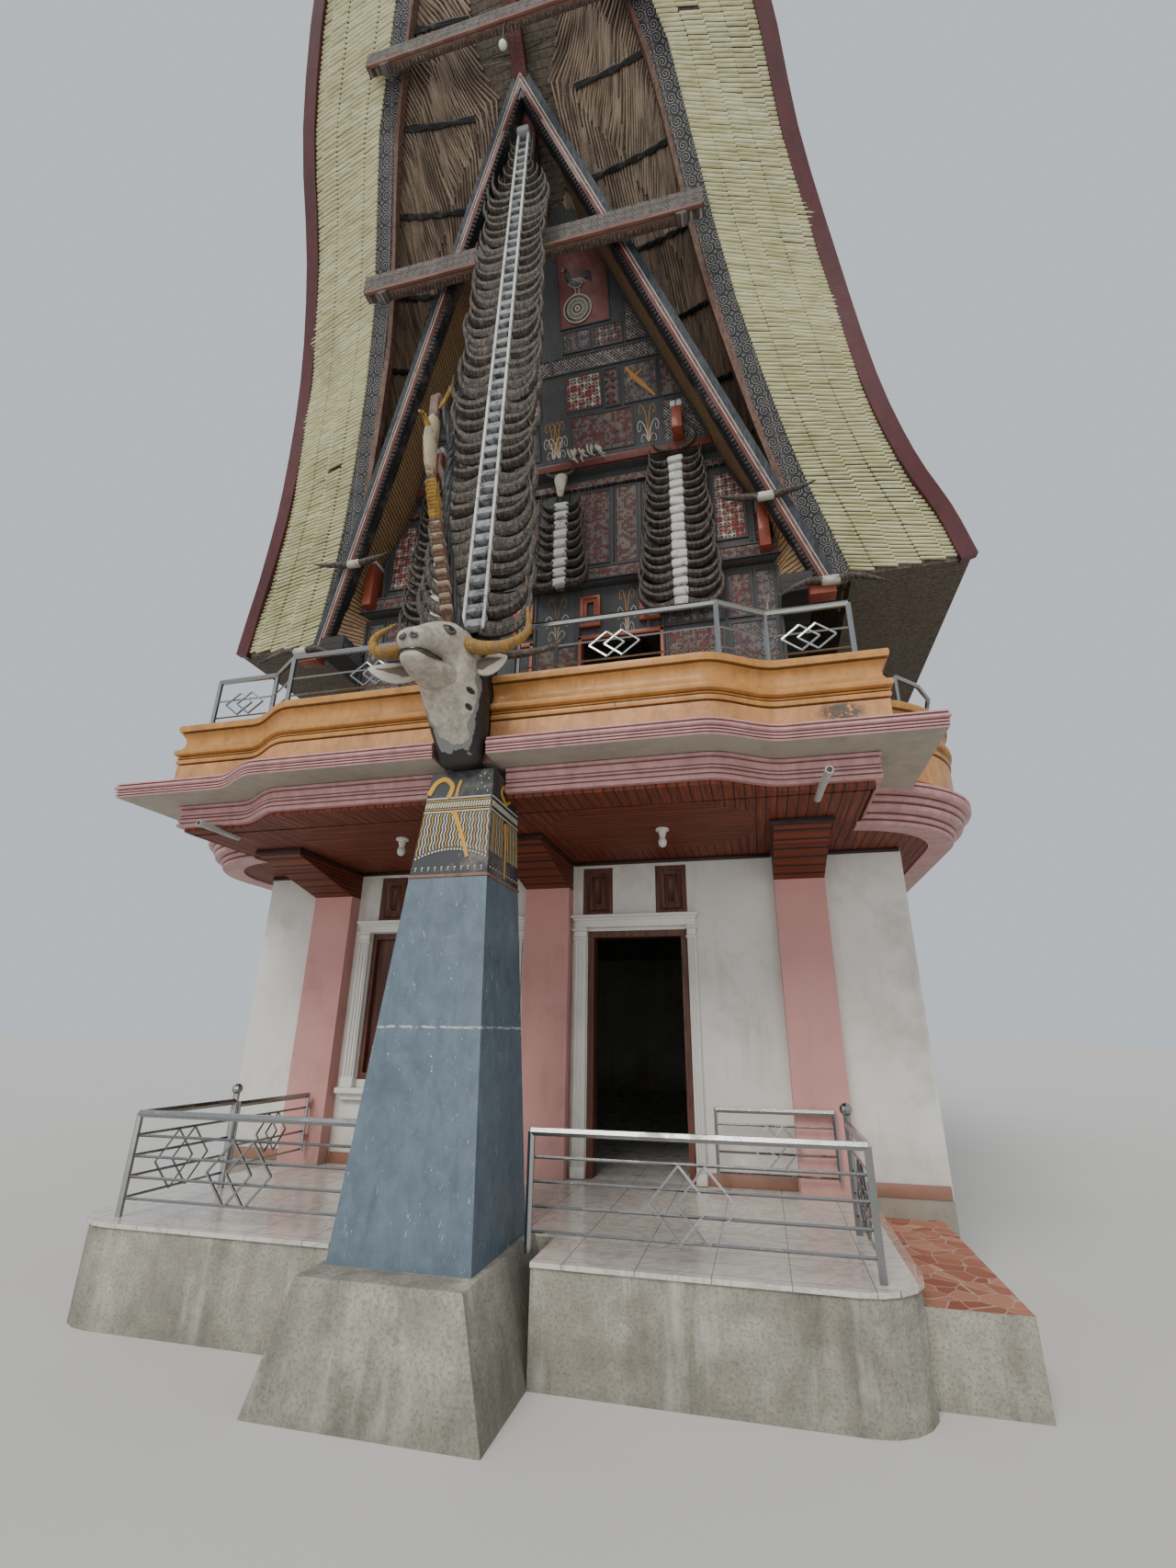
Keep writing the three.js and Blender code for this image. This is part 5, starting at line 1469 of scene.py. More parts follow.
def katik_bird():
    """Long-necked bird of ridged plates above the head, with a comb, and a black pole beside it"""
    spine = smooth_line(
        [
            (0.01, -7.66, 4.34), (0.02, -7.80, 4.58), (0.02, -7.98, 4.90), (0.0, -8.14, 5.34),
            (-0.01, -8.22, 5.69), (-0.01, -8.17, 6.10),
        ],
        4,
    )
    count = len(spine) - 1
    core = drawn_tube("katik_neck", spine, [0.028] * (count + 1), sides=8)
    dress(core, brown_rib)
    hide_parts("katik")
    plates = {"brown": [], "white": [], "yellow": []}
    for k in range(34):
        share = 0.09 + 0.47 * k / 33
        point = along(spine, share)
        kind = "yellow" if share > 0.42 else ("white" if k % 3 == 1 else "brown")
        wide = 0.082 - 0.020 * share + (0.010 if k % 2 else 0.0)
        lean = turned(math.radians(-28.0), "X")
        size = scaled(wide, 0.105, 0.024)
        plates[kind].append(Matrix.Translation(point + Vector((0.0, -0.012, 0.0))) @ lean @ size)
    for kind, material in (("brown", brown_rib), ("white", carved_pale), ("yellow", ochre_wood)):
        model = block("plate", 0.12)
        dress(
            copies(f"katik_plates_{kind}", model, plates[kind]), material, angle=50.0
        )
    rings = []
    for z, y, wide, deep in (
        (5.36, -8.15, 0.024, 0.05), (5.44, -8.18, 0.036, 0.070), (5.60, -8.21, 0.040, 0.080),
        (5.78, -8.20, 0.038, 0.075), (5.86, -8.18, 0.030, 0.055),
    ):
        turns = [2 * math.pi * i / 12 for i in range(12)]
        rings.append([Vector((-0.01 + wide * math.cos(a), y + deep * math.sin(a), z)) for a in turns])
    dress(skin("katik_head", rings), carved_pale, angle=50.0)
    crown = box("katik_crown", (-0.046, -8.23, 5.86), (0.022, -8.13, 6.06), bevel=0.016)
    dress(crown, brown_rib)
    fingers = []
    for k in range(4):
        foot = Vector((0.020 + 0.014 * k, -8.20, 5.94 + 0.028 * k))
        tip = foot + Vector((0.060 - 0.006 * k, -0.03, 0.075))
        fingers.append(
            drawn_tube(
                "finger", smooth_line([foot, foot.lerp(tip, 0.5) + Vector((0.014, 0.0, 0.0)), tip], 3),
                [0.014 - 0.0014 * i for i in range(7)], 6,
            )
        )
    bill = smooth_line([(-0.01, -8.24, 5.70), (-0.01, -8.33, 5.74), (-0.01, -8.40, 5.70)], 3)
    fingers.append(drawn_tube("bill", bill, [0.026 - 0.003 * i for i in range(7)], 8))
    dress(joined("katik_comb", fingers), ochre_wood, angle=50.0)
    pole = smooth_line(
        [
            (0.108, -7.72, 4.35), (0.063, -7.86, 4.80), (0.058, -8.00, 5.12), (0.086, -8.08, 5.50),
            (0.104, -8.13, 5.64), (0.032, -8.19, 6.02),
        ],
        5,
    )
    strands = []
    for turn in (0.0, 2.1, 4.2):
        line = []
        for k, point in enumerate(smooth_line(pole, 2)):
            a = turn + k * 0.5
            line.append(point + Vector((math.cos(a) * 0.014, math.sin(a) * 0.014, 0.0)))
        strands.append(drawn_tube("strand", line, [0.017] * len(line), sides=6))
    dress(joined("katik_black_pole", strands), tarred_rope, angle=60.0)


# Carved box


BOX_FACES = ("front", "back", "right", "left")
BOX_LIFT = 0.004


def on_box(face, u, v):
    """Place on a face of the carved box: u from -1 to 1 to its right, v from 0 to 1 up it"""
    half = 0.279 - 0.044 * v
    front, back = -7.390 + 0.110 * v, -6.780 - 0.010 * v
    z = 2.700 + 0.800 * v
    middle = (front + back) / 2
    if face in ("front", "back"):
        way = 1 if face == "front" else -1
        return Vector((way * u * half, front - BOX_LIFT if way > 0 else back + BOX_LIFT, z))
    way = 1 if face == "right" else -1
    return Vector((way * (half + BOX_LIFT), middle + way * u * (back - front) / 2, z))


def box_line(face, points, radius, steps=3, taper=0.0):
    """Raised painted line through places on a face of the carved box"""
    spots = smooth_line([on_box(face, u, v) for u, v in points], steps)
    side = (0.0, 1.0, 0.0) if face in ("front", "back") else (1.0, 0.0, 0.0)
    return drawn_tube("line", spots, tapering(spots, radius, taper), 6, 0.5, side)


def spread(half, count):
    """Evenly spaced places from minus half to half"""
    return [-half + 2 * half * k / (count - 1) for k in range(count)]


def box_rows(face, bead):
    """Beaded band between two lines, and a row of dashes near the foot"""
    rows = [box_line(face, [(-0.97, v), (0.97, v)], 0.006, 1) for v in (0.60, 0.73)]
    rows += [box_line(face, [(u - 0.014, 0.640), (u + 0.014, 0.690)], bead, 1) for u in spread(0.94, 26)]
    rows += [box_line(face, [(u - 0.030, 0.085), (u + 0.012, 0.090)], 0.006, 1) for u in spread(0.86, 11)]
    return rows


def box_front(face):
    """Beaded band with a loop and a blade over rows of wavy fringes"""
    pale = box_rows(face, 0.0065)
    ochre = [box_line(face, [(-0.97, v), (0.97, v)], 0.004, 1) for v in (0.625, 0.705)]
    for k, u in enumerate(spread(0.93, 23)):
        foot = 0.18 + 0.09 * (1.0 - u * u)
        wave = [(u + 0.018 * (-1) ** i, 0.585 - (0.585 - foot) * i / 8) for i in range(9)]
        (pale if k % 3 else ochre).append(box_line(face, wave, 0.0045, 2))
        pale.append(box_line(face, [(u, foot - 0.012), (u, foot - 0.030)], 0.007, 1))
    for u in spread(0.86, 11):
        pale.append(box_line(face, [(u - 0.012, 0.060), (u - 0.010, 0.072)], 0.004, 1))
    for u, v in (
        (0.55, 0.80), (0.66, 0.86), (0.78, 0.82), (0.60, 0.93), (0.74, 0.95), (0.88, 0.90), (0.86, 0.78)
    ):
        pale.append(box_line(face, [(u - 0.015, v), (u + 0.015, v)], 0.007, 1))
    ochre.append(
        box_line(
            face,
            [(-0.95, 0.77), (-0.80, 0.88), (-0.56, 0.92), (-0.36, 0.89), (-0.24, 0.83), (-0.32, 0.73)],
            0.020,
        )
    )
    ochre.append(box_line(face, [(0.0, 0.90), (-0.06, 0.82), (-0.08, 0.73)], 0.012))
    ochre.append(box_line(face, [(-0.09, 0.60), (0.02, 0.53), (0.25, 0.36), (0.45, 0.17)], 0.021, 3, 0.35))
    return pale, ochre


def box_side(face):
    """Leaf over the beaded band and a dagger under it, between fringes"""
    pale, ochre = box_rows(face, 0.006), []
    for k, u in enumerate(spread(0.90, 19)):
        if abs(u) > 0.12:
            wave = [(u + 0.016 * (-1) ** i, 0.585 - 0.045 * i) for i in range(9)]
            (pale if k % 2 else ochre).append(box_line(face, wave, 0.0042, 2))
    ochre.append(
        box_line(
            face,
            [
                (0.0, 0.75), (-0.34, 0.82), (-0.22, 0.90), (0.0, 0.88), (0.22, 0.90), (0.34, 0.82),
                (0.0, 0.75),
            ],
            0.014,
        )
    )
    ochre.append(box_line(face, [(0.0, 0.56), (0.05, 0.34), (0.0, 0.05)], 0.020, 3, 0.5))
    return pale, ochre


def carved_box_relief():
    """Raised lines on all four faces, white and yellow, over a rusty lower edge"""
    pale, ochre = [], []
    for face in BOX_FACES:
        first, second = box_front(face) if face in ("front", "back") else box_side(face)
        pale += first
        ochre += second
    dress(joined("carved_box_white_lines", pale), carved_white, angle=60.0)
    dress(joined("carved_box_yellow_lines", ochre), carved_yellow, angle=60.0)
    rim = [box_line(face, [(-1.0, 0.016), (1.0, 0.016)], 0.011, 1) for face in BOX_FACES]
    dress(joined("carved_box_rusty_edge", rim), rusty_edge, angle=60.0)


# Horns

COLUMN_FOOT = Vector((0.0, -7.30, 4.65))
COLUMN_HEAD = Vector((0.0, -7.02, 11.50))
COLUMN_PAIRS = 48


def horn_model(points, thick):
    """One horn from its boss to its tip"""
    line = smooth_line(points, 3)
    return drawn_tube("horn", line, tapering(line, thick, 0.93, 1.5), sides=7)


def big_horn_places():
    """Left and right places of the horn pairs up the tall column"""
    places = []
    for i in range(COLUMN_PAIRS):
        t = (i + 0.35) / COLUMN_PAIRS
        seat_point = COLUMN_FOOT.lerp(COLUMN_HEAD, t)
        room = (RAFTER_TOP - seat_point.z - 0.35) * RAFTER_SLOPE - 0.36
        reach = min(0.47 - 0.13 * t, max(room, 0.14))
        for side in (1, -1):
            tilt = turned(chance.uniform(-0.07, 0.07), "Y") @ turned(chance.uniform(-0.1, 0.1), "X")
            far = reach * chance.uniform(0.86, 1.03)
            size = scaled(side * far, 0.42 * chance.uniform(0.9, 1.1), far * chance.uniform(0.85, 1.35))
            places.append(Matrix.Translation(seat_point + Vector((0.0, 0.045, 0.0))) @ tilt @ size)
    return places


def tall_horn_column():
    """Pairs of horns on grey bosses between two white rails, leaning up the post"""
    points = [
        (0.12, 0.0, 0.0), (0.40, -0.02, -0.09), (0.70, -0.06, -0.08), (0.91, -0.11, 0.08),
        (1.01, -0.17, 0.34), (0.97, -0.22, 0.64),
    ]
    horns = copies("tall_column_horns", horn_model(points, 0.145), big_horn_places())
    dress(outward(horns), horn, angle=50.0)
    rails = []
    for side in (-1, 1):
        foot = COLUMN_FOOT + Vector((side * 0.085, 0.0, 0.0))
        head = COLUMN_HEAD + Vector((side * 0.060, 0.0, 0.12))
        ring = [(-0.014, -0.022), (0.014, -0.022), (0.014, 0.03), (-0.014, 0.03)]
        rails.append(skin("rail", [[p + Vector((x, y, 0.0)) for x, y in ring] for p in (foot, head)]))
    rail = modify(joined("tall_column_rails", rails), "BEVEL", width=0.004, segments=1)
    dress(rail, chipped_white)
    places = []
    for i in range(COLUMN_PAIRS):
        t = (i + 0.35) / COLUMN_PAIRS
        point = COLUMN_FOOT.lerp(COLUMN_HEAD, t) + Vector((0.0, 0.02, 0.015))
        size = scaled(0.150 - 0.045 * t, 0.075, 0.100 * chance.uniform(0.8, 1.0))
        lean = turned(math.radians(-14.0) + chance.uniform(-0.06, 0.06), "X")
        places.append(Matrix.Translation(point) @ lean @ size)
    places.append(
        Matrix.Translation(COLUMN_HEAD + Vector((0.0, -0.01, 0.14))) @ scaled(0.150, 0.110, 0.100)
    )
    bosses = copies("tall_column_bosses", block("boss", 0.16), places)
    dress(bosses, bleached_boss)
    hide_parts("main_horn_column")


def facade_horn_column(name, node, x, foot, head, pairs, reach, slim):
    """Crescents on white bosses in front of the facade"""
    points = [
        (0.12, 0.0, 0.02), (0.42, -0.02, -0.08), (0.72, -0.05, -0.05), (0.94, -0.10, 0.14),
        (1.0, -0.15, 0.42), (0.92, -0.17, 0.70),
    ]
    places, bosses = [], []
    for i in range(pairs):
        t = (i + 0.5) / pairs
        z = foot + (head - foot) * t
        size = reach * (1.06 - 0.36 * t) * chance.uniform(0.92, 1.03)
        for side in (1, -1):
            tilt = turned(chance.uniform(-0.06, 0.06), "Y")
            scale = scaled(side * size, 0.5, size * chance.uniform(0.85, 1.1))
            places.append(Matrix.Translation((x, -5.27, z)) @ tilt @ scale)
        scale = scaled(0.180 * chance.uniform(0.88, 1.05), 0.10, 0.104 * chance.uniform(0.9, 1.04))
        lean = turned(chance.uniform(-0.12, 0.12), "Y") @ turned(chance.uniform(-0.2, 0.2), "X")
        bosses.append(Matrix.Translation((x, -5.29, z)) @ lean @ scale)
    horns = copies(f"{name}_horns", horn_model(points, slim), places)
    dress(outward(horns), horn, angle=50.0)
    knobs = copies(f"{name}_bosses", block("boss", 0.20), bosses)
    dress(knobs, chipped_white, angle=60.0)
    board = box(f"{name}_board", (x - 0.045, -5.262, foot - 0.02), (x + 0.045, -5.231, head + 0.02), 0.004)
    dress(board, dark_post)
    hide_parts(node)


def tie_beam(node, half, front, back, z0, z1):
    """Carved beam with a red strip and slanted beads on its underside, and a rounded nose near each end"""
    beam = box(f"{node}_board", (-half, front, z0), (half, back, z1), 0.008)
    dress(beam, beam_scrolls)
    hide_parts(node)
    deep = back - front
    red = box(
        f"{node}_red_strip", (-half + 0.02, front - 0.004, z0 - 0.030),
        (half - 0.02, front + 0.24 * deep, z0 + 0.012), 0.006,
    )
    dress(red, worn_red)
    lath = box(
        f"{node}_lath", (-half + 0.30, front + 0.26 * deep, z0 - 0.034),
        (half - 0.30, back - 0.006, z0 + 0.010), 0.006,
    )
    dress(lath, brown_rib)
    places = []
    for k in range(int((2 * half - 0.64) / 0.046)):
        spot = Matrix.Translation((-half + 0.34 + 0.046 * k, front + 0.66 * deep, z0 - 0.036))
        places.append(spot @ turned(math.radians(28.0), "Z") @ scaled(0.020, 0.44 * deep, 0.022))
    dress(copies(f"{node}_beads", block("bead", 0.18), places), beam_scrolls)
    noses = []
    for side in (-1, 1):
        nose = primitive(
            "cylinder", "nose", vertices=24, radius=0.075, depth=deep * 0.9,
            rotation=(math.radians(90.0), 0.0, 0.0),
            location=(side * (half - 0.24), (front + back) / 2, z0 - 0.010),
        )
        noses.append(modify(nose, "BEVEL", width=0.008, segments=2))
    dress(joined(f"{node}_noses", noses), beam_scrolls)


def tie_beams():
    tie_beam("tie_beam_lower", 1.990, -6.820, -6.670, 9.900, 10.170)
    tie_beam("tie_beam_upper", 1.690, -7.800, -7.680, 12.180, 12.420)


def hanging_lamp():
    """Milky bulb on a short cord under the upper tie beam"""
    line = smooth_line([(0.020, -7.770, 12.185), (0.012, -7.790, 11.960), (0.020, -7.780, 11.740)], 3)
    cord = drawn_tube("lamp_cord", line, [0.009] * len(line))
    cap = primitive(
        "cylinder", "cap", vertices=16, radius=0.022, depth=0.050, location=(0.020, -7.780, 11.735)
    )
    cords = joined("lamp_cord", [cord, modify(cap, "BEVEL", width=0.005, segments=2)])
    dress(cords, tarred_rope, angle=60.0)
    bulb = primitive(
        "uv_sphere", "hanging_bulb", segments=20, ring_count=12, radius=0.046,
        location=(0.020, -7.780, 11.670), scale=(1.0, 1.0, 1.3),
    )
    dress(bulb, milky_glass, angle=60.0)


buffalo_head()
katik_bird()
carved_box_relief()
tie_beams()
hanging_lamp()
tall_horn_column()
facade_horn_column("right_column", "horn_column_right", 1.445, 6.03, 8.12, 17, 0.43, 0.130)
facade_horn_column("left_column", "horn_column_left", -1.445, 6.03, 8.12, 17, 0.43, 0.130)
facade_horn_column("middle_column", "horn_column_middle", 0.07, 6.50, 7.72, 9, 0.33, 0.145)

slats = joined("verge_slats", [verge_slats(1), verge_slats(-1)])
both_ends(outward(slats), slat_bamboo, angle=60.0)
roof_lining()
lashed_ribs()
roof_edges()
rafters()


# Balcony

PARAPET_SECTION = [
    (0.000, 3.700), (0.000, 3.955), (-0.014, 3.957), (-0.014, 3.967), (0.010, 3.970), (0.014, 3.988),
    (0.010, 4.006), (-0.002, 4.008), (-0.002, 4.014), (0.010, 4.017), (0.014, 4.022), (0.010, 4.028),
    (-0.002, 4.031), (-0.002, 4.038), (0.014, 4.042), (0.030, 4.054), (0.036, 4.074), (0.030, 4.096),
    (0.014, 4.108), (-0.002, 4.111), (-0.002, 4.118), (-0.006, 4.124), (-0.018, 4.150), (-0.022, 4.190),
    (-0.014, 4.225), (0.004, 4.250), (0.016, 4.260), (0.004, 4.263), (0.004, 4.275), (0.030, 4.279),
    (0.036, 4.308), (0.032, 4.334), (0.026, 4.340), (-0.240, 4.340), (-0.240, 3.702),
]
CANOPY_SECTION = [
    (-0.075, 3.575), (-0.006, 3.577), (0.000, 3.588), (-0.012, 3.591), (-0.012, 3.595), (0.002, 3.598),
    (0.002, 3.609), (-0.012, 3.612), (-0.012, 3.617), (0.004, 3.620), (0.004, 3.630), (-0.010, 3.633),
    (-0.010, 3.638), (0.006, 3.642), (0.015, 3.651), (0.015, 3.663), (0.006, 3.672), (-0.006, 3.675),
    (-0.006, 3.680), (0.008, 3.684), (0.000, 3.699),
]
CORNICE_SECTION = [
    (-0.200, 3.3805), (-0.050, 3.3805), (-0.004, 3.383), (0.004, 3.396), (0.002, 3.412), (-0.014, 3.415),
    (-0.014, 3.421), (-0.002, 3.425), (0.002, 3.440), (-0.004, 3.452), (-0.016, 3.455), (-0.016, 3.460),
    (-0.002, 3.464), (0.004, 3.474), (-0.010, 3.478), (-0.010, 3.484), (0.000, 3.488), (0.000, 3.534),
    (-0.010, 3.537), (-0.010, 3.541), (0.014, 3.546), (0.016, 3.566), (0.004, 3.574), (-0.200, 3.574),
]
GALLERY_CORNICE_SECTION = [
    (-0.080, 3.335), (0.118, 3.330), (0.128, 3.340), (0.126, 3.358), (0.108, 3.361), (0.108, 3.368),
    (0.140, 3.374), (0.156, 3.392), (0.154, 3.404), (0.140, 3.407), (0.140, 3.414), (0.180, 3.420),
    (0.212, 3.436), (0.222, 3.456), (0.220, 3.472), (0.204, 3.475), (0.204, 3.483), (0.236, 3.490),
    (0.248, 3.510), (0.246, 3.528), (0.230, 3.531), (0.230, 3.538), (0.262, 3.544), (0.290, 3.556),
    (0.302, 3.576), (0.303, 3.598), (0.288, 3.602), (0.288, 3.610), (0.303, 3.614), (0.303, 3.634),
    (0.286, 3.646), (0.212, 3.672), (0.198, 3.676), (0.198, 3.690), (-0.080, 3.690),
]
GALLERY_PARAPET_SECTION = [
    (0.050, 3.692), *[(0.198 + out, 3.7 + 1.10 * (z - 3.7)) for out, z in PARAPET_SECTION[:-2]],
    (0.050, 4.404),
]


GROOVE_LEAST = 0.004
GROOVE_SPAN = 0.006


def groove_depths(section):
    """How deep each point of a section lies between its neighbours, from 0 to 1, for painted groove shade
    """
    depths = []
    for i, (out, z) in enumerate(section):
        before = [o for o, up in section[max(i - 3, 0) : i] if abs(up - z) < 0.02]
        after = [o for o, up in section[i + 1 : i + 4] if abs(up - z) < 0.02]
        rise = min(max(before, default=out), max(after, default=out)) - out
        depths.append(min(1.0, max(0.0, (rise - GROOVE_LEAST) / GROOVE_SPAN)))
    return depths


def sweep(name, path, section, inner=None):
    """Moulding whose section (out, height) follows a line on plan, mitred at its bends; inner gives the
    place on plan where a slab behind the moulding ends"""
    rings = []
    for i, point in enumerate(path):
        before = point - path[max(i - 1, 0)]
        after = path[min(i + 1, len(path) - 1)] - point
        first, second = [
            (way if way.length else other).normalized() for way, other in ((before, after), (after, before))
        ]
        out_a, out_b = Vector((first.y, -first.x)), Vector((second.y, -second.x))
        mitre = (out_a + out_b).normalized()
        mitre /= mitre.dot(out_a)
        ring = [Vector((point.x + mitre.x * out, point.y + mitre.y * out, z)) for out, z in section]
        if inner:
            end = inner(point)
            ring += [Vector((*end, section[-1][1])), Vector((*end, section[0][1]))]
        rings.append(ring)
    piece = skin(name, rings)
    # The groove attribute tells the gloss paint where to paint shade in the grooves
    depths = groove_depths(section) + [0.0] * (len(rings[0]) - len(section))
    layer = piece.data.attributes.new("groove", "FLOAT", "POINT")
    layer.data.foreach_set("value", depths * len(rings))
    return piece


def front_path(middle, ends, half, start, back):
    """Line of a balcony moulding on the right: along the front, over the S bend and back at the corner"""
    line = [(start, middle)]
    for k in range(13):
        t = k / 12
        line.append((1.70 + 0.55 * t, middle + (ends - middle) * t * t * (3.0 - 2.0 * t)))
    return [Vector(p) for p in [*line, (half, ends), (half, back)]]


CORNER_RADIUS = 0.9
SLAB_HALF = 3.6
SLAB_END = 5.8


def corner_path(front):
    """Edge of the floor slab round a right corner, from the front bay or to the middle of the rear"""
    side = -1.0 if front else 1.0
    angles = range(-90, 1, 6) if front else range(0, 91, 6)
    middle = Vector((SLAB_HALF - CORNER_RADIUS, side * (SLAB_END - CORNER_RADIUS)))
    turns = [math.radians(a) for a in angles]
    line = [middle + Vector((math.cos(a), math.sin(a))) * CORNER_RADIUS for a in turns]
    waist = Vector((SLAB_HALF, 0.0))
    return [*line, waist] if front else [waist, *line, Vector((0.001, SLAB_END))]


def gallery_edge(name, section, start):
    """Edge of the right gallery, cut straight where the front bay begins"""
    front = sweep(name, corner_path(True), section)
    with editing(front):
        bpy.ops.mesh.bisect(
            plane_co=(start, 0.0, 0.0), plane_no=(1.0, 0.0, 0.0), use_fill=True, clear_inner=True
        )
    return joined(name, [front, sweep(name, corner_path(False), section)])


def balcony():
    """Parapet, canopy, cornice and ceiling border of the front bay, and the edges of the side galleries"""
    parapet = sweep("parapet", front_path(-7.100, -6.860, 2.985, 0.112, -5.815), PARAPET_SECTION)
    infill = box("infill", (0.0, -6.903, 3.702), (0.112, -6.862, 4.338), 0.0)
    parapet = mirrored(joined("front_parapet_mouldings", [parapet, infill]))
    dress(parapet, orange_gloss, angle=35.0)
    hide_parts("front_parapet")
    canopy = sweep(
        "canopy", front_path(-7.380, -7.150, 3.243, 0.205, -5.960), CANOPY_SECTION,
        lambda point: (min(point.x, 2.852), -6.702 if point.y < -6.8 else -5.960),
    )
    infill = box("infill", (0.103, -7.20, 3.58), (0.205, -6.702, 3.695), 0.0)
    canopy = mirrored(joined("front_canopy_mouldings", [canopy, infill]))
    for material in (pink_gloss, canopy_underside):
        canopy.data.materials.append(material)
    with editing(canopy, lambda centre, normal: normal.z < -0.9 and centre.z < 3.59):
        canopy.active_material_index = 1
        bpy.ops.object.material_slot_assign()
    dress(canopy, None, angle=35.0)
    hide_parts("front_canopy")
    cornice = mirrored(
        sweep("cornice_mouldings", front_path(-7.080, -6.830, 2.868, 0.250, -5.830), CORNICE_SECTION)
    )
    dress(cornice, pink_gloss, angle=35.0)
    border = sweep(
        "ceiling_border", front_path(-7.080, -6.830, 2.868, 0.100, -5.100),
        [(-0.045, 3.352), (-0.045, 3.380)],
        lambda point: (min(point.x, 2.845) - 0.01, -6.690 if point.y < -6.75 else point.y),
    )
    dress(mirrored(border), ceiling_boards, angle=35.0)
    for name, section, start, material, slot in (
        ("cornice", GALLERY_CORNICE_SECTION, 2.80, pink_gloss, "pink_paint"),
        ("parapet", GALLERY_PARAPET_SECTION, 2.988, orange_gloss, "orange_paint"),
    ):
        right = gallery_edge(f"gallery_right_{name}", section, start)
        left = other_side(right, f"gallery_left_{name}")
        for piece, side in (
            (dress(right, material, angle=35.0), "right"),
            (dress(left, material, angle=35.0), "left"),
        ):
            if name == "cornice":
                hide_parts(f"side_gallery_{side}")


def ceiling_details():
    """Dark strips where the ceiling meets walls and corbels, lamp holders, and the ends of two tubes"""
    strips = []
    for x0, x1 in ((-3.27, -2.60), (-2.14, -0.232), (0.232, 2.14), (2.60, 3.27)):
        strips.append(box("strip", (x0, -5.035, 3.315), (x1, -4.999, 3.349), 0.006))
    for x0, x1 in ((-2.588, -2.150), (-0.220, 0.220), (2.150, 2.588)):
        strips.append(box("strip", (x0 - 0.025, -6.135, 3.300), (x1 + 0.025, -6.112, 3.349), 0.006))
        for x in (x0 - 0.016, x1 - 0.007):
            strips.append(box("strip", (x, -6.112, 3.318), (x + 0.023, -5.036, 3.349), 0.006))
    dress(joined("ceiling_strips", strips), dark_strip)
    cups, bulbs = [], []
    for x, y in ((1.26, -6.05), (-1.03, -6.22)):
        for z, radius, high in ((3.338, 0.055, 0.022), (3.310, 0.030, 0.040), (3.275, 0.024, 0.030)):
            cup = primitive("cylinder", "cup", vertices=24, radius=radius, depth=high, location=(x, y, z))
            cups.append(modify(cup, "BEVEL", width=0.004, segments=2))
        bulbs.append(
            primitive(
                "uv_sphere", "bulb", segments=20, ring_count=12, radius=0.036, location=(x, y, 3.232),
                scale=(1.0, 1.0, 1.25),
            )
        )
    dress(joined("lamp_holders", cups), white_trim)
    dress(joined("lamp_bulbs", bulbs), milky_glass)
    tubes = []
    for points in (
        [(2.46, -6.55, 3.355), (2.47, -6.85, 3.350), (2.49, -7.16, 3.345)],
        [(-2.46, -6.55, 3.345), (-2.465, -6.78, 3.348), (-2.475, -7.00, 3.350)],
    ):
        line = [Vector(p) for p in points]
        tubes.append(drawn_tube("tube", line, [0.027] * 3, 14, 1.0, (0.0, 0.0, 1.0)))
        way = (line[-1] - line[-2]).normalized()
        # Painted shade: a dark disc closes the open end of each tube
        mouth = drawn_tube(
            "mouth", [line[-1] - way * 0.02, line[-1] + way * 0.001], [0.020] * 2, 14, 1.0, (0.0, 0.0, 1.0)
        )
        mouth.data.materials.append(tarred_rope)
        tubes[-1].data.materials.append(plastic_tube)
        tubes.append(mouth)
    dress(joined("drain_tubes", tubes), None)


# Ground storey


def vent(x0):
    """Brown frame with a sunken louvre board and a slit"""
    piece = box("vent", (x0 + 0.002, -4.985, 2.822), (x0 + 0.298, -4.930, 3.288), 0.0)
    with editing(piece, lambda centre, normal: normal.y < -0.99):
        inset((0.042, 0.0), (0.010, -0.018), (0.036, 0.0), (0.006, 0.012), (0.022, 0.0), (0.004, -0.020))
    return modify(piece, "BEVEL", width=0.002, segments=1)


def pilaster(x0, x1, z0, z1):
    """Moulded board with three reeds, a foot block and a capital"""
    strips = [box("pilaster", (x0, -5.052, z0), (x1, -5.001, z1), 0.0)]
    wide = x1 - x0
    for share in (0.12, 0.42, 0.72):
        x = x0 + wide * share
        strips.append(box("reed", (x, -5.066, z0 + 0.10), (x + wide * 0.16, -5.050, z1 - 0.12), 0.006))
    strips.append(box("foot", (x0 - 0.008, -5.074, z0), (x1 + 0.008, -5.001, z0 + 0.09), 0.008))
    for low, high, out in ((0.115, 0.095, 0.012), (0.090, 0.035, 0.004), (0.032, 0.012, 0.020)):
        strips.append(
            box("capital", (x0 - out, -5.060 - out, z1 - low), (x1 + out, -5.001, z1 - high), 0.005)
        )
    return strips


def crosspiece(x0, x1, z0, z1):
    """Lintel with a stepped crown moulding"""
    return [
        box("lintel", (x0, -5.056, z0), (x1, -5.001, z1 - 0.040), 0.004),
        box("lintel", (x0 - 0.014, -5.078, z1 - 0.055), (x1 + 0.014, -5.001, z1 - 0.030), 0.008),
        box("lintel", (x0 - 0.030, -5.096, z1 - 0.030), (x1 + 0.030, -5.001, z1), 0.008),
    ]


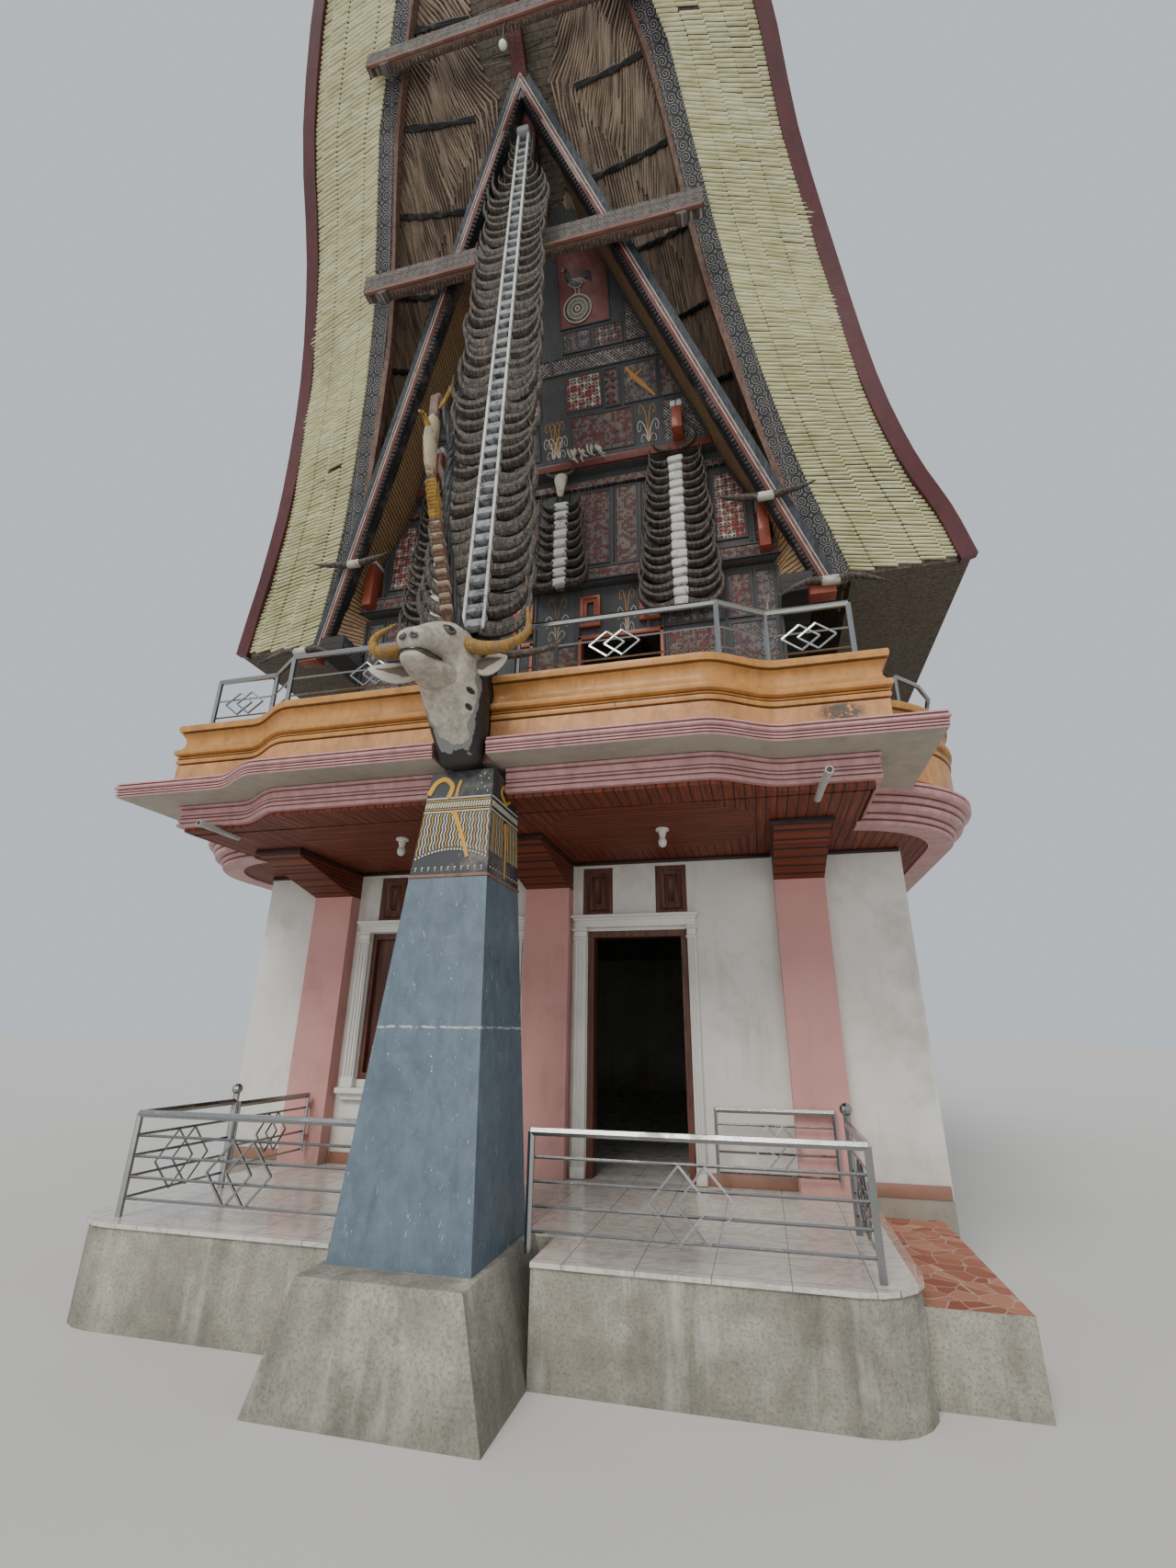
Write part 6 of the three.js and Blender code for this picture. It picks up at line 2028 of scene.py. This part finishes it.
def openings():
    """Louvre vents, mouldings round the door and the wide window, and the skirting"""
    vents = [vent(x) for x in (-1.91, -0.74, 0.32, 1.04)]
    dress(joined("vent_louvres", vents), brown_frames)
    door = pilaster(0.252, 0.368, 0.575, 2.700) + pilaster(1.336, 1.414, 0.575, 2.700)
    door = joined("door_mouldings", door + crosspiece(0.252, 1.414, 2.700, 2.818))
    dress(door, white_trim, angle=30.0)
    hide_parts("door_trim")
    window = pilaster(-2.073, -1.956, 1.230, 2.720) + pilaster(-0.374, -0.257, 1.230, 2.720)
    window += crosspiece(-2.073, -0.257, 2.706, 2.823)
    window.append(box("sill", (-2.110, -5.110, 1.177), (-0.245, -5.001, 1.230), 0.012))
    window.append(box("apron", (-2.073, -5.060, 1.120), (-0.257, -5.001, 1.177), 0.010))
    window = joined("window_mouldings", window)
    dress(window, white_trim, angle=30.0)
    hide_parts("window_trim")
    skirting = []
    for x0, x1 in ((-3.27, -2.60), (-2.14, -0.232), (1.43, 2.14), (2.60, 3.27)):
        skirting.append(box("skirting", (x0, -5.012, 0.572), (x1, -4.999, 0.668), 0.004))
    dress(joined("wall_skirting", skirting), clay_skirting)


# Carved facade


def on_front(piece, z):
    """Moves a piece made about y = 0 onto the front at height z, and leans it there with the gable"""
    place = Matrix.Translation((0.0, front_face(z), 0.0))
    if z >= GABLE_FOOT:
        lean = Matrix.Identity(4)
        lean[1][2] = -LEAN
        lean[1][3] = LEAN * z
        place = place @ lean
    piece.data.transform(place)
    return piece


def framed_panel(field, x0, x1, z0, z1, rim=0.028, cut=None):
    """Carved panel sunk in a beaded frame; cut is a point and a normal of a slanting edge"""
    panel = box("panel", (x0, -0.018, z0), (x1, 0.002, z1), bevel=0.0)
    if cut:
        with editing(panel):
            bpy.ops.mesh.bisect(plane_co=cut[0], plane_no=cut[1], use_fill=True, clear_outer=True)
    for material in (beaded_board, field):
        panel.data.materials.append(material)
    with editing(panel, lambda centre, normal: normal.y < -0.9):
        inset((0.005, 0.0), (rim, 0.0), (0.004, -0.010))
        panel.active_material_index = 1
        bpy.ops.object.material_slot_assign()
    return on_front(panel, (z0 + z1) / 2)


def slant(inset):
    """Cut of a panel along the slope of the rafters, inside their outer line"""
    return Vector((RAFTER_X - inset, 0.0, RAFTER_FOOT)), Vector((1.0, 0.0, RAFTER_SLOPE))


def gable_panels():
    return [
        framed_panel(panel_red, 0.14, 0.78, 9.93, 10.98, 0.008, slant(0.04)),
        framed_panel(scroll_dark, 0.16, 0.52, 9.62, 9.90, 0.014),
        framed_panel(cross_dark, 0.54, 0.92, 9.62, 9.90, 0.014),
        framed_panel(fret_dark, 0.94, 1.26, 9.62, 10.20, 0.012, slant(0.05)),
        framed_panel(fret_dark, 0.00, 1.40, 9.38, 9.59, 0.010, slant(0.05)),
        framed_panel(cross_red, 0.16, 0.62, 8.90, 9.34, 0.014),
        framed_panel(sun_rings, 0.64, 0.84, 8.87, 9.35, 0.012),
        framed_panel(scroll_dark, 0.88, 1.30, 8.87, 9.35, 0.012),
        framed_panel(lozenge_strip, 1.32, 1.58, 8.87, 9.35, 0.010, slant(0.05)),
        framed_panel(scroll_red, 0.20, 0.98, 8.36, 8.84, 0.014),
        framed_panel(fret_dark, 1.32, 1.86, 8.32, 8.84, 0.014, slant(0.05)),
    ]


def cut_along_rafters(piece):
    """Takes off what stands outside the rafters, on both sides"""
    for side in (1, -1):
        with editing(piece):
            bpy.ops.mesh.bisect(
                plane_co=(side * (RAFTER_X - 0.02), 0.0, RAFTER_FOOT), plane_no=(side, 0.0, RAFTER_SLOPE),
                use_fill=True, clear_outer=True,
            )
    return piece


def upper_boards():
    """Boards of the upper tier with its band, and the foot of the leaning gable"""
    tier = cut_along_rafters(box("tier", (-2.44, TIER_Y, 6.76), (2.44, -5.092, 8.40), 0.0))
    foot = cut_along_rafters(box("foot", (-2.20, 0.0, GABLE_FOOT), (2.20, 0.13, 8.56), 0.0))
    band = box("band", (-2.60, -5.228, 6.571), (2.60, -5.112, 6.758), 0.006)
    in_place_of(
        joined("facade_upper_boards", [tier, on_front(foot, 8.30), band]), beaded_board,
        "facade_upper",
    )


def tier_panels():
    return [
        framed_panel(scroll_red, 0.24, 0.65, 6.84, 7.93, 0.014),
        framed_panel(lozenge_strip, 0.69, 0.97, 6.82, 7.94, 0.014),
        framed_panel(scroll_dark, 1.02, 1.42, 6.84, 7.91, 0.014),
        framed_panel(fret_dark, 1.44, 1.80, 6.84, 7.91, 0.014),
        framed_panel(cross_red, 1.84, 2.20, 6.90, 7.88, 0.016, slant(0.05)),
        framed_panel(lozenge_strip, 2.22, 2.42, 6.84, 7.40, 0.012, slant(0.05)),
    ]


def lower_panels():
    return [
        framed_panel(scroll_dark, 1.24, 1.88, 5.92, 6.50, 0.022),
        framed_panel(scroll_red, 1.92, 2.20, 5.92, 6.50, 0.020),
        framed_panel(scroll_dark, 2.22, 2.44, 5.92, 6.50, 0.016),
        framed_panel(scroll_red, 1.24, 1.88, 5.30, 5.88),
        framed_panel(scroll_dark, 1.92, 2.44, 5.30, 5.88),
        framed_panel(scroll_dark, 1.24, 1.82, 4.40, 5.26),
        framed_panel(scroll_red, 1.86, 2.44, 4.40, 5.26),
        framed_panel(lozenge_strip, 0.00, 0.24, 4.40, 5.84, 0.02),
    ]


def facade_bands():
    """Rails, bands and beam faces that cross the whole facade"""
    bands = [
        (box("band", (-2.58, -5.250, 6.600), (2.58, -5.228, 6.735), 0.004), scroll_red),
        (box("band", (-2.59, -5.262, 6.575), (2.59, -5.228, 6.597), 0.004), chalk_dots),
        (box("band", (-2.59, -5.262, 6.738), (2.59, -5.228, 6.760), 0.004), chalk_dots),
        (box("band", (-2.00, -5.225, 7.965), (2.00, -5.168, 8.060), 0.008), lozenge_strip),
        (on_front(box("band", (-1.88, -0.034, 8.205), (1.88, 0.010, 8.292), 0.006), 8.25), panel_red),
        (on_front(box("band", (-1.85, -0.024, 8.297), (1.85, 0.002, 8.345), 0.004), 8.25), chalk_dots),
    ]
    for piece, material in bands:
        piece.data.materials.append(material)
    return [piece for piece, _ in bands]


def stiles():
    """Upright frame boards between the panels"""
    made = []
    for x, wide, z0, z1 in (
        (0.665, 0.040, 6.78, 7.92), (0.995, 0.040, 6.78, 7.92), (2.26, 0.040, 6.78, 7.40),
        (0.08, 0.11, 6.78, 7.92), (1.06, 0.035, 5.90, 6.55), (1.22, 0.030, 4.36, 6.55),
        (2.47, 0.030, 4.36, 6.55), (0.26, 0.030, 4.36, 6.55),
    ):
        stile = box("stile", (x - wide / 2, -0.034, z0), (x + wide / 2, 0.002, z1), 0.005)
        stile.data.materials.append(beaded_board)
        made.append(on_front(stile, (z0 + z1) / 2))
    return made


def curl(points, x, z, wide, high, radius):
    """Painted carved line of a motif, given in shares of its width and height, with its mirror image"""
    pair = []
    for side in (1, -1):
        line = [Vector((x + side * u * wide, -0.004, z + v * high)) for u, v in smooth_pairs(points)]
        pair.append(drawn_tube("curl", line, tapering(line, radius, 0.55), 6, 0.8))
    return pair


def smooth_pairs(points):
    return [(p.x, p.z) for p in smooth_line([(u, 0.0, v) for u, v in points], 3)]


STEM = [
    (0.06, 0.0), (0.12, 0.22), (0.38, 0.46), (0.72, 0.58), (0.98, 0.46), (0.90, 0.30), (0.70, 0.34),
    (0.72, 0.46),
]
PLUME = [
    (0.05, 0.10), (0.08, 0.42), (0.16, 0.72), (0.42, 0.98), (0.70, 0.96), (0.76, 0.82), (0.60, 0.76),
    (0.50, 0.84),
]
FOOT = [(0.10, 0.04), (0.34, 0.20), (0.62, 0.16), (0.70, 0.02), (0.52, 0.0), (0.46, 0.08)]
MOTIFS = [
    (0.03, 8.38, 0.12, 0.44), (1.15, 8.38, 0.13, 0.44), (0.815, 5.93, 0.11, 0.56), (0.00, 5.93, 0.14, 0.56),
    (1.56, 5.98, 0.14, 0.46), (2.33, 5.98, 0.08, 0.46), (1.62, 7.00, 0.11, 0.80),
]


def curly_motifs(lines):
    made = []
    for x, z, wide, high in MOTIFS:
        for points, radius in lines:
            for piece in curl(points, x, z, wide, high, radius):
                made.append(on_front(piece, z + high / 2))
    return made


def rooster_and_sun():
    """Low relief on the red panel: a rooster standing on a rayed disc"""
    x, z = 0.38, 10.15
    face = primitive(
        "cylinder", "sun", vertices=40, radius=0.175, depth=0.012, location=(x, -0.012, z),
        rotation=(math.radians(90.0), 0.0, 0.0),
    )
    rings = []
    for radius, thick in ((0.172, 0.008), (0.125, 0.006), (0.068, 0.006), (0.026, 0.010)):
        rings.append(
            primitive(
                "torus", "ring", major_radius=radius, minor_radius=thick, major_segments=40,
                minor_segments=6, location=(x, -0.018, z), rotation=(math.radians(90.0), 0.0, 0.0),
            )
        )
    turns = [turned(2 * math.pi * k / 24, "Y") for k in range(24)]
    size = scaled(0.007, 0.010, 0.040)
    middle, out = Matrix.Translation((x, -0.018, z)), Matrix.Translation((0.0, 0.0, 0.098))
    rays = copies("rays", block("ray", 0.1), [middle @ turn @ out @ size for turn in turns])
    dark = [face]
    body = primitive(
        "uv_sphere", "body", segments=16, ring_count=10, radius=1.0, location=(x - 0.005, -0.014, z + 0.33),
        rotation=(0.0, math.radians(28.0), 0.0), scale=(0.105, 0.016, 0.070),
    )
    dark.append(body)
    neck = [(x - 0.07, z + 0.35), (x - 0.105, z + 0.42), (x - 0.115, z + 0.49), (x - 0.13, z + 0.53)]
    dark.append(relief_line(neck, [0.042, 0.030, 0.022, 0.020]))
    for lift in (0.0, 0.035, 0.07):
        tail = [
            (x + 0.05, z + 0.33 + lift / 2), (x + 0.12, z + 0.38 + lift), (x + 0.17, z + 0.36 + lift),
            (x + 0.19, z + 0.30 + lift),
        ]
        dark.append(relief_line(tail, [0.020, 0.022, 0.016, 0.006]))
    light = rings + [rays]
    for shift in (-0.02, 0.025):
        leg = [(x + shift, z + 0.27), (x + shift + 0.01, z + 0.22), (x + shift, z + 0.18)]
        light.append(relief_line(leg, [0.007, 0.006, 0.005]))
        light.append(
            relief_line(
                [(x + shift - 0.03, z + 0.183), (x + shift, z + 0.185), (x + shift + 0.025, z + 0.183)],
                [0.003, 0.006, 0.003],
            )
        )
    light.append(
        relief_line(
            [(x - 0.13, z + 0.53), (x - 0.155, z + 0.52), (x - 0.175, z + 0.51)], [0.012, 0.008, 0.003]
        )
    )
    for k in range(4):
        feather = [
            (x - 0.05 + 0.03 * k, z + 0.37), (x + 0.02 + 0.03 * k, z + 0.33),
            (x + 0.06 + 0.02 * k, z + 0.29),
        ]
        light.append(relief_line(feather, [0.003, 0.005, 0.002], -0.030))
    outline = smooth_pairs(
        [(x - 0.10, z + 0.33), (x - 0.04, z + 0.27), (x + 0.05, z + 0.265), (x + 0.09, z + 0.32)]
    )
    light.append(relief_line(outline, [0.005] * len(outline), -0.02))
    return dark, light


def relief_line(points, radii, out=-0.014):
    """Raised line from place to place on the front, in x and z"""
    return drawn_tube("line", [Vector((x, out, z)) for x, z in points], radii, 8, 0.5, (0.0, 1.0, 0.0))


def small_red_window(x):
    """Red frame, sunk in steps round its slit, and bevelled"""
    frame_box = box("window", (x - 0.12, -0.060, 6.02), (x + 0.12, 0.0, 6.43), 0.006)
    with editing(frame_box, lambda centre, normal: normal.y < -0.99):
        inset((0.030, 0.0), (0.004, -0.016), (0.040, 0.0), (0.003, -0.034))
    return on_front(frame_box, 6.2)


def red_frames():
    """Frames of the small windows and of the wide opening, and the brackets on the beams"""
    made = [small_red_window(0.40), small_red_window(1.08)]
    for low, high in (
        ((0.265, 4.36), (0.305, 5.90)), ((1.185, 4.36), (1.225, 5.90)), ((0.265, 5.855), (1.225, 5.91))
    ):
        made.append(on_front(box("casing", (low[0], -0.055, low[1]), (high[0], 0.06, high[1]), 0.006), 5.0))
    made.append(box("bracket", (1.44, -5.55, 8.30), (1.565, -5.29, 8.62), 0.010))
    made.append(box("bracket", (2.30, -5.38, 6.60), (2.42, -5.17, 7.20), 0.010))
    made.append(box("bracket", (2.70, -5.655, 5.72), (2.95, -5.50, 5.90), 0.010))
    return made


def dagger():
    """Yellow carved dagger across a dark panel"""
    blade = relief_line(
        [(0.93, 9.30), (1.00, 9.20), (1.10, 9.09), (1.26, 8.90)], [0.018, 0.030, 0.034, 0.012]
    )
    guard = relief_line([(0.93, 9.13), (1.02, 9.18), (1.12, 9.24)], [0.010, 0.020, 0.008])
    return [on_front(piece, 9.1) for piece in (blade, guard)]


def carved_front():
    """The whole carved facade, front and rear"""
    upper_boards()
    all_round("facade_daggers", dagger(), ochre_line, 60.0)
    all_round(
        "facade_panels", gable_panels() + tier_panels() + lower_panels() + stiles(), None
    )
    both_ends(joined("facade_bands", facade_bands()), None)
    all_round(
        "facade_curls_white", curly_motifs([(STEM, 0.0065), (FOOT, 0.005)]), chalk_line, 60.0
    )
    all_round("facade_curls_ochre", curly_motifs([(PLUME, 0.0055)]), ochre_line, 60.0)
    dark, light = rooster_and_sun()
    for name, pieces, material in (
        ("rooster_dark", dark, tarred_rope), ("rooster_lines", light, chalk_line)
    ):
        all_round(name, [on_front(piece, 10.2) for piece in pieces], material, 60.0)
    all_round("red_frames", red_frames(), orange_red)
    # Painted shade: a dark board fills each small window's slit
    slits = [
        on_front(box("slit", (x - 0.046, -0.018, 6.094), (x + 0.046, 0.0, 6.356), 0.002), 6.2)
        for x in (0.40, 1.08)
    ]
    all_round("window_slit_shadows", slits, tarred_rope)
    caps = [
        box("cap", (1.434, -5.56, 8.62), (1.497, -5.36, 8.705), 0.012),
        box("cap", (1.507, -5.56, 8.62), (1.571, -5.36, 8.705), 0.012),
        box("cap", (2.294, -5.39, 7.20), (2.426, -5.17, 7.245), 0.010),
    ]
    all_round("bracket_caps", caps, chipped_white)


# Skulls and jaw bones


def trophy_horns(droop):
    """Pair of long horns; droop lowers their tips"""
    pieces = []
    for side in (1, -1):
        points = [
            (0.06, 0.0, 0.0), (0.20, -0.02, 0.01), (0.36, -0.05, 0.0 - droop * 0.4), (0.50, -0.09, -droop)
        ]
        line = smooth_line([Vector((side * x, y, z)) for x, y, z in points], 3)
        pieces.append(drawn_tube("trophy", line, tapering(line, 0.046, 0.9, 2.0), 8, 0.8, (0.0, 0.0, 1.0)))
    return pieces


def skull(place, size):
    """Long pale skull, brow up and muzzle down"""
    rings = []
    for z, wide, deep in (
        (0.10, 0.045, 0.03), (0.07, 0.085, 0.045), (0.0, 0.095, 0.05), (-0.09, 0.060, 0.045),
        (-0.20, 0.045, 0.035), (-0.25, 0.040, 0.03),
    ):
        turns = [2 * math.pi * k / 10 for k in range(10)]
        rings.append([Vector((math.cos(a) * wide, math.sin(a) * deep, z)) * size + place for a in turns])
    head = skin("skull", rings)
    return modify(head, "SUBSURF", levels=1, render_levels=1)


def trophies():
    """Skulls with spread horns on the brackets, a skull over the middle horns, jaw bones on the beam"""
    horns, bones = [], []
    for place, droop in (((2.387, -5.668, 6.974), -0.02), ((2.90, -5.68, 5.83), 0.16)):
        for side in (1, -1):
            at = Vector((side * place[0], place[1], place[2]))
            for piece in trophy_horns(droop):
                piece.data.transform(Matrix.Translation(at))
                horns.append(piece)
            brow = box("brow", (-0.095, -0.05, -0.045), (0.095, 0.04, 0.045), bevel=0.034)
            brow.data.transform(Matrix.Translation(at))
            bones.append(brow)
    top = Vector((0.05, -5.30, 8.06))
    for place, size in (
        (top, 1.0), (Vector((1.445, -5.34, 8.10)), 1.25), (Vector((-1.445, -5.34, 8.10)), 1.25)
    ):
        for side in (1, -1):
            points = [(0.05, 0.0, 0.08), (0.14, -0.01, 0.10), (0.20, -0.02, 0.18), (0.18, -0.03, 0.32)]
            line = smooth_line([Vector((side * x, y, z)) * size + place for x, y, z in points], 3)
            horns.append(drawn_tube("horn", line, tapering(line, 0.030 * size, 0.9), 8, 0.8))
    bones.append(skull(top, 1.0))
    jaw_line = smooth_line(
        [(0.0, 0.0, 0.0), (0.01, -0.02, -0.07), (0.03, -0.03, -0.14), (0.07, -0.03, -0.19)], 3
    )
    jaw = drawn_tube(
        "jaw", jaw_line, [0.034 - 0.020 * k / (len(jaw_line) - 1) for k in range(len(jaw_line))], 8, 0.45,
        (1.0, 0.0, 0.0),
    )
    places = []
    for k in range(9):
        turn = turned(chance.uniform(-0.5, 0.5), "Z") @ turned(chance.uniform(-0.3, 0.3), "Y")
        places.append(
            Matrix.Translation(
                (0.17 + 0.050 * k, -5.44 - 0.02 * (k % 2), 8.33 + chance.uniform(-0.02, 0.06))
            ) @ turn
        )
    bones.append(copies("jaw_bones", jaw, places))
    dress(joined("trophy_horns", horns), horn, angle=60.0)
    dress(outward(joined("trophy_skulls", bones)), bleached_bone, angle=60.0)


balcony()
ceiling_details()
openings()
carved_front()
trophies()


# Camera, floor and light


def set_camera():
    lens = bpy.data.cameras.new("camera")
    lens.lens = CAMERA_LENS
    lens.sensor_width = 36.0
    lens.clip_end = 500.0
    camera = bpy.data.objects.new("camera", lens)
    bpy.context.scene.collection.objects.link(camera)
    turn = turned(math.radians(CAMERA_LEFT), "Z")
    tilt = turned(math.radians(90.0 + CAMERA_UP), "X")
    roll = turned(math.radians(CAMERA_ROLL), "Z")
    camera.matrix_world = Matrix.Translation(CAMERA_PLACE) @ turn @ tilt @ roll
    bpy.context.scene.camera = camera


def set_floor():
    bpy.ops.mesh.primitive_circle_add(
        vertices=96, radius=220.0, fill_type="NGON", location=(0.0, 0.0, -0.001)
    )
    floor = bpy.context.object
    floor.name = "studio_floor"
    made, w, at = begun("studio floor", 0.85)
    made.show(w.mix(w.noise(at, 0.6, 4.0), "#c4c2bd", "#cccac6"))
    floor.data.materials.append(made.material)


def set_light():
    world = bpy.data.worlds.new("studio")
    world.use_nodes = True
    world.node_tree.nodes["Background"].inputs["Color"].default_value = paint("#dfe6ee")
    world.node_tree.nodes["Background"].inputs["Strength"].default_value = 0.85
    bpy.context.scene.world = world
    sun = bpy.data.lights.new("soft key", "SUN")
    sun.energy = 2.2
    sun.angle = math.radians(25.0)
    sun.color = (1.0, 0.97, 0.92)
    key = bpy.data.objects.new("soft key", sun)
    key.rotation_euler = (math.radians(48.0), math.radians(8.0), math.radians(-18.0))
    bpy.context.scene.collection.objects.link(key)
    panel = bpy.data.lights.new("soft front", "AREA")
    panel.shape = "RECTANGLE"
    panel.size, panel.size_y = 16.0, 8.0
    panel.energy = 550.0
    front = bpy.data.objects.new("soft front", panel)
    front.location = (2.0, -19.0, 3.5)
    front.rotation_euler = (math.radians(112.0), 0.0, math.radians(6.0))
    bpy.context.scene.collection.objects.link(front)


set_camera()
set_floor()
set_light()
